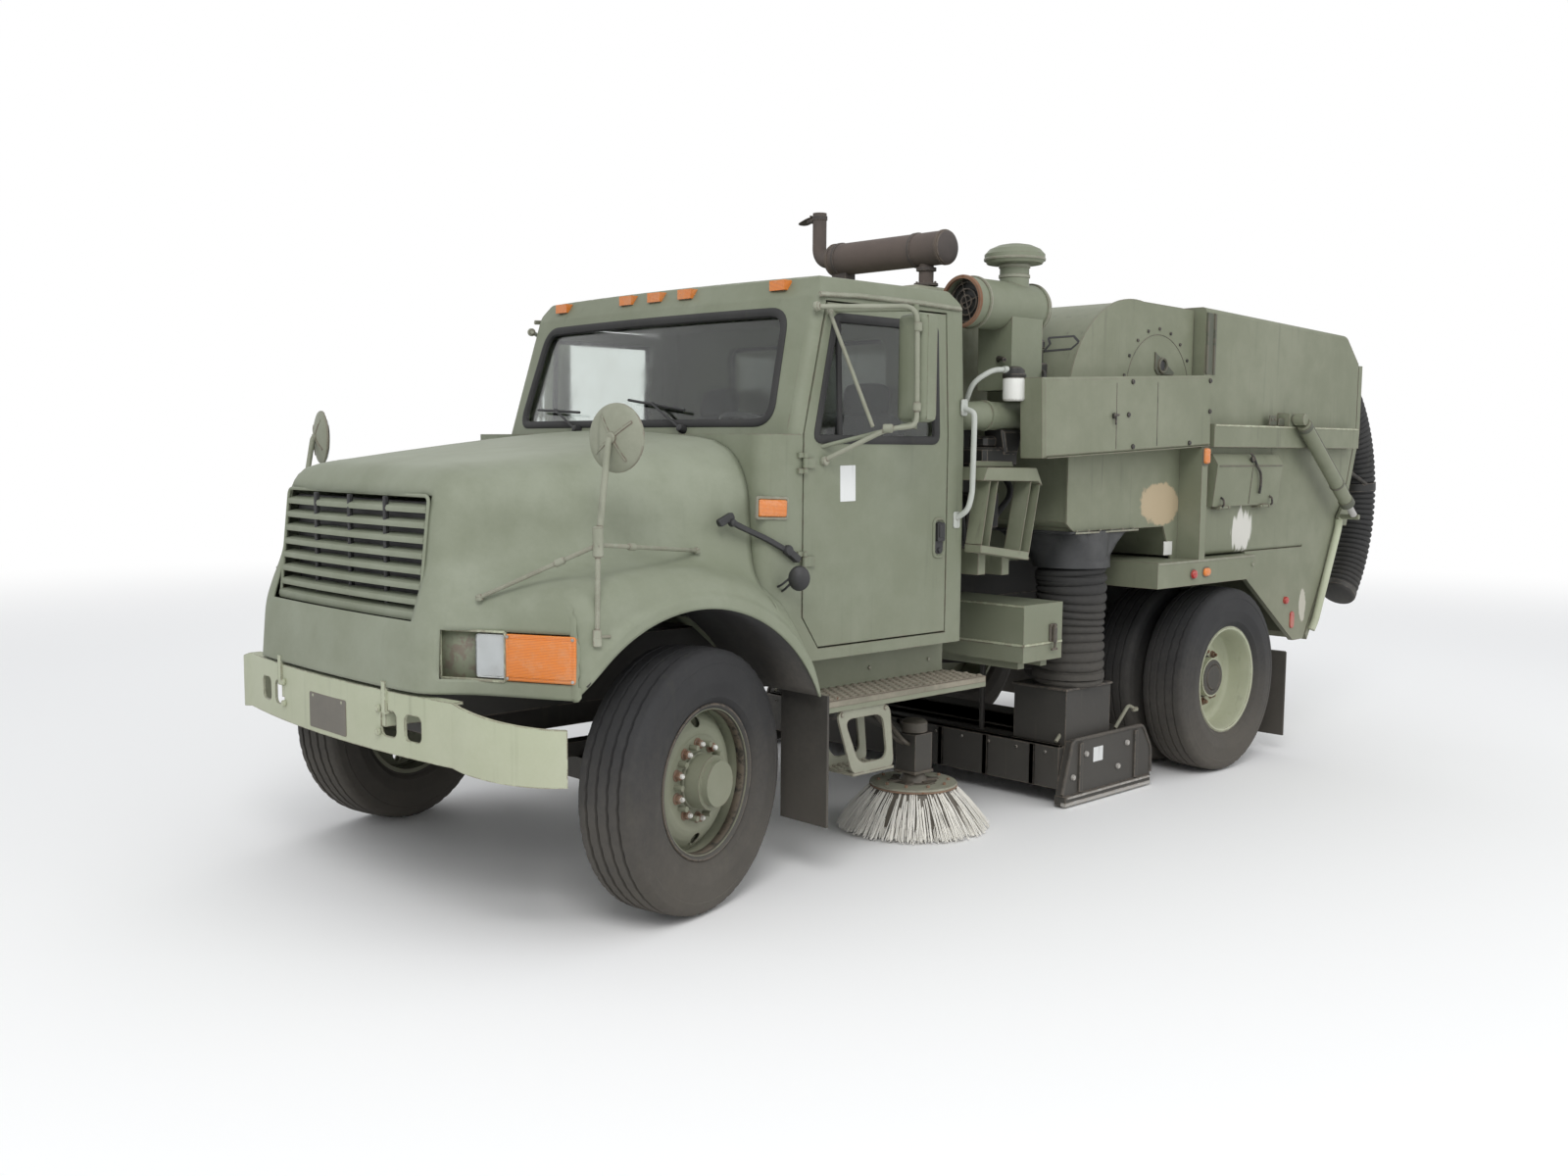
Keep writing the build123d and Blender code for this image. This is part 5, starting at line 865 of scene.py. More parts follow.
# Rear wall of the fender well and the hood's hinges, hidden parts of the replaced hood
inner_arch = angles_between(24, 140, 30)
well = np.stack([np.stack([x + 0 * inner_arch, (ARCH_RADIUS + 0.004) * np.cos(inner_arch),
    AXLE_Z + (ARCH_RADIUS + 0.004) * np.sin(inner_arch)], axis=-1) for x in (0.66, 0.9, 1.172)])
thicken(put_pair("wheel_wells", sheet_shape(well), black_plastic, "hood", "olive_paint"), 0.004)
hinges = joined([box_shape(x - 0.02, x + 0.02, -0.89, -0.8, 0.902, 0.93) for x in (-0.39, 0.39)])
hinge_pin = on_axis(turned([(0.012, -0.45), (0.012, 0.45)], 20), (0, -0.88, 0.905), (1, 0, 0))
put("hood_hinges", joined([hinges, hinge_pin]), frame_black, "hood", "olive_paint")

# Lamp units on the slanted front: a bezel frame, a wedge recess, a square lamp and a large amber lens
LAMP_Z0, LAMP_Z1 = 0.955, 1.128


def lamp_axes(distance, z, proud=0.0):
    """Local x along the slant, local y up, local z out of the lamp's face."""
    place = LAMP_START + LAMP_ALONG * distance + LAMP_NORMAL * proud
    m = Matrix(((LAMP_ALONG[0], 0, LAMP_NORMAL[0]), (LAMP_ALONG[1], 0, LAMP_NORMAL[1]), (0, 1, 0))).to_4x4()
    m.translation = Vector((place[0], place[1], z))
    return m


def plate_with_rim(width, height, radius, depth, rim):
    """A frame standing round an opening: its outer side, its face and its inner side."""
    return sheet_shape(nested(width, height, radius,
        ((0, -depth), (0, -0.004), (0.002, 0), (rim, 0), (rim + 0.002, -0.003), (rim + 0.003, -depth))),
        loop_columns=True)


def lamp_pieces():
    middle = (LAMP_Z0 + LAMP_Z1) / 2
    tall = LAMP_Z1 - LAMP_Z0
    frame_shape = moved(plate_with_rim(0.268, tall + 0.012, 0.012, 0.05, 0.007),
        lamp_axes(0.128, middle, 0.006))
    floor_shape = np.array([[(-0.13, y, -0.002), (0.004, y, -0.022), (0.01, y, -0.052), (0.13, y, -0.052)]
        for y in (-tall / 2, tall / 2)])
    recess = moved(sheet_shape(floor_shape[:, ::-1]), lamp_axes(0.128, middle, 0.0))
    lamp_front = moved(sheet_shape(nested(0.118, tall - 0.018, 0.012,
        ((0, -0.014), (0, -0.006), (0.006, 0.0), (0.03, 0.003))), loop_columns=True, cap_rows=True),
        lamp_axes(0.195, middle, 0.0))
    bowl = sheet_shape(nested(0.114, tall - 0.022, 0.012,
        ((0, -0.006), (0.004, -0.018), (0.016, -0.03), (0.03, -0.036), (0.044, -0.038))), loop_columns=True,
        cap_rows=True)
    lens = moved(sheet_shape(nested(0.272, tall - 0.006, 0.01,
        ((0, -0.02), (0, 0.004), (0.005, 0.01), (0.014, 0.01), (0.018, 0.016), (0.05, 0.02))),
        loop_columns=True, cap_rows=True), lamp_axes(0.397, middle, 0.0))
    screws = joined([moved(turned([(0.006, 0.0), (0.006, 0.003), (0.003, 0.005)], 10),
        lamp_axes(0.397 + sx * 0.126, middle + sz * (tall / 2 - 0.013), 0.01)) for sx in (-1, 1)
        for sz in (-1, 1)])
    reflector = moved(bowl, lamp_axes(0.195, middle, -0.01))
    return frame_shape, recess, lamp_front, reflector, lens, screws


bezel, recess, lamp_front, reflector, lens, screws = (from_axle(on_both_sides(s)) for s in lamp_pieces())
thicken(add_piece("lamp_bezels", bezel, pale_green, "hood", "olive_paint"), 0.002)
thicken(add_piece("lamp_recesses", recess, olive, "hood", "olive_paint"), 0.003)
lamp_piece = add_piece("headlamp_glasses", lamp_front, lamp_glass, "hood", "lamp_clear")
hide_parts("headlamps")
thicken(add_piece("headlamp_bowls", reflector, chrome, "hood", "lamp_clear"), 0.001)
lens_piece = add_piece("turn_lenses", lens, amber, "hood", "lamp_amber")
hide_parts("turn_lamps")
add_piece("lens_screws", screws, steel, "hood", "lamp_amber")

# Grille: bent blades across the opening, three dark uprights behind them, a thin frame and a thick lower lip
BLADES = 7
GRILLE_TOP_Z, GRILLE_BOTTOM_Z = 1.598, 1.152


def blade(z, thick, out):
    """A blade's section, a flat nose with rounded corners and a falling shelf behind it, carried across."""
    y = front_face(z)
    section_points = np.array([(out, -thick / 2), (out - 0.003, 0), (out, thick / 2),
        (0.004, thick / 2 + 0.004), (0.04, thick / 2 + 0.012), (0.04, thick / 2 + 0.006),
        (0.006, -thick / 2 + 0.002)])
    grid = np.stack([np.column_stack([np.full(7, x), y + section_points[:, 0] + crown(x),
        z + section_points[:, 1]]) for x in np.linspace(-0.556, 0.556, 13)])
    return sheet_shape(grid, loop_columns=True, cap_rows=True)


blade_zs = np.linspace(GRILLE_BOTTOM_Z + 0.062, GRILLE_TOP_Z - 0.052, BLADES)
blades = joined([blade(z, 0.021, -0.006) for z in blade_zs]
    + [blade(GRILLE_BOTTOM_Z + 0.012, 0.03, -0.012)])
frame_line = np.array([(-0.563, GRILLE_BOTTOM_Z), (-0.563, GRILLE_TOP_Z), (0.563, GRILLE_TOP_Z),
    (0.563, GRILLE_BOTTOM_Z)])
frame_path = bent([(x, front_face(z) - 0.002 + crown(x), z) for x, z in frame_line], 0.03)
grille_piece = put("grille_blades", joined([blades, tube(frame_path, 0.007, 8)]), hood_olive, "hood",
    "olive_paint")
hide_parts("grille")
uprights = joined([box_shape(x - 0.009, x + 0.009, -0.8, -0.78, 1.16, 1.59) for x in (-0.28, 0, 0.28)])
put("grille_uprights", uprights, black_plastic, "hood", "olive_paint")
core_shape = box_shape(-0.54, 0.54, -0.745, -0.735, 1.05, 1.575)
put("radiator_face", core_shape, black_plastic, "chassis", "frame_black")

# Tyres: a road tread of straight grooves, notched shoulders, rings on the side walls
TREAD_R = 0.5125
GROOVES = (-0.071, -0.0245, 0.0245, 0.071)
GROOVE_W, GROOVE_DEPTH = 0.0055, 0.011


def tyre_profile():
    """(radius, height) from the inner bead round the tread to the outer bead."""
    wall = [(0.288, 0.098), (0.3, 0.107), (0.306, 0.108), (0.31, 0.114), (0.322, 0.1225), (0.326, 0.1255),
        (0.332, 0.125), (0.35, 0.132), (0.38, 0.137), (0.386, 0.1382), (0.392, 0.1372), (0.425, 0.1355),
        (0.452, 0.131), (0.456, 0.1325), (0.462, 0.1315), (0.48, 0.124), (0.488, 0.1225), (0.494, 0.1175),
        (0.502, 0.112), (0.506, 0.104), (0.5075, 0.1)]
    tread = []
    for groove in GROOVES[::-1]:
        edge = TREAD_R - 0.0045 * (abs(groove) / 0.1) ** 2
        tread += [(edge, groove + GROOVE_W + 0.0012), (edge - GROOVE_DEPTH, groove + GROOVE_W * 0.6),
            (edge - GROOVE_DEPTH, groove - GROOVE_W * 0.6), (edge, groove - GROOVE_W - 0.0012)]
    upper = wall + tread + [(r, -h) for r, h in wall[::-1]]
    return np.array(upper[::-1])


def tyre_wheel_shape(count=192):
    """The profile turned, its groove edges stepping to and fro and its shoulder notched, both by the
    angle."""
    profile = tyre_profile()
    points = turned(profile, count)[0]
    faces = [sheet_faces(len(profile), count, loop_rows=True, loop_columns=True)]
    grid = points.reshape(len(profile), count, 3)
    row_height = profile[::-1, 1]
    row_radius = profile[::-1, 0]
    step = np.arange(count) // 2 % 2 * 2.0 - 1.0
    on_tread = (np.abs(row_height) < 0.09) & (row_radius > 0.49)
    grid[..., 2] += on_tread[:, None] * step[None] * 0.0011
    notch = (np.arange(count) % 4 < 1) * 1.0
    shoulder = ((row_radius > 0.493) & (row_radius < 0.509) & (np.abs(row_height) > 0.098)) * 1.0
    scale = 1 - 0.006 * shoulder[:, None] * notch[None]
    grid[..., :2] *= scale[..., None]
    return grid.reshape(-1, 3), faces


def holes_cut(shape, centres, radius, reach=0.006):
    """Round holes through a surface seen along z: faces inside go, points near the edge are set on the
    circle."""
    points, faces = shape
    points = points.copy()
    for centre in centres:
        away = points[:, :2] - np.asarray(centre)
        distance = np.linalg.norm(away, axis=1)
        inside = distance < radius
        faces = [f[~inside[f].all(axis=1)] for f in faces]
        near = distance < radius + reach
        points[near, :2] = (np.asarray(centre) + away / np.maximum(distance, 1e-06)[:, None] * radius)[near]
    return points, faces


def dense(profile, step=0.005):
    """The profile with points added so that no stretch is longer than the step."""
    profile = np.asarray(profile, float)
    rows = [profile[:1]]
    for a, b in zip(profile, profile[1:]):
        n = max(1, int(np.ceil(np.linalg.norm(b - a) / step)))
        rows.append(a + (b - a) * (np.arange(1, n + 1) / n)[:, None])
    return np.concatenate(rows)


STUD_CIRCLE = 0.1429


def nut_ring(height, count=10, nut_r=0.0175, nut_h=0.022):
    """Wheel nuts on their circle: a washer, a six-sided nut and a stud's end each."""
    nuts, ends = [], []
    for i in range(count):
        a = 2 * math.pi * (i + 0.5) / count
        place = Matrix.Translation((STUD_CIRCLE * math.cos(a), STUD_CIRCLE * math.sin(a), height))
        washer = turned([(0.0225, 0), (0.0225, 0.003), (0.018, 0.005)], 16)
        hexagon = slab(circle(nut_r, 6), 0.004, nut_h, 0.002)
        nuts.append(moved(joined([washer, hexagon]), place @ Matrix.Rotation(a * 3.7, 4, "Z")))
        ends.append(moved(turned([(0.01, nut_h - 0.002), (0.01, nut_h + 0.009), (0.007, nut_h + 0.013)],
            10), place))
    return joined(nuts), joined(ends)


FRONT_DISC = dense([(0.277, -0.02), (0.272, 0.006), (0.264, 0.02), (0.25, 0.034), (0.232, 0.047),
    (0.212, 0.056), (0.194, 0.061), (0.18, 0.06), (0.174, 0.0575), (0.108, 0.0575)])
FRONT_HUB = [(0.112, 0.055), (0.110, 0.066), (0.102, 0.072), (0.097, 0.080), (0.093, 0.128), (0.089, 0.136),
             (0.082, 0.139), (0.072, 0.138), (0.069, 0.132), (0.066, 0.108), (0.050, 0.104), (0.020, 0.104)]
REAR_DISC = dense([(0.2935, 0.1075), (0.287, 0.109), (0.28, 0.106), (0.275, 0.096), (0.272, 0.06),
    (0.27, 0.0), (0.266, -0.03), (0.252, -0.046), (0.228, -0.05), (0.204, -0.046), (0.186, -0.038),
    (0.176, -0.036), (0.118, -0.036)], 0.008)
REAR_HUB = [(0.120, -0.038), (0.114, -0.028), (0.108, -0.018), (0.104, 0.016), (0.098, 0.024), (0.078, 0.027),
            (0.072, 0.022), (0.066, 0.030), (0.020, 0.033)]
HAND_HOLES = ((0, 0.231), (0, -0.231))
STEER_REST = math.radians(15)
KINGPIN_X, WHEEL_OUT = 0.858, 0.17
DUAL_MIDDLE_X, DUAL_STEP = 0.92, 0.165


def wheel_axes(side_sign, front, offset=0.0):
    """Local z points out of the wheel along its axle, local y up."""
    if front:
        kingpin = Vector((side_sign * KINGPIN_X, FRONT_AXLE_Y, AXLE_Z))
        out = Vector((side_sign * math.cos(STEER_REST), side_sign * math.sin(STEER_REST), 0))
        centre = kingpin + out * WHEEL_OUT
    else:
        out = Vector((side_sign, 0, 0))
        centre = Vector((side_sign * DUAL_MIDDLE_X, REAR_AXLE_Y, AXLE_Z)) + out * offset
    y = Vector((0, 0, 1))
    m = Matrix((y.cross(out), y, out)).transposed().to_4x4()
    m.translation = centre
    return m


for side, sign in SIDES:
    place = wheel_axes(sign, True)
    body = f"wheel_front_{side}"
    tyre_piece = add_piece(f"tyre_tread_front_{side}", moved(tyre_wheel_shape(), place), tyre, body,
        "tyre_rubber", 30)
    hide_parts(f"tyre_front_{side}")
    disc = holes_cut(sheet_shape(turned(FRONT_DISC, 120)[0].reshape(len(FRONT_DISC), 120, 3),
        loop_columns=True), HAND_HOLES, 0.026)
    thicken(add_piece(f"front_disc_{side}", moved(disc, place), olive, body, "olive_paint", 50), 0.004)
    lip = turned([(0.2765, 0.06), (0.279, 0.098), (0.284, 0.106), (0.29, 0.11), (0.296, 0.1115),
        (0.3005, 0.108)], 96)
    thicken(add_piece(f"front_lip_{side}", moved((lip[0], lip[1][:1]), place), frame_black, body,
        "olive_paint"), 0.002)
    add_piece(f"front_hub_{side}", moved(turned(FRONT_HUB, 48), place), olive, body, "olive_paint", 30)
    nuts, ends = nut_ring(0.0575)
    add_piece(f"front_nuts_{side}", moved(nuts, place), rust_iron, body, "steel")
    add_piece(f"front_studs_{side}", moved(ends, place), white_paint, body, "steel")
    body = f"wheels_rear_{side}"
    out_place, in_place = wheel_axes(sign, False, DUAL_STEP), wheel_axes(-sign, False, 0.0)
    in_place.translation = Vector((sign * (DUAL_MIDDLE_X - DUAL_STEP), REAR_AXLE_Y, AXLE_Z))
    tread = joined([moved(tyre_wheel_shape(), out_place), moved(tyre_wheel_shape(96), in_place)])
    tyre_piece = add_piece(f"tyre_treads_rear_{side}", tread, tyre, body, "tyre_rubber", 30)
    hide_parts(f"tyres_rear_{side}")
    disc = holes_cut(sheet_shape(turned(REAR_DISC, 120)[0].reshape(len(REAR_DISC), 120, 3),
        loop_columns=True), HAND_HOLES, 0.026)
    thicken(add_piece(f"rear_disc_{side}", moved(disc, out_place), pale_green, body, "green_trim", 50),
        0.004)
    add_piece(f"rear_hub_{side}", moved(turned(REAR_HUB, 40), out_place), frame_black, body, "frame_black",
        30)
    nuts, ends = nut_ring(-0.036, nut_h=0.018)
    add_piece(f"rear_nuts_{side}", moved(joined([nuts, ends]), out_place), rust_iron, body, "steel")

# Strips, rods and small fittings
def outward(shape):
    """The closed shape with its faces read so that they point outwards: backwards if its signed volume is
    below 0."""
    points, faces = shape
    around = points - points.mean(axis=0)
    volume = 0.0
    for f in faces:
        p = around[f]
        for i in range(1, f.shape[1] - 1):
            volume += np.einsum("ij,ij->i", p[:, 0], np.cross(p[:, i], p[:, i + 1])).sum()
    return (points, faces) if volume > 0 else (points, [f[:, ::-1] for f in faces])


def block(*measures):
    """A bevelled block, as box_shape makes it, its faces outwards."""
    return outward(box_shape(*measures))


def lathe(rows, count, origin, z_dir=OUT, x_dir=(0, 0, 1), closed=False):
    """A profile of (radius, height) rows turned round an axis through the origin, its faces outwards."""
    return on_axis(outward(turned(rows, count, closed=closed)), origin, z_dir, x_dir)


def upright(rows, count, origin):
    """A profile turned round an upright axis."""
    return lathe(rows, count, origin, (0, 0, 1), OUT)


def cushioned(width, height, radius, rings, axes):
    """A rounded rectangle that rises ring by ring to a flat top, as a closed solid on the plane of the
    axes."""
    return moved(outward(sheet_shape(nested(width, height, radius, rings), loop_columns=True,
        cap_rows=True)), axes)


def side_axes(origin):
    """Axes on the truck's left side: local x along the truck, local y up, local z out."""
    return axes_at(origin, (0, 1, 0), OUT)


def loop_bent(points, radius, steps=6):
    """A closed path through the points with each corner rounded by a quadratic curve."""
    points = np.asarray(points, float)
    t = np.linspace(0, 1, steps)[:, None]
    path = []
    for before, corner, after in zip(np.roll(points, 1, axis=0), points, np.roll(points, -1, axis=0)):
        a = corner + (before - corner) / np.linalg.norm(before - corner) * radius
        b = corner + (after - corner) / np.linalg.norm(after - corner) * radius
        path += list((1 - t) ** 2 * a + 2 * t * (1 - t) * corner + t ** 2 * b)
    return np.array(path)


def strip(path, normals, section, closed=True):
    """A section of (across, out) points carried along a path that lies in a surface with the given
    normals."""
    path = np.asarray(path, float)
    if closed:
        tangent = np.roll(path, -1, axis=0) - np.roll(path, 1, axis=0)
    else:
        tangent = np.gradient(path, axis=0)
    tangent /= np.linalg.norm(tangent, axis=1)[:, None]
    normals = np.broadcast_to(np.asarray(normals, float), path.shape)
    across = np.cross(normals, tangent)
    section = np.asarray(section, float)
    grid = path[:, None] + section[None, :, :1] * across[:, None] + section[None, :, 1:] * normals[:, None]
    return outward(sheet_shape(grid, loop_rows=closed, loop_columns=True, cap_rows=not closed))


def flat_bar(path, width, height, below=0.002, normals=OUT):
    """A flat bar with bevelled upper edges along a path in a surface."""
    half, edge = width / 2, min(0.003, height / 2)
    section = [(-half, -below), (-half, height - edge), (-half + edge, height), (half - edge, height),
        (half, height - edge), (half, -below)]
    return strip(path, normals, section, closed=False)


def rod(points, radius, count=10, corner=0.03):
    """A round rod through points, its corners bent."""
    return outward(tube(bent(points, corner), radius, count))


def knob(origin, radius, height, count=14, z_dir=OUT):
    """A button with a rounded rim, standing on a surface."""
    r, h = radius, height
    rows = [(r * 0.9, -0.003), (r, 0.0), (r, h * 0.6), (r * 0.85, h * 0.92), (r * 0.5, h)]
    return lathe(rows, count, origin, z_dir, (1, 0, 0) if abs(z_dir[0]) < 0.8 else (0, 1, 0))


def nut(origin, z_dir, across, height, turn=0.3):
    """A hexagon nut with chamfered top."""
    rows = [(across * 0.5, -0.003), (across * 0.5, height * 0.8), (across * 0.42, height)]
    points, faces = outward(turned(rows, 6))
    spin = np.array(Matrix.Rotation(turn, 4, "Z"))
    return on_axis(moved((points, faces), spin), origin, z_dir, (1, 0, 0) if abs(z_dir[0]) < 0.8
        else (0, 1, 0))


def plate_shape(width, height, radius, thickness, axes):
    """A flat plate with rounded corners and a small bevel, its back on the plane of the axes."""
    return moved(outward(slab(rounded_rectangle(width, height, radius, 4), 0, thickness,
        min(0.0015, thickness / 3))), axes)


dull_olive = painted("dull_olive_paint", (0.215, 0.225, 0.165, 1), (0.33, 0.335, 0.265, 1), fade=0.7,
    rust=0.1, dirt=0.2)
grey_plate = painted("grey_plate", (0.1, 0.095, 0.082, 1), (0.145, 0.135, 0.115, 1), fade=0.8, rust=0.25,
    dirt=0.3)
paper = painted("paper_label", (0.7, 0.71, 0.7, 1), (0.62, 0.63, 0.62, 1), wear=0.0, rust=0.0, dirt=0.05,
    rough=0.8, relief=0.02)

# Cab: its side and windscreen as surfaces, in metres from the front axle
CAB_SIDE, CAB_SIDE_TOP, BELT_Z, EAVE_Z = 1.035, 1.012, 1.835, 2.4


def cab_side(z):
    return CAB_SIDE - (CAB_SIDE - CAB_SIDE_TOP) * np.clip((np.asarray(z) - BELT_Z) / (EAVE_Z - BELT_Z), 0,
        1)


def windscreen(x, z):
    """Points and outward normals of the windscreen: leaning back with height, bowed back with the square
    of x."""
    t = (np.asarray(z) - BELT_Z) / (EAVE_Z - BELT_Z)
    bow, half = 0.11 - 0.04 * t, cab_side(z)
    place = np.stack([x, 0.5 + 0.2 * t + bow * (x / half) ** 2, z], axis=-1)
    slope_x = 2 * bow * x / half ** 2
    slope_z = (0.2 - 0.04 * (x / half) ** 2) / (EAVE_Z - BELT_Z)
    normal = np.stack([slope_x, -np.ones_like(slope_x), slope_z], axis=-1)
    return place, normal / np.linalg.norm(normal, axis=-1)[:, None]


def dense_loop(path, step):
    return dense(np.vstack([path, path[:1]]), step)[:-1]


GASKET = [(-0.016, -0.003), (-0.016, 0.003), (-0.011, 0.007), (0.0, 0.009), (0.010, 0.007), (0.019, 0.001),
          (0.022, -0.012), (0.004, -0.014)]
screen_edge = dense_loop(loop_bent([(-0.9, 1.88), (0.9, 1.88), (0.85, 2.345), (-0.85, 2.345)], 0.085, 8),
    0.04)
edge_place, edge_normal = windscreen(screen_edge[:, 0], screen_edge[:, 1])
put("windscreen_seal", strip(edge_place, edge_normal, GASKET), rubber, "chassis", "rubber_black")

rear_edge = loop_bent([(0.56, 1.88), (-0.56, 1.88), (-0.56, 2.3), (0.56, 2.3)], 0.06, 6)
rear_place = np.column_stack([rear_edge[:, 0], np.full(len(rear_edge), 1.71), rear_edge[:, 1]])
put("rear_window_seal", strip(rear_place, (0, 1, 0), GASKET), rubber, "chassis", "rubber_black")


def wiper(pivot, tip, blade_low, blade_high):
    """An arm from its pivot to the middle of the blade, and the blade along the glass; each place is (x,
    z)."""
    def on_glass(place, out):
        at, normal = windscreen(np.array([place[0]]), np.array([place[1]]))
        return (at + out * normal)[0], normal[0]
    base, up = on_glass(pivot, -0.012)
    arm = [base, base + up * 0.045, on_glass(tip, 0.03)[0], on_glass(tip, 0.012)[0]]
    steps = np.linspace(0, 1, 9)
    blade = np.array([on_glass((blade_low[0] + (blade_high[0] - blade_low[0]) * s,
        blade_low[1] + (blade_high[1] - blade_low[1]) * s), 0.008)[0] for s in steps])
    return joined([rod(arm, 0.0055, 8, 0.03), outward(tube(blade, 0.006, 8)),
        knob(base, 0.018, 0.05, z_dir=up)])


wipers = [wiper((-0.3, 1.852), (-0.53, 1.945), (-0.735, 1.952), (-0.33, 1.934)),
    wiper((0.44, 1.852), (0.22, 1.962), (0.03, 1.985), (0.42, 1.936))]
put("wipers", joined(wipers), black_plastic, "chassis", "trim_black")

# Doors: seals, vent bar, handle, mirror
DOOR_WINDOW = [(0.725, 1.815), (1.49, 1.815), (1.49, 2.32), (0.855, 2.32)]


def on_side(path, out=0.0):
    """Places (l, z) set on the cab's side at a height above it."""
    path = np.asarray(path, float)
    return np.column_stack([cab_side(path[:, 1]) + out, path[:, 0], path[:, 1]])


side_normal = np.array([0.9992, 0, 0.0405])
door_edge = dense_loop(loop_bent(DOOR_WINDOW, 0.035, 6), 0.05)
door_seal = strip(on_side(door_edge), side_normal, GASKET)
vent_bar = flat_bar(on_side([(0.88, 1.81), (0.88, 2.06), (0.882, 2.31)], -0.016), 0.024, 0.012,
    normals=side_normal)
handle_axes = side_axes((CAB_SIDE, 1.512, 1.385))
handle_rim = moved(outward(sheet_shape(nested(0.086, 0.185, 0.03,
    ((0, -0.004), (0, 0.003), (0.004, 0.007), (0.012, 0.007), (0.016, 0.002), (0.02, -0.004))),
    loop_rows=True, loop_columns=True)), handle_axes)
handle_well = plate_shape(0.052, 0.145, 0.02, 0.0035, handle_axes)
handle_grip = joined([plate_shape(0.05, 0.082, 0.008, 0.018, side_axes((CAB_SIDE, 1.512, 1.412))),
    plate_shape(0.034, 0.06, 0.004, 0.022, side_axes((CAB_SIDE, 1.512, 1.418)))])
lock = knob((CAB_SIDE, 1.512, 1.33), 0.012, 0.012)
label = plate_shape(0.092, 0.15, 0.003, 0.0015, axes_at((CAB_SIDE, 0.918, 1.635), (0, 1, 0.02), (1, 0, 0)))

# Mirror outside the door: a rounded shell with the glass in its rear face, on bent tubes
HEAD_X, HEAD_L, HEAD_Z, HEAD_W, HEAD_H = 1.2735, 1.03, 2.11, 0.152, 0.44
head_axes = axes_at((HEAD_X, HEAD_L, HEAD_Z), (1, 0, 0), (0, -1, 0))
shell_rings = ((0.01, -0.078), (0.002, -0.078), (0, -0.07), (0, -0.02), (0.006, -0.006), (0.02, 0.004),
    (0.045, 0.01), (0.07, 0.012))
mirror_shell = cushioned(HEAD_W, HEAD_H, 0.03, shell_rings, head_axes)
mirror_face = plate_shape(HEAD_W - 0.018, HEAD_H - 0.018, 0.024, 0.003,
    axes_at((HEAD_X, HEAD_L + 0.078, HEAD_Z), (1, 0, 0), (0, 1, 0)))
TUBE = 0.0105
outer_loop = rod([(1.005, 0.735, 2.352), (1.22, 0.925, 2.352), (1.331, 1.0, 2.352), (1.333, 1.006, 1.95),
    (1.331, 1.004, 1.872), (1.27, 0.905, 1.862), (1.043, 0.772, 1.733)], TUBE, 12, 0.07)
diagonal = rod([(1.02, 0.815, 2.335), (1.235, 0.85, 1.868)], TUBE * 0.8, 10)
feet = joined([knob((1.014, 0.74, 2.352), 0.02, 0.018, z_dir=(1, 0.2, 0.1)),
    knob((CAB_SIDE, 0.772, 1.728), 0.02, 0.02), knob((1.012, 0.815, 2.338), 0.016, 0.016),
    lathe([(0.016, -0.02), (0.018, -0.016), (0.018, 0.016), (0.016, 0.02)], 14, (1.272, 0.9, 1.862),
    (0.4, 0.3, 0))])
clamps = joined([upright([(0.014, -0.018), (0.017, -0.014), (0.017, 0.014), (0.014, 0.018)], 14,
    (1.3325, 1.005, z)) for z in (2.27, 1.95)])
for side, sign in SIDES:
    door = "cab_door_" + side
    turn = (lambda shape: shape) if sign > 0 else mirrored
    put("door_seal_" + side, turn(joined([door_seal, vent_bar])), rubber, door, "rubber_black")
    put("door_handle_" + side, turn(joined([handle_grip, handle_well, lock])), black_plastic, door,
        "trim_black")
    put("door_handle_rim_" + side, turn(joined([handle_rim, mirror_shell])), olive, door, "olive_paint")
    put("mirror_face_" + side, turn(mirror_face), chrome, door, "steel")
    put("mirror_arms_" + side, turn(joined([outer_loop, diagonal, feet, clamps])), dull_olive, door,
        "olive_paint")
put("door_label", label, paper, "cab_door_left", "olive_paint")

# Cab side: rain gutter, grab tube, marker lamp in its bezel
gutter = flat_bar(on_side([(0.76, 2.402), (1.0, 2.412), (1.4, 2.412), (1.66, 2.405)], 0.002), 0.02, 0.01,
    normals=(0.9, 0, 0.43))
grab = rod([(1.036, 1.672, 1.965), (1.092, 1.676, 1.945), (1.094, 1.676, 1.9), (1.094, 1.67, 1.58),
    (1.088, 1.648, 1.505), (1.036, 1.634, 1.47)], 0.013, 12, 0.05)
grab_feet = joined([plate_shape(0.045, 0.075, 0.012, 0.006, side_axes((CAB_SIDE, l, z)))
    for l, z in ((1.672, 1.968), (1.632, 1.462))])
marker_axes = axes_at((CAB_SIDE, 0.482, 1.542), (0, 1, -0.04), (1, 0, 0))
marker_bezel = moved(outward(sheet_shape(nested(0.176, 0.094, 0.012,
    ((0, -0.003), (0, 0.004), (0.003, 0.007), (0.01, 0.007), (0.014, 0.001), (0.016, -0.003))),
    loop_rows=True, loop_columns=True)), marker_axes)
marker_lens = cushioned(0.15, 0.068, 0.008, ((0, -0.003), (0, 0.008), (0.004, 0.013), (0.018, 0.016)),
    marker_axes)
grab_paint = painted("grab_rail_paint", (0.42, 0.44, 0.4, 1), (0.52, 0.53, 0.49, 1), fade=0.6, rust=0.08,
    dirt=0.1, wear=0.1)
put_pair("rain_gutters", gutter, dull_olive, "chassis", "olive_paint")
put_pair("grab_rails", joined([grab, grab_feet]), grab_paint, "chassis", "olive_paint")
put_pair("side_marker_bezels", marker_bezel, dull_olive, "chassis", "olive_paint")
put_pair("side_markers", marker_lens, amber, "chassis", "lamp_amber")

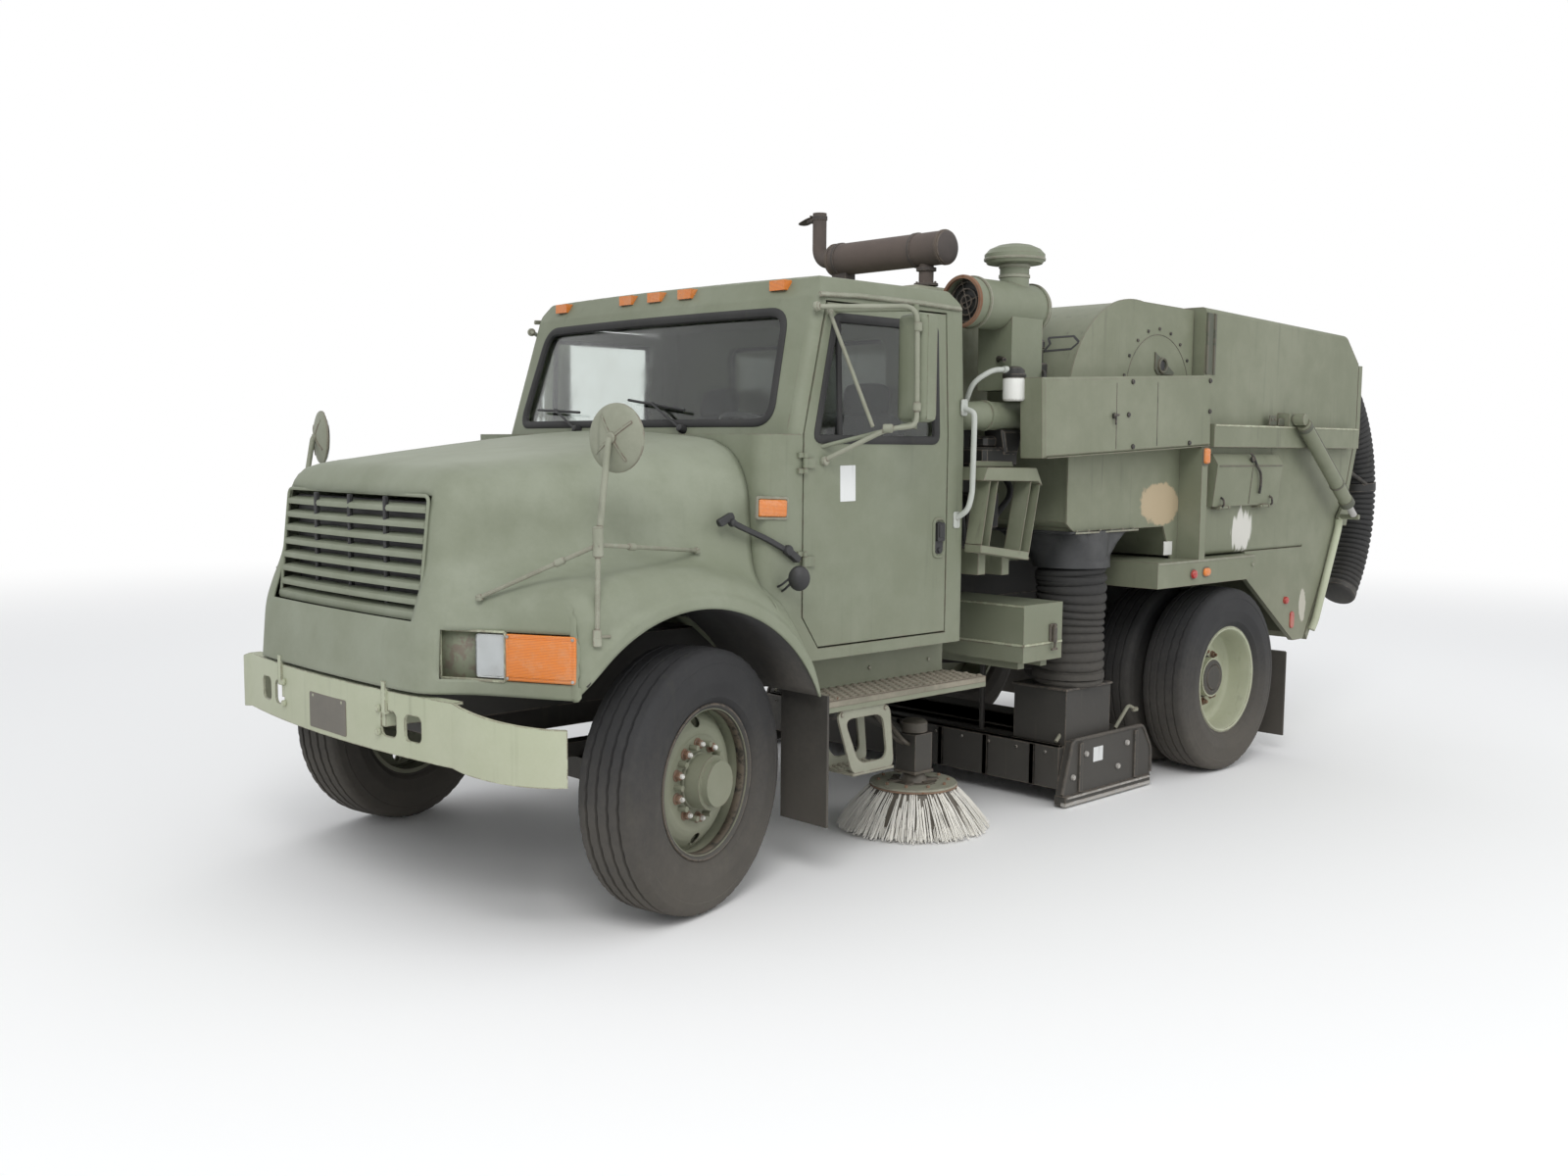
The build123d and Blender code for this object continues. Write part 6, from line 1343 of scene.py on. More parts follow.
# Hood fittings: a rubber pull at the latch, and a small round mirror on the fender's tail
latch_path = [(0.99, 0.268, 1.506), (1.006, 0.36, 1.462), (1.042, 0.44, 1.424), (1.05, 0.56, 1.366),
    (1.048, 0.6, 1.345)]
latch_side = np.array([0.985, -0.12, 0.1])
latch = joined([flat_bar(bent(latch_path, 0.05), 0.022, 0.012, normals=latch_side),
    on_axis(outward(slab(rounded_rectangle(0.075, 0.03, 0.008, 3), -0.006, 0.02, 0.003)),
    (0.985, 0.276, 1.5), (0.98, -0.15, 0.05), (0, 0.9, 0.43)),
    on_axis(outward(slab(rounded_rectangle(0.03, 0.085, 0.008, 3), -0.012, 0.022, 0.003)),
    (1.04, 0.585, 1.352), (1, 0, 0), (0, 0.55, 0.83)), knob((1.052, 0.552, 1.372), 0.022, 0.02),
    knob((0.998, 0.3, 1.488), 0.016, 0.022, z_dir=(1, -0.1, 0))])
round_mirror = joined([moved(outward(turned([(0.02, -0.014), (0.046, -0.012), (0.052, -0.004),
    (0.048, 0.01), (0.03, 0.024), (0.01, 0.03)], 24)),
    np.array(axes_at((1.115, 0.56, 1.262), (0, 0, 1), (0.75, -0.65, -0.1))) @ np.diag([1, 0.85, 1, 1])),
    rod([(1.022, 0.52, 1.222), (1.06, 0.515, 1.235), (1.085, 0.535, 1.262)], 0.005, 8, 0.015),
    rod([(1.03, 0.545, 1.205), (1.065, 0.53, 1.218), (1.09, 0.54, 1.245)], 0.005, 8, 0.015)])
put_pair("hood_pulls", joined([latch, round_mirror]), black_plastic, "hood", "trim_black")

# Fender mirrors: a domed round back with crossed ribs, a post with a collar, two braces
MIRROR_AT = np.array([1.120, -0.347, 1.811])
BACK = np.array([0.225, -0.974, 0.0])
dome_profile = [(0.112, 0.002), (0.12, 0.004), (0.1225, 0.0), (0.1225, 0.008), (0.118, 0.013), (0.1, 0.02),
    (0.07, 0.028), (0.035, 0.033), (0.01, 0.0345)]
dome = lathe(dome_profile, 48, MIRROR_AT, BACK)


def dome_rib(angle):
    """A narrow raised rib across the dome, following its height."""
    s = np.linspace(-0.098, 0.098, 15)
    height = np.interp(np.abs(s), [0.0, 0.01, 0.035, 0.07, 0.1, 0.118],
        [0.0345, 0.0345, 0.033, 0.028, 0.02, 0.013])
    path = np.stack([s * math.cos(angle), s * math.sin(angle), height - 0.001], axis=-1)
    return on_axis(strip(path, (0, 0, 1),
        [(-0.005, -0.002), (-0.004, 0.004), (0.004, 0.004), (0.005, -0.002)], closed=False), MIRROR_AT,
        BACK)


hub = lathe([(0.02, 0.03), (0.02, 0.04), (0.015, 0.046), (0.006, 0.047)], 16, MIRROR_AT, BACK)
face = lathe([(0.116, 0.0), (0.119, -0.002), (0.116, -0.006), (0.06, -0.01), (0.01, -0.012)], 48, MIRROR_AT,
    BACK)
HEAD_FOOT, JOINT, FOOT = (np.array([1.128, -0.392, 1.8]), np.array([1.145, -0.452, 1.44]),
    np.array([1.172, -0.478, 1.118]))
post = joined([rod([MIRROR_AT + BACK * 0.04, HEAD_FOOT, JOINT], 0.012, 12, 0.03),
    rod([JOINT, FOOT], 0.0095, 10), upright([(0.013, -0.045), (0.019, -0.04), (0.019, 0.06),
    (0.013, 0.065)], 14, JOINT), lathe([(0.01, -0.014), (0.018, -0.01), (0.018, 0.01), (0.01, 0.014)], 14,
    JOINT, (0.8, 0.5, 0.1))])
BRACE_A, BRACE_B = np.array([0.8, -0.715, 1.246]), np.array([0.965, 0.15, 1.384])


def brace(foot):
    middle = JOINT + (foot - JOINT) * 0.32
    along_it = (foot - JOINT) / np.linalg.norm(foot - JOINT)
    return joined([rod([JOINT, foot], 0.0085, 10),
        lathe([(0.01, -0.02), (0.0135, -0.016), (0.0135, 0.016), (0.01, 0.02)], 12, middle, along_it),
        lathe([(0.006, -0.012), (0.014, -0.008), (0.014, 0.006), (0.006, 0.012)], 12, foot,
        (0.1, -0.2, 1.0), (1, 0, 0))])


cross_bar = joined([rod([FOOT + np.array([-0.035, -0.05, 0.002]), FOOT + np.array([0.004, 0.055, 0.002])],
    0.0055, 10), on_axis(outward(slab(rounded_rectangle(0.06, 0.03, 0.006, 3), -0.01, 0.01, 0.002)), FOOT,
    (0.85, -0.5, 0.1), (0, 0, 1))])
for side, turn in SIDE_TURNS:
    put("fender_mirror_" + side, turn(joined([dome, dome_rib(0.6), dome_rib(0.6 + math.pi / 2), hub])),
        dull_olive, "hood", "olive_paint")
    put("fender_mirror_face_" + side, turn(face), chrome, "hood", "steel")
post_piece = put_pair("fender_mirror_posts", joined([post, brace(BRACE_A), brace(BRACE_B), cross_bar]),
    dull_olive, "hood", "olive_paint")
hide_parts("fender_mirrors")

# Bumper: a blank plate on two bolts, bolts over the brackets
BUMPER_L = -0.9052
number_plate = plate_shape(0.3, 0.14, 0.008, 0.003,
    axes_at((0.004, BUMPER_L + 0.0026, 0.742), (1, 0, 0), (0, -1, 0)))
plate_bolts = joined([knob((x, BUMPER_L + 0.004, 0.8), 0.008, 0.005, 10, z_dir=(0, -1, 0))
    for x in (-0.115, 0.12)])
bumper_bolts = joined([knob((x, BUMPER_L + 0.01, z), 0.014, 0.011, 12, z_dir=(0, -1, 0))
    for x in (-0.392, 0.392) for z in (0.815, 0.728)])
put("number_plate", number_plate, grey_plate, "chassis", "frame_black")
put("bumper_bolts", joined([plate_bolts, bumper_bolts]), pale_green, "chassis", "green_trim")


# Seats: crowned cushions and backs, flat below
def cushion(width, depth, height, crown, place, axes_turn=0.0, rows=22, columns=44):
    """A superellipse outline whose sides swell towards the middle of the height and whose top is crowned:
    x and y follow sign(cos a)|cos a|^0.45, the height follows the sine of the latitude to the power 0.6."""
    a = np.linspace(0, 2 * math.pi, columns, endpoint=False)
    t = np.linspace(-math.pi / 2, math.pi / 2, rows + 2)[1:-1]
    ring_x = np.sign(np.cos(a)) * np.abs(np.cos(a)) ** 0.45
    ring_y = np.sign(np.sin(a)) * np.abs(np.sin(a)) ** 0.45
    swell = np.abs(np.cos(t))[:, None] ** 0.35
    up = (np.sign(np.sin(t)) * np.abs(np.sin(t)) ** 0.6)[:, None]
    x = width / 2 * ring_x * swell
    y = depth / 2 * ring_y * swell
    mound = np.clip(1 - (2 * x / width) ** 2, 0, 1) * np.clip(1 - (2 * y / depth) ** 2, 0, 1)
    seam = 0.006 * np.exp(-((np.abs(x) - width * 0.3) / 0.008) ** 2) * (up > 0.3)
    z = height / 2 * up + crown * mound * (up > 0) - seam
    grid = np.stack([x, y, np.broadcast_to(z, x.shape)], axis=-1)
    lean = np.array(Matrix.Translation(place) @ Matrix.Rotation(axes_turn, 4, "X"))
    return moved(outward(sheet_shape(grid, loop_columns=True, cap_rows=True)), lean)


SEAT_X = 0.52
BACK_LEAN = math.radians(84)


def seat_part(name, place, measures, lean=0.0):
    """One cushion; place is (l, z) of its middle, measures its width, depth, height and crown."""
    shape = cushion(*measures, (sign * SEAT_X, *place), lean)
    return put(name + side, shape, seat_cloth, "chassis", "seat_cover", 60)


for side, sign in SIDES:
    seat = seat_part("seat_cushion_", (1.345, 1.285), (0.5, 0.5, 0.14, 0.018))
    back = seat_part("seat_back_", (1.545, 1.65), (0.48, 0.6, 0.11, 0.018), BACK_LEAN)
    rest = seat_part("seat_head_rest_", (1.575, 2.005), (0.26, 0.16, 0.08, 0.01), BACK_LEAN)
    if sign > 0:
        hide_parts("seats")
seat_bases = joined([box_shape(sign * SEAT_X - 0.2, sign * SEAT_X + 0.2, 1.16, 1.5, 0.951, 1.225, 0.01)
    for _, sign in SIDES])
put("seat_bases", seat_bases, black_plastic, "chassis", "trim_black")


# Equipment behind the cab
def side_slab(outline, x0, x1, bevel=0.002):
    """An outline of (l, z) points carried along x, its rims bevelled."""
    outline = np.asarray(outline, float)
    after = np.roll(outline, -1, axis=0)
    if (outline[:, 0] * after[:, 1] - outline[:, 1] * after[:, 0]).sum() < 0:
        outline = outline[::-1]
    points, faces = outward(slab(outline, x0, x1, bevel))
    return points[:, [2, 0, 1]], faces


def ring_on(origin, z_dir, radius, width, proud, count=32):
    """A band round a pipe: its ends slope down to the pipe."""
    rows = [(radius - 0.002, -width / 2 - 0.002), (radius + proud, -width / 2), (radius + proud, width / 2),
        (radius - 0.002, width / 2 + 0.002)]
    x_dir = (0, 0, 1) if abs(z_dir[2]) < 0.8 else (1, 0, 0)
    return lathe(rows, count, origin, z_dir, x_dir)


def wave_hose(path, radius, pitch, depth, count=32, per_wave=6):
    """A hose with rings: along the path the radius swells and falls with |sin|, one ring each pitch."""
    path = np.asarray(path, float)
    length = np.concatenate([[0], np.cumsum(np.linalg.norm(np.diff(path, axis=0), axis=1))])
    waves = max(2, int(round(length[-1] / pitch)))
    at = np.linspace(0, length[-1], waves * per_wave + 1)
    fine = np.column_stack([np.interp(at, length, path[:, k]) for k in range(3)])
    phase = at / length[-1] * waves * math.pi
    return outward(tube(fine, radius - depth + depth * np.abs(np.sin(phase)) ** 0.6, count))


cowl_paint = painted("cowl_paint", (0.215, 0.225, 0.155, 1), (0.36, 0.365, 0.285, 1), fade=0.8, rust=0.32,
    rust_scale=5.0, streaks=0.3, dirt=0.3)
dark_olive = painted("dark_olive_paint", (0.075, 0.082, 0.058, 1), (0.14, 0.148, 0.108, 1), fade=0.5,
    rust=0.15, dirt=0.3)
oily_black = painted("oily_black", (0.014, 0.014, 0.013, 1), (0.04, 0.037, 0.032, 1), rust=0.2, dirt=0.3,
    rough=0.5)

cowl_rings = ((0, 1.9605), (0, 2.462), (-0.003, 2.464), (-0.003, 2.474), (0, 2.476), (0, 2.53),
    (0.003, 2.545), (0.01, 2.555), (0.03, 2.56))
cowl_points, cowl_faces = outward(sheet_shape(nested(1.336, 0.576, 0.035, cowl_rings), loop_columns=True,
    cap_rows=True))
cowl = (cowl_points + np.array([-0.03, 2.08, 0]), cowl_faces)
cowl_piece = put("cowl", cowl, cowl_paint, "chassis", "olive_paint")
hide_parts("engine_cowl")

# Control frame of bent sheet: a tray with sloping ends on two leaning channels and a sill
tray = joined([side_slab([(1.72, 1.64), (2.13, 1.632), (2.167, 1.612), (2.119, 1.696), (1.751, 1.7)], 0.97,
    1.12, 0.003), side_slab([(1.775, 1.702), (2.095, 1.7), (2.085, 1.724), (1.79, 1.728)], 0.985, 1.0,
    0.002)])


def channel(low, high, width, x0, x1, skin=0.004):
    """A folded channel leaning between two places (l, z): a web and two flanges."""
    low, high = np.asarray(low, float), np.asarray(high, float)
    way = (high - low) / np.linalg.norm(high - low)
    across = np.array([-way[1], way[0]]) * width / 2
    web = side_slab([low - across, high - across, high + across, low + across], x0, x0 + skin, 0.001)
    edges = [side_slab([low + s * across, high + s * across, high + s * across * (1 - 2 * skin / width),
        low + s * across * (1 - 2 * skin / width)], x0, x1, 0.001) for s in (-1, 1)]
    return joined([web] + edges)


control_frame = joined([tray, channel((1.748, 1.345), (1.805, 1.64), 0.06, 1.02, 1.115),
    channel((2.04, 1.285), (2.12, 1.634), 0.075, 1.02, 1.115),
    side_slab([(1.716, 1.312), (2.08, 1.262), (2.08, 1.3), (1.716, 1.348)], 1.018, 1.115, 0.003),
    side_slab([(1.805, 1.2), (1.86, 1.2), (1.86, 1.3), (1.805, 1.32)], 0.56, 1.03, 0.003),
    side_slab([(1.985, 1.19), (2.04, 1.19), (2.04, 1.275), (1.985, 1.285)], 0.56, 1.03, 0.003)])
put("control_frame", control_frame, body_olive, "chassis", "body_paint")
blocks = joined([box_shape(0.82, 0.99, 1.89, 2.15, 1.7, 1.79, 0.012),
    box_shape(0.85, 0.96, 1.93, 2.02, 1.79, 1.842, 0.01),
    box_shape(0.84, 0.975, 2.05, 2.12, 1.79, 1.826, 0.008),
    box_shape(0.86, 0.94, 1.85, 2.08, 1.4, 1.58, 0.012), box_shape(0.7, 0.9, 1.86, 2.085, 1.3, 1.45, 0.02),
    side_slab([(2.0, 1.874), (2.16, 1.874), (2.13, 1.76), (2.03, 1.76)], 0.885, 1.005, 0.012)])
levers = joined([block(0.895, 0.985, 2.3, 2.375, 2.04, 2.2, 0.006),
    upright([(0.03, 0.0), (0.03, 0.07), (0.038, 0.075), (0.038, 0.105), (0.028, 0.118)], 18,
    (0.94, 2.34, 2.198)), rod([(0.985, 2.32, 2.16), (1.02, 2.3, 2.15), (1.02, 2.295, 2.06)], 0.009, 10,
    0.02), rod([(0.9, 2.3, 2.12), (0.88, 2.2, 2.13), (0.93, 2.04, 2.215), (0.99, 2.02, 2.2)], 0.011, 10,
    0.05)])
put("engine_blocks", joined([outward(blocks), levers]), oily_black, "chassis", "frame_black")

engine_hoses = joined([rod([(0.86, 1.84, 1.62), (0.93, 1.8, 1.5), (0.9, 1.86, 1.36), (0.78, 1.95, 1.3)],
    0.013, 10, 0.08), rod([(0.92, 1.93, 1.6), (0.96, 2.0, 1.48), (0.9, 2.06, 1.38), (0.74, 2.07, 1.34)],
    0.011, 10, 0.08), rod([(0.88, 2.12, 1.7), (0.96, 2.16, 1.58), (0.92, 2.06, 1.46), (0.78, 2.05, 1.24)],
    0.015, 10, 0.1), rod([(0.75, 1.83, 1.9), (0.88, 1.8, 1.8), (0.9, 1.84, 1.66)], 0.012, 10, 0.06),
    rod([(0.62, 1.8, 1.74), (0.8, 1.76, 1.44), (0.82, 1.82, 1.15), (0.7, 2.0, 1.02)], 0.014, 10, 0.12)])
put("engine_hoses", engine_hoses, rubber, "chassis", "rubber_black")

# Filter can, its head and hose
CAN = np.array([1.060, 2.006, 0.0])
can = upright([(0.044, 2.006), (0.051, 2.012), (0.0525, 2.02), (0.0525, 2.104), (0.05, 2.112),
    (0.04, 2.116)], 32, CAN)
can_head = joined([upright([(0.054, 2.112), (0.056, 2.118), (0.056, 2.128), (0.046, 2.138), (0.036, 2.16),
    (0.02, 2.166)], 24, CAN), block(0.985, 1.075, 2.03, 2.075, 2.118, 2.158, 0.006)])
can_hose = joined([rod([(1.05, 1.985, 2.148), (1.02, 1.905, 2.15), (0.955, 1.83, 2.09), (0.9, 1.85, 1.99)],
    0.0125, 12, 0.08), ring_on((1.044, 1.96, 2.149), (0.25, 0.95, 0), 0.0125, 0.022, 0.004, 16)])
put("filter_can", can, white_paint, "chassis", "bristle_white")
put("filter_head", can_head, oily_black, "chassis", "frame_black")
put("filter_hose", can_hose, grab_paint, "chassis", "steel")

# Intake pipe lying along the truck, with its elbow and clamp
intake = joined([outward(tube(bent([(0.955, 2.42, 1.936), (0.955, 1.86, 1.938), (0.8, 1.79, 1.93),
    (0.6, 1.79, 1.925)], 0.11, 12), 0.066, 32)),
    ring_on((0.955, 1.915, 1.938), (0, 1, 0), 0.066, 0.018, 0.006),
    ring_on((0.955, 2.33, 1.937), (0, 1, 0), 0.066, 0.012, 0.004)])
put("intake_pipe", intake, olive, "chassis", "olive_paint")

# Air cleaner mouth: a rusty rim, a dark screen of rings and bars set back in it
AC_X, AC_Z, MOUTH_L = 0.9, 2.46, 1.8
rim = lathe([(0.104, -0.004), (0.104, 0.014), (0.117, 0.014), (0.121, 0.008), (0.121, 0.0),
    (0.117, -0.004)], 48, (AC_X, MOUTH_L + 0.012, AC_Z), (0, -1, 0), closed=True)
screen = joined([lathe([(0.1065, 0.0), (0.1065, 0.004), (0.02, 0.006)], 40, (AC_X, MOUTH_L + 0.058, AC_Z),
    (0, -1, 0))] + [lathe([(r - 0.003, 0.0), (r - 0.003, 0.006), (r + 0.003, 0.006), (r + 0.003, 0.0)], 36,
    (AC_X, MOUTH_L + 0.045, AC_Z), (0, -1, 0), closed=True) for r in (0.03, 0.06, 0.09)]
    + [rod([(AC_X - 0.105 * math.cos(t), MOUTH_L + 0.042, AC_Z - 0.105 * math.sin(t)),
    (AC_X + 0.105 * math.cos(t), MOUTH_L + 0.042, AC_Z + 0.105 * math.sin(t))], 0.003, 8)
    for t in (0.3, 0.3 + math.pi / 2)])
neck_rings = joined([ring_on((AC_X, 2.2, z), (0, 0, 1), 0.07, 0.014, 0.005) for z in (2.605, 2.652)]
    + [ring_on((AC_X, l, AC_Z), (0, 1, 0), 0.12, 0.012, 0.003, 48) for l in (1.882, 2.328)])
cap_lip = upright([(0.13, 0.0), (0.146, -0.006), (0.1475, 0.002), (0.145, 0.006)], 48,
    (AC_X, 2.2, AC_Z + 0.225))
put("air_cleaner_rim", rim, rust_iron, "chassis", "rust_metal")
put("air_cleaner_screen", screen, oily_black, "chassis", "frame_black")
put("air_cleaner_bands", joined([neck_rings, cap_lip]), dull_olive, "chassis", "olive_paint")

# Exhaust: a saddle and a collar below the muffler, a dished end, a rain flap on the pipe
MUFFLER_L, MUFFLER_Z = 1.95, 2.74
PIPE_X = 0.56
saddle = joined([side_slab([(1.88, 2.5605), (2.02, 2.5605), (2.02, 2.575), (1.99, 2.585), (1.985, 2.69),
    (1.915, 2.69), (1.91, 2.585), (1.88, 2.575)], -0.045, 0.055, 0.003),
    ring_on((PIPE_X, MUFFLER_L, 2.645), (0, 0, 1), 0.037, 0.016, 0.012, 24),
    ring_on((PIPE_X, MUFFLER_L, 2.572), (0, 0, 1), 0.037, 0.012, 0.022, 24)]
    + [ring_on((x, MUFFLER_L, MUFFLER_Z), (1, 0, 0), 0.081, 0.02, 0.004, 40) for x in (-0.005, 0.505)]
    + [nut((PIPE_X + 0.045 * math.cos(t), MUFFLER_L + 0.045 * math.sin(t), 2.578), (0, 0, 1), 0.012, 0.01)
    for t in (0.5, 2.1, 3.7, 5.2)])
dished_end = lathe([(0.079, 0.0), (0.074, 0.006), (0.05, 0.016), (0.02, 0.02)], 40,
    (0.6895, MUFFLER_L, MUFFLER_Z))
flap = joined([ring_on((-0.17, MUFFLER_L, 2.965), (0, 0, 1), 0.036, 0.02, 0.004, 24),
    moved(outward(slab(rounded_rectangle(0.105, 0.078, 0.03, 5), 0, 0.003, 0.001)),
    axes_at((-0.255, MUFFLER_L, 2.956), (1, 0, 0.3), (-0.3, 0, 1))),
    rod([(-0.205, MUFFLER_L - 0.035, 2.975), (-0.205, MUFFLER_L + 0.035, 2.975)], 0.005, 8),
    block(-0.24, -0.2, MUFFLER_L - 0.028, MUFFLER_L + 0.028, 2.945, 2.966, 0.003)])
exhaust_brown = painted("exhaust_brown", (0.055, 0.047, 0.044, 1), (0.095, 0.078, 0.07, 1), fade=0.8,
    rust=0.2, rough=0.8, dirt=0.0)
put("muffler_fittings", joined([saddle, flap]), exhaust_brown, "chassis", "rust_metal")
put("muffler_end", dished_end, exhaust_brown, "chassis", "rust_metal")


# Steps, brooms, pickup head and hoses
def scattered(shape, places):
    """The shape set down at each of the places."""
    points, faces = shape
    places = np.asarray(places, float)
    starts = len(points) * np.arange(len(places))[:, None, None]
    return ((points[None] + places[:, None]).reshape(-1, 3),
        [(f[None] + starts).reshape(-1, f.shape[1]) for f in faces])


def raster(x_range, y_range, z, columns, rows, stagger=True):
    """Places in rows over a rectangle, every second row set over by half a space if staggered."""
    x, y = np.meshgrid(np.linspace(*x_range, columns), np.linspace(*y_range, rows), indexing="ij")
    if stagger:
        y = y + (np.arange(columns) % 2)[:, None] * (y_range[1] - y_range[0]) / (rows - 1) / 2
    return np.stack([x, y, np.full_like(x, z)], axis=-1).reshape(-1, 3)


def frame_plate(outer, inner, x0, x1, radius=0.05):
    """A plate with an opening, both outlines of (l, z) corners rounded, standing between x0 and x1."""
    rings = [(outer, x0), (outer, x1), (inner, x1), (inner, x0)]
    grid = []
    for corners, x in rings:
        flat = loop_bent(np.column_stack([np.zeros(len(corners)), np.asarray(corners, float)]), radius, 7)
        grid.append(np.column_stack([np.full(len(flat), x), flat[:, 1:]]))
    return outward(sheet_shape(np.stack(grid), loop_rows=True, loop_columns=True))


step_paint = painted("step_paint", (0.165, 0.16, 0.12, 1), (0.3, 0.27, 0.21, 1), fade=0.9, scale=2.0,
    rust=0.42, rust_scale=14.0, dirt=0.5, dirt_low=0.3, dirt_high=1.0, rough=0.8, wear=0.6)
stud = outward(turned([(0.0145, -0.0005), (0.012, 0.0055), (0.0075, 0.0075)], 8))
treads = joined([block(0.902, 1.139, 0.692, 1.738, 0.7485, 0.75, 0.0006),
    scattered(stud, raster((0.922, 1.118), (0.716, 1.695), 0.7495, 6, 22)),
    flat_bar([(1.1405, 0.695, 0.735), (1.1405, 1.735, 0.735)], 0.026, 0.002)])
put_pair("step_treads", treads, step_paint, "chassis", "olive_paint")
ARCH_OUTER = [(0.765, 0.699), (1.095, 0.699), (1.125, 0.415), (0.868, 0.415)]
ARCH_INNER = [(0.815, 0.660), (1.050, 0.660), (1.082, 0.462), (0.905, 0.462)]
low_step = joined([frame_plate(ARCH_OUTER, ARCH_INNER, x, x + 0.01) for x in (0.965, 1.122)]
    + [block(0.96, 1.134, 0.868, 1.126, 0.412, 0.424, 0.002),
    scattered(stud, raster((0.98, 1.115), (0.885, 1.1), 0.4235, 5, 8))]
    + [knob((1.1305, l, z), 0.009, 0.007, 10) for l, z in ((0.8, 0.682), (1.065, 0.682))])
put_pair("low_steps", low_step, dull_olive, "chassis", "olive_paint")
sill_bolts = joined([knob((0.9125, l, 0.815), 0.01, 0.006, 10) for l in (0.8, 1.2, 1.6)])
put_pair("step_bolts", sill_bolts, dull_olive, "chassis", "olive_paint")

# Brooms: an olive ring plate, a dark spoked middle, splayed bristles in five fans round a dark core
BROOM_X, BROOM_L, PLATE_Z = 0.8, 1.64, 0.205
BRISTLES, FANS, FAN_GAP = 1500, 5, 0.1
random = np.random.default_rng(7)


def bristle_fan(count):
    """Thin square rods from the plate out to the ground: each starts on a ring and runs along a curve
    whose radius grows with the square root of the fall; position, length and lean vary at random."""
    fan = random.integers(0, FANS, count)
    share = 2 * math.pi / FANS
    angle = fan * share + FAN_GAP / 2 + random.random(count) * (share - FAN_GAP)
    start = 0.128 + 0.07 * random.random(count)
    reach = (0.245 + 1.55 * (start - 0.12)) * (1 + random.normal(0, 0.018, count))
    reach = np.minimum(reach, 0.362)
    lean = random.normal(0, 0.03, count)
    end_z = 0.009 + 0.022 * random.random(count) ** 2
    t = np.array([0.0, 0.35, 0.7, 1.0])
    radius = start[:, None] + (reach - start)[:, None] * t ** 0.85
    turn = angle[:, None] + lean[:, None] * t ** 1.5
    z = PLATE_Z - 0.001 + (end_z - PLATE_Z)[:, None] * t
    middle = np.stack([radius * np.cos(turn), radius * np.sin(turn), z], axis=-1)
    half = 0.0017
    out = np.stack([np.cos(turn), np.sin(turn), np.zeros_like(turn)], axis=-1) * half
    side = np.stack([-np.sin(turn), np.cos(turn), np.zeros_like(turn)], axis=-1) * half
    corners = np.stack([middle + out + side, middle - out + side, middle - out - side, middle + out - side],
        axis=2)
    one = [sheet_faces(4, 4, loop_columns=True), np.array([[0, 1, 2, 3]]), np.array([[15, 14, 13, 12]])]
    starts = 16 * np.arange(count)[:, None, None]
    faces = [(f[None, :, ::-1] + starts).reshape(-1, 4) for f in one]
    return corners.reshape(-1, 3), faces


plate = turned([(0.108, 0.0), (0.205, 0.0), (0.2065, 0.003), (0.2065, 0.009), (0.204, 0.013), (0.15, 0.016),
    (0.11, 0.016), (0.108, 0.012)], 64, closed=True)
plate_rim = turned([(0.2045, -0.006), (0.2075, -0.006), (0.2085, 0.002), (0.2065, 0.004), (0.2045, 0.002)],
    64, closed=True)
broom_middle = joined([turned([(0.05, 0.006), (0.112, 0.006), (0.112, 0.012), (0.07, 0.016), (0.05, 0.05),
    (0.022, 0.05), (0.022, 0.006)], 40, closed=True)]
    + [moved(block(0.045, 0.125, -0.016, 0.016, 0.008, 0.022, 0.003),
    Matrix.Rotation(k * math.pi / 3, 4, "Z")) for k in range(6)])
plate_nuts = joined([nut((0.165 * math.cos(t), 0.165 * math.sin(t), 0.0145), (0, 0, 1), 0.017, 0.011, t)
    for t in np.linspace(0.2, 2 * math.pi + 0.2, 10, endpoint=False)])
core = turned([(0.11, PLATE_Z), (0.195, PLATE_Z), (0.24, 0.15), (0.295, 0.06), (0.285, 0.055),
    (0.225, 0.14), (0.15, 0.19), (0.11, 0.195)], 48, closed=True)
fans = bristle_fan(BRISTLES)
for side, sign in SIDES:
    body = "broom_" + side
    middle = Matrix.Translation((sign * BROOM_X, BROOM_L, PLATE_Z))
    ground = Matrix.Translation((sign * BROOM_X, BROOM_L, 0))
    bristle_piece = put("bristles_" + side, moved(fans, ground), bristle, body, "bristle_white", 60)
    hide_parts("broom_" + side)
    put("broom_plate_" + side, moved(outward(plate), middle), dull_olive, body, "olive_paint")
    put("broom_rim_" + side, moved(joined([outward(plate_rim), plate_nuts]), middle), rust_iron, body,
        "rust_metal")
    put("broom_middle_" + side, joined([moved(broom_middle, middle), moved(outward(core), ground)]),
        oily_black, body, "frame_black")
motor = joined([upright([(0.055, 0.452), (0.062, 0.458), (0.062, 0.5), (0.05, 0.512), (0.03, 0.516)], 28,
    (BROOM_X, BROOM_L, 0.0)), block(0.732, 0.868, 1.572, 1.708, 0.262, 0.276, 0.003)]
    + [nut((BROOM_X + 0.052 * sx, BROOM_L + 0.052 * sy, 0.276), (0, 0, 1), 0.012, 0.01) for sx in (-1, 1)
    for sy in (-1, 1)] + [rod([(0.8 + dx, 1.59, 0.4), (0.8 + dx, 1.545, 0.42), (0.64, 1.48 + dx, 0.6),
    (0.5, 1.4, 0.66)], 0.01, 10, 0.05) for dx in (-0.02, 0.02)])
for side, turn in SIDE_TURNS:
    put("broom_motor_" + side, turn(motor), oily_black, "broom_arm_" + side, "frame_black")

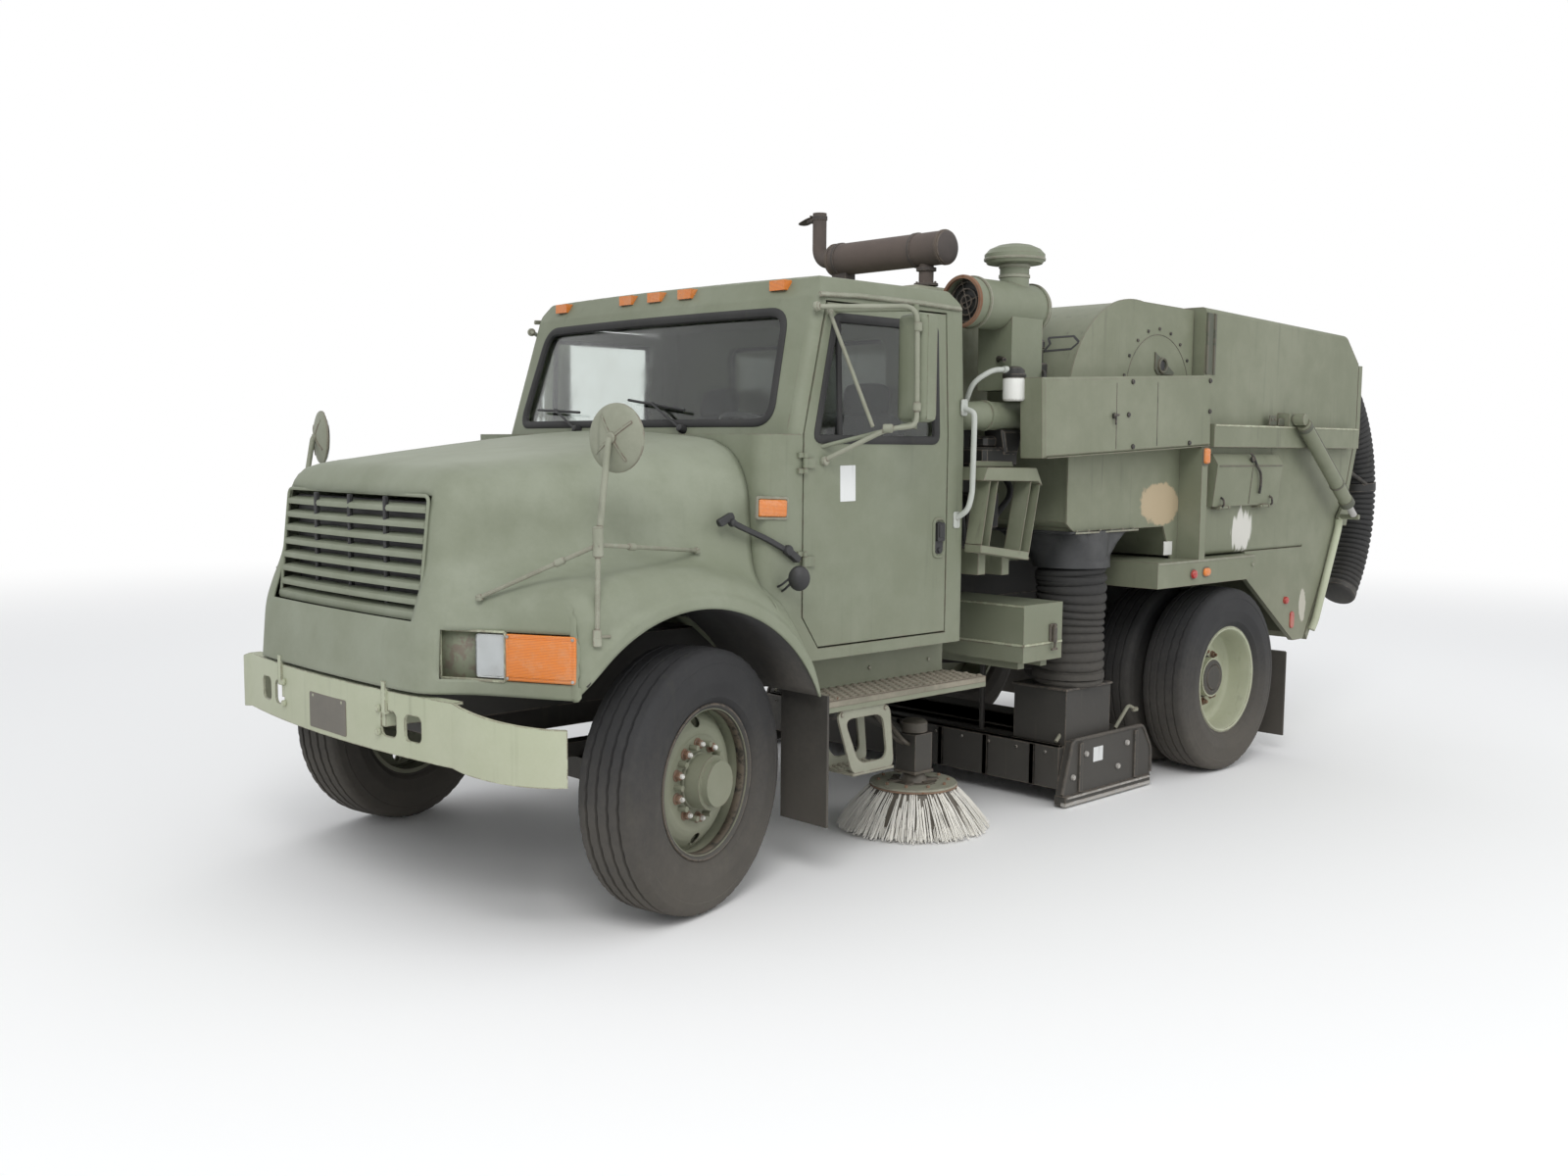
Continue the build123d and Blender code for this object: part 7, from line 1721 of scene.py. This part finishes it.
# Tool box: a lip over the seam and a pair of toggle latches
box_lip = joined([flat_bar([(1.0805, 2.102, 0.846), (1.0805, 2.41, 0.846)], 0.012, 0.004),
    flat_bar([(0.48, 2.0995, 0.846), (1.078, 2.0995, 0.846)], 0.012, 0.004, normals=(0, -1, 0)),
    flat_bar([(0.48, 2.0995, 1.034), (1.078, 2.0995, 1.034)], 0.01, 0.003, normals=(0, -1, 0))])
box_latch = joined([block(1.08, 1.092, 2.302, 2.352, 0.852, 0.938, 0.003),
    block(1.09, 1.108, 2.314, 2.34, 0.846, 0.925, 0.004),
    rod([(1.098, 2.327, 0.935), (1.104, 2.327, 0.86), (1.098, 2.327, 0.812)], 0.006, 10, 0.02),
    rod([(1.098, 2.305, 0.814), (1.098, 2.349, 0.814)], 0.006, 8)]
    + [knob((1.092, l, 0.93), 0.006, 0.004, 8) for l in (2.308, 2.346)])
put("tool_box_lip", box_lip, pale_green, "tool_box_cover", "olive_paint")
put("tool_box_latch", box_latch, oily_black, "tool_box_cover", "trim_black")

# Suction hose with rings, its clamps, and the boot above it
HOSE_X, HOSE_L, HOSE_R = 0.93, 2.69, 0.182
z = np.linspace(0.592, 1.188, 60)
hose_path = np.column_stack([HOSE_X + 0.004 * np.sin(z * 19), HOSE_L + 0.004 * np.sin(z * 13 + 1), z])
hose_parts = [wave_hose(hose_path, HOSE_R - 0.003, 0.044, 0.013, 56, 6),
    ring_on((HOSE_X, HOSE_L, 0.64), (0, 0, 1), HOSE_R - 0.006, 0.03, 0.006, 56),
    ring_on((HOSE_X, HOSE_L, 1.135), (0, 0, 1), HOSE_R - 0.006, 0.02, 0.006, 56)]
hose_piece = put_pair("suction_hoses", joined(hose_parts), rubber, "pickup_head", "rubber_black", 50)
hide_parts("head_hoses")
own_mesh(hose_piece)


def boot_ring(width, radius, x, l, z):
    outline = rounded_rectangle(width, width, radius, 9)
    return np.column_stack([outline[:, 0] + x, outline[:, 1] + l, np.full(len(outline), z)])


BOOT_ROWS = ((0.56, 0.05, 0.83, 2.74, 1.3795), (0.56, 0.05, 0.83, 2.74, 1.37),
    (0.5, 0.07, 0.838, 2.735, 1.362), (0.45, 0.13, 0.865, 2.725, 1.31), (0.404, 0.185, 0.905, 2.702, 1.25),
    (0.392, 0.194, 0.929, 2.69, 1.2), (0.39, 0.194, 0.93, 2.69, 1.1915), (0.374, 0.186, 0.93, 2.69, 1.1915),
    (0.372, 0.185, 0.93, 2.69, 1.3), (0.372, 0.185, 0.93, 2.69, 1.3795))
boot = outward(sheet_shape(np.stack([boot_ring(*row) for row in BOOT_ROWS]), loop_rows=True,
    loop_columns=True))
boot_rubber = painted("boot_rubber", (0.03, 0.031, 0.032, 1), (0.085, 0.086, 0.085, 1), fade=0.9, wear=0.0,
    rust=0.0, dirt=0.2, rough=0.5)
put_pair("hose_boots", boot, boot_rubber, "chassis", "rubber_black", 50)
boot_flange = joined([flat_bar([(1.1105, 2.462, 1.374), (1.1105, 3.018, 1.374)], 0.01, 0.003)]
    + [nut((1.098, l, 1.3795), (0, 0, 1), 0.012, 0.008) for l in np.linspace(2.49, 2.99, 6)])
put_pair("boot_flanges", boot_flange, dull_olive, "chassis", "olive_paint")

# Pickup head: lip tube and skids on the end plates, nuts, a blank label, hooks, a flange on the nozzle box
HEAD_FRONT_L = 2.4395
lip = rod([(1.104, 2.415, 0.075), (1.104, 2.498, 0.336), (1.104, 3.128, 0.336), (1.104, 3.212, 0.205),
    (1.104, 3.212, 0.075)], 0.01, 10, 0.03)
head_ribs = joined([flat_bar([(1.1055, l, 0.07), (1.1055, l, 0.318)], 0.03, 0.012) for l in (2.56, 3.06)]
    + [block(0.725, 1.065, 2.49, 2.9, 0.578, 0.589, 0.002),
    block(-1.055, 1.055, 2.455, 2.475, 0.298, 0.312, 0.002),
    block(-1.055, 1.055, 2.93, 2.95, 0.298, 0.318, 0.002), block(-0.7, 0.7, 2.6, 2.86, 0.298, 0.33, 0.008)]
    + [flat_bar([(x, HEAD_FRONT_L, 0.095), (x, HEAD_FRONT_L, 0.298)], 0.03, 0.008, normals=(0, -1, 0))
    for x in np.linspace(-0.9, 0.9, 7)])
head_nuts = joined([knob((1.105, l, z0), 0.015, 0.014, 12)
    for l, z0 in ((2.61, 0.255), (2.98, 0.262), (2.9, 0.15), (2.5, 0.15))]
    + [nut((x, HEAD_FRONT_L, 0.27), (0, -1, 0), 0.014, 0.01) for x in np.linspace(-0.98, 0.98, 12)])
skid = joined([block(1.088, 1.117, 2.425, 3.205, 0.01, 0.03, 0.002),
    rod([(1.116, 2.44, 0.052), (1.116, 3.19, 0.052)], 0.006, 8)])
head_label = plate_shape(0.085, 0.075, 0.003, 0.0015, side_axes((1.105, 2.72, 0.24)))
hooks = joined([rod([(1.02, 2.47, 0.322), (1.02, 2.59, 0.425), (1.02, 2.65, 0.4)], 0.01, 10, 0.02),
    block(1.008, 1.032, 2.63, 2.675, 0.385, 0.408, 0.004),
    rod([(1.02, 3.0, 0.322), (1.02, 3.12, 0.43), (1.02, 3.18, 0.405)], 0.01, 10, 0.02),
    block(1.008, 1.032, 3.16, 3.205, 0.39, 0.413, 0.004)])
put_pair("head_lips", joined([lip, head_ribs]), head_black, "pickup_head", "head_black")
put_pair("head_skids", skid, steel, "pickup_head", "steel")
put_pair("head_nuts", head_nuts, steel, "pickup_head", "steel")
put_pair("head_hooks", hooks, dull_olive, "pickup_head", "steel")
put("head_label", head_label, paper, "pickup_head", "bristle_white")

# Blower drum: bolts on a circle, a three-cornered bracket with a black disc as painted shade in its hole, a
# flow arrow, a label plate
DRUM_L, DRUM_Z, DRUM_X = 2.96, 1.985, 1.085
BOLTS_L, BOLTS_Z = 3.2, 2.08
BRACKET_HOLE = (DRUM_X + 0.006, 3.225, 2.222)
SHELL_R = 0.546
bolt_angles = angles_between(14, 166, 9)
drum_bolts = joined([knob((DRUM_X, BOLTS_L + 0.33 * math.cos(t), BOLTS_Z + 0.33 * math.sin(t)), 0.009,
    0.007, 10) for t in bolt_angles])
arc = [(DRUM_X + 0.0005, BOLTS_L + 0.3 * math.cos(t), BOLTS_Z + 0.3 * math.sin(t))
    for t in angles_between(12, 168, 40)]
drum_arc = outward(tube(arc, 0.0022, 6))
bracket = joined([side_slab([(3.16, 2.29), (3.345, 2.192), (3.335, 2.176), (3.185, 2.176), (3.16, 2.2)],
    DRUM_X, DRUM_X + 0.008), lathe([(0.03, 0.0), (0.03, 0.01), (0.036, 0.013), (0.042, 0.01), (0.042, 0.0)],
    28, BRACKET_HOLE, closed=True)])
# A black disc in the bracket's hole: painted shade in place of an opening.
bracket_hole_shade = knob(BRACKET_HOLE, 0.028, 0.003, 24)


def on_drum(places, out):
    """Places (x, degrees up from the level front) on the drum's shell, and the normals there."""
    places = np.asarray(places, float)
    a = np.radians(places[:, 1])
    normal = np.stack([np.zeros_like(a), -np.cos(a), np.sin(a)], axis=-1)
    return (np.array([0, DRUM_L, DRUM_Z]) + normal * (SHELL_R + out)
        + np.column_stack([places[:, 0], 0 * a, 0 * a]), normal)


arrow = dense_loop(np.array([(0.87, 31.2), (0.89, 35.8), (0.86, 40.2), (1.01, 40.4), (1.06, 36.0),
    (1.03, 31.8)]) * (10, 1), 0.4)
arrow_place, arrow_normal = on_drum(arrow / (10, 1), 0.0)
flow_arrow = strip(arrow_place, arrow_normal,
    [(-0.006, -0.001), (-0.006, 0.0012), (0.006, 0.0012), (0.006, -0.001)])
blank_label = plate_shape(0.085, 0.075, 0.004, 0.002, side_axes((DRUM_X, 3.35, 1.262)))
put_pair("drum_bolts", drum_bolts, oily_black, "chassis", "frame_black")
put_pair("drum_brackets", joined([bracket, drum_arc]), dark_olive, "chassis", "body_paint")
# The black disc in the bracket's hole is painted shade; the flow arrow is a real mark.
put("drum_marks_and_hole_shade", joined([flow_arrow, on_both_sides(bracket_hole_shade)]), black_plastic, "chassis", "trim_black")
put("drum_label", blank_label, white_paint, "chassis", "bristle_white")

# Belt guard: panel seams, bolts near the corners and a T-shaped latch, all on its tilted outer face
GUARD_FACE = 1.2205
guard_seams = joined([flat_bar([(GUARD_FACE, l, z - 0.16), (GUARD_FACE, l - 0.006, z + 0.16)], 0.0045,
    0.0012) for l, z in ((2.622, 1.948), (2.99, 1.965))])
guard_bolts = joined([knob((GUARD_FACE, l, z), 0.0125, 0.009, 12)
    for l, z in ((2.752, 2.118), (2.722, 1.956), (2.768, 1.8), (3.3, 1.822), (3.49, 2.15), (3.495, 1.99))])
t_latch = joined([knob((GUARD_FACE, 2.594, 1.948), 0.014, 0.012, 12),
    rod([(1.2345, 2.572, 1.95), (1.2345, 2.618, 1.953)], 0.006, 8),
    rod([(1.2335, 2.594, 1.95), (1.2335, 2.597, 1.905)], 0.005, 8)])
guard_lips = joined([flat_bar([(GUARD_FACE - 0.006, 2.06, 1.743), (GUARD_FACE - 0.006, 3.515, 1.809)],
    0.012, 0.003, normals=(0, 0.045, -1))])
put("guard_marks", joined([guard_seams, guard_bolts, t_latch]), oily_black, "chassis", "trim_black")
put("guard_lip", guard_lips, body_olive, "chassis", "body_paint")

# Body post, its lamp, the marker lamps on the fender box and the skirt
BOX_SIDE = 1.2205
post_lamp = cushioned(0.05, 0.082, 0.014, ((0, -0.002), (0, 0.012), (0.004, 0.018), (0.014, 0.022)),
    side_axes((1.2202, 3.472, 1.755)))
post_lamp_base = plate_shape(0.058, 0.098, 0.014, 0.006, side_axes((1.2195, 3.472, 1.752)))


def round_lens(place, radius):
    return lathe([(radius, -0.002), (radius, 0.01), (radius * 0.85, 0.017), (radius * 0.45, 0.021)], 20,
        place)


amber_marker = cushioned(0.068, 0.044, 0.02, ((0, -0.002), (0, 0.008), (0.005, 0.014), (0.014, 0.017)),
    side_axes((BOX_SIDE, 3.52, 1.135)))
amber_base = plate_shape(0.08, 0.056, 0.024, 0.004, side_axes((1.2195, 3.52, 1.135)))
red_base = knob((1.2195, 3.385, 1.13), 0.03, 0.005, 20)
skirt_reflector = cushioned(0.046, 0.1, 0.02, ((0, -0.002), (0, 0.005), (0.004, 0.008)),
    side_axes((1.151, 4.65, 0.782)))
put_pair("body_markers_amber", joined([post_lamp, amber_marker]), amber, "chassis", "lamp_amber")
put_pair("body_markers_red", round_lens((1.2215, 3.385, 1.13), 0.024), red, "chassis", "lamp_amber")
put_pair("body_marker_bases", joined([post_lamp_base, amber_base, red_base]), dark_olive, "chassis",
    "body_paint")
put_pair("skirt_reflectors", joined([skirt_reflector, round_lens((1.151, 4.56, 0.905), 0.022)]), red,
    "hopper", "lamp_amber")
fender_edge = joined([flat_bar([(BOX_SIDE, 3.05, 1.198), (BOX_SIDE, 4.045, 1.198)], 0.012, 0.002),
    knob((BOX_SIDE, 4.02, 1.15), 0.012, 0.008, 12)])
put_pair("fender_edges", fender_edge, dull_olive, "chassis", "body_paint")

# Hopper: front seam channel in painted shade, a pale ledge strip as painted highlight, lugs, lifting eyes,
# tubes along the rear
SIDE_X, LEDGE_X = 1.15, 1.22
SEAM_LOW, SEAM_HIGH = 2.19, 2.515
# The seam channel is dark olive as painted shade: it stands in for the shaded step at the hopper's front
# edge.
painted_shade_seam_channel = joined([block(SIDE_X - 0.001, SIDE_X + out, l0, l1, SEAM_LOW, SEAM_HIGH, bevel)
    for out, l0, l1, bevel in ((0.012, 3.556, 3.572, 0.002), (0.012, 3.63, 3.646, 0.002),
    (0.003, 3.57, 3.632, 0.001))])
# A pale strip along the ledge's side at its top: a painted highlight for the ledge's lit top face.
ledge_highlight_strip = flat_bar([(LEDGE_X + 0.0005, 3.565, 1.919), (LEDGE_X + 0.0005, 5.28, 1.919)], 0.01, 0.002)
lugs = joined([side_slab([(4.205, 1.928), (4.29, 1.928), (4.285, 1.985), (4.212, 1.985)], 1.185, 1.193),
    side_slab([(4.31, 1.928), (4.385, 1.928), (4.38, 1.97), (4.316, 1.97)], 1.185, 1.193),
    knob((1.193, 4.23, 1.962), 0.008, 0.006, 10), knob((1.193, 4.268, 1.962), 0.008, 0.006, 10)])
eye = joined([rod([(1.128, 4.44 + 0.028 * math.cos(t), 2.487 + 0.022 * math.sin(t))
    for t in angles_between(-20, 200, 12)], 0.006, 8, 0.01)])
# The seam channel's dark paint is painted shade.
put_pair("hopper_seams_painted_shade", painted_shade_seam_channel, dark_olive, "hopper", "body_paint")
# The pale ledge strip is a painted highlight; the lifting eyes are real parts.
put_pair("hopper_ledge_highlight_and_eyes", joined([ledge_highlight_strip, eye]), pale_green, "hopper", "body_paint")
put_pair("hopper_lugs", lugs, dark_olive, "hopper", "body_paint")
door_tube = rod([(1.166, 5.185, 1.372), (1.176, 5.16, 1.315), (1.176, 4.905, 0.76), (1.166, 4.88, 0.705)],
    0.022, 16, 0.04)
put_pair("door_edge_tubes", door_tube, pale_green, "dump_door", "body_paint")

# Inspection doors: a seam down the middle, a curved handle, two hooks below
door_seam = joined([flat_bar([(1.1885, 4.01, 1.49), (1.2125, 4.004, 1.705)], 0.006, 0.0015,
    normals=(0.99, 0, -0.11)), flat_bar([(1.213, 3.64, 1.7), (1.213, 4.335, 1.7)], 0.006, 0.0015,
    normals=(0.99, 0, -0.11))])
handle = joined([rod([(1.2, 3.995, 1.77), (1.216, 4.0, 1.752), (1.226, 4.02, 1.7), (1.222, 4.075, 1.665),
    (1.214, 4.095, 1.6), (1.204, 4.1, 1.545)], 0.007, 10, 0.03),
    knob((1.205, 4.002, 1.735), 0.018, 0.014, 12, z_dir=(1, 0, 0.2))])
hook = joined([rod([(1.186, 0, 1.53), (1.208, 0, 1.52), (1.212, 0, 1.49), (1.2, 0, 1.478)], 0.006, 8,
    0.01)])
door_hooks = scattered(hook, [(0, 3.7, 0), (0, 4.24, 0)])
for side, turn in SIDE_TURNS:
    body = "inspection_door_" + side
    put("inspection_handle_" + side, turn(joined([handle, door_hooks])), oily_black, body, "trim_black")
    put("inspection_seam_" + side, turn(door_seam), dark_olive, body, "body_paint")

# Cylinders: gland rings, and a hose along each barrel on two short stays
BASE, EYE_AT = np.array([4.43, 1.965]), np.array([5.184, 1.385])
run = (EYE_AT - BASE) / np.linalg.norm(EYE_AT - BASE)


def along_cylinder(distance, aside=0.0, x=1.266):
    at = BASE + run * distance + np.array([-run[1], run[0]]) * aside
    return x, at[0], at[1]


barrel_fittings = joined([ring_on(along_cylinder(s), (0, run[0], run[1]), 0.04, w, 0.004, 32)
    for s, w in ((0.07, 0.03), (0.795, 0.045), (0.62, 0.012))]
    + [rod([along_cylinder(0.1, 0.06), along_cylinder(0.76, 0.06)], 0.008, 10),
    rod([along_cylinder(0.1, 0.036), along_cylinder(0.1, 0.062)], 0.008, 8),
    rod([along_cylinder(0.76, 0.036), along_cylinder(0.76, 0.062)], 0.008, 8)])
for side, turn in SIDE_TURNS:
    put("cylinder_fittings_" + side, turn(barrel_fittings), dark_olive, "cylinder_barrel_" + side,
        "body_paint")

# Corrugated hose on the dump door, on the circle through its three places, and its strap
HOSE_X, HOSE_RADIUS = 1.0, 0.11
top, middle, end = np.array([5.4503, 2.18]), np.array([5.79, 1.52]), np.array([5.56, 0.86])
lines = np.array([middle - top, end - top]) * 2
centre = np.linalg.solve(lines, np.array([middle @ middle - top @ top, end @ end - top @ top]))
bend_radius = np.linalg.norm(top - centre)
angles = np.linspace(math.atan2(*(top - centre)[::-1]), math.atan2(*(end - centre)[::-1]), 80)
start = np.argmax(centre[0] + bend_radius * np.cos(angles) > 5.455)
angles = np.linspace(angles[start], angles[-1], 90)
arc_path = np.column_stack([np.full(90, HOSE_X), centre[0] + bend_radius * np.cos(angles),
    centre[1] + bend_radius * np.sin(angles)])
hose_piece = put("dump_door_hose", wave_hose(arc_path, HOSE_RADIUS, 0.036, 0.012, 48, 6), rubber,
    "dump_door", "rubber_black", 50)
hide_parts("rear_hose")
strap_at = np.argmin(np.abs(arc_path[:, 2] - 1.56))
strap_dir = arc_path[strap_at + 1] - arc_path[strap_at]
strap = joined([ring_on(arc_path[strap_at], strap_dir, HOSE_RADIUS - 0.004, 0.05, 0.006, 48),
    ring_on(arc_path[3], arc_path[4] - arc_path[3], HOSE_RADIUS - 0.004, 0.024, 0.006, 48),
    ring_on(arc_path[-3], arc_path[-2] - arc_path[-3], HOSE_RADIUS - 0.004, 0.03, 0.006, 48),
    rod([arc_path[strap_at] + (0.085, -0.07, 0.02), arc_path[strap_at] + (0.03, -0.2, 0.1),
    (1.0, 5.48, 1.8)], 0.012, 10, 0.05)])
put("hose_strap", strap, oily_black, "dump_door", "trim_black")


# Floor, backdrop and light
def add_stage():
    """A plain pale floor, a white world as the camera sees it, and three soft lamps."""
    size = 60.0
    mesh = bpy.data.meshes.new("floor")
    mesh.from_pydata([(-size, -size, 0), (size, -size, 0), (size, size, 0), (-size, size, 0)], [],
        [(0, 1, 2, 3)])
    floor = bpy.data.objects.new("floor", mesh)
    scene.collection.objects.link(floor)
    material, tree, shader = new_material("floor")
    shader.inputs["Base Color"].default_value = (0.9, 0.895, 0.885, 1)
    shader.inputs["Roughness"].default_value = 0.9
    place = node(tree, "NewGeometry").outputs["Position"]
    away = node(tree, "VectorMath", {0: place}, operation="LENGTH").outputs["Value"]
    far = times(tree, between(tree, away, 7.0, 17.0), node(tree, "LightPath").outputs["Is Camera Ray"])
    glow = node(tree, "Emission", {"Color": (1, 1, 1, 1), "Strength": 1.0}).outputs[0]
    mix = node(tree, "MixShader", {0: far, 1: shader.outputs[0], 2: glow}).outputs[0]
    tree.links.new(mix, tree.nodes["Material Output"].inputs["Surface"])
    mesh.materials.append(material)
    world = bpy.data.worlds.new("studio")
    scene.world = world
    world.use_nodes = True
    tree = world.node_tree
    light_path = node(tree, "LightPath").outputs
    seen = maths(tree, "MAXIMUM", light_path["Is Camera Ray"],
        maths(tree, "MAXIMUM", light_path["Is Glossy Ray"], light_path["Is Transmission Ray"]))
    dim = node(tree, "Background", {"Color": (0.93, 0.95, 0.98, 1), "Strength": 0.8}).outputs[0]
    white = node(tree, "Background", {"Color": (1, 1, 1, 1), "Strength": 1.0}).outputs[0]
    mix = node(tree, "MixShader", {0: seen, 1: dim, 2: white}).outputs[0]
    tree.links.new(mix, tree.nodes["World Output"].inputs["Surface"])
    for name, place, aim, width, power in (("key", (7.0, -8.0, 9.0), (0.5, -1.0, 1.2), 5.0, 560),
            ("fill", (9.0, 3.0, 5.0), (0.5, 0.5, 1.2), 6.0, 170),
            ("back", (-7.0, 5.0, 7.0), (-0.5, 0.5, 1.5), 6.0, 130)):
        data = bpy.data.lights.new(name, "AREA")
        data.size = width
        data.energy = power
        lamp = bpy.data.objects.new(name, data)
        lamp.location = place
        lamp.rotation_euler = (Vector(aim) - Vector(place)).to_track_quat("-Z", "Y").to_euler()
        scene.collection.objects.link(lamp)


add_stage()
scene.view_settings.view_transform = "Standard"
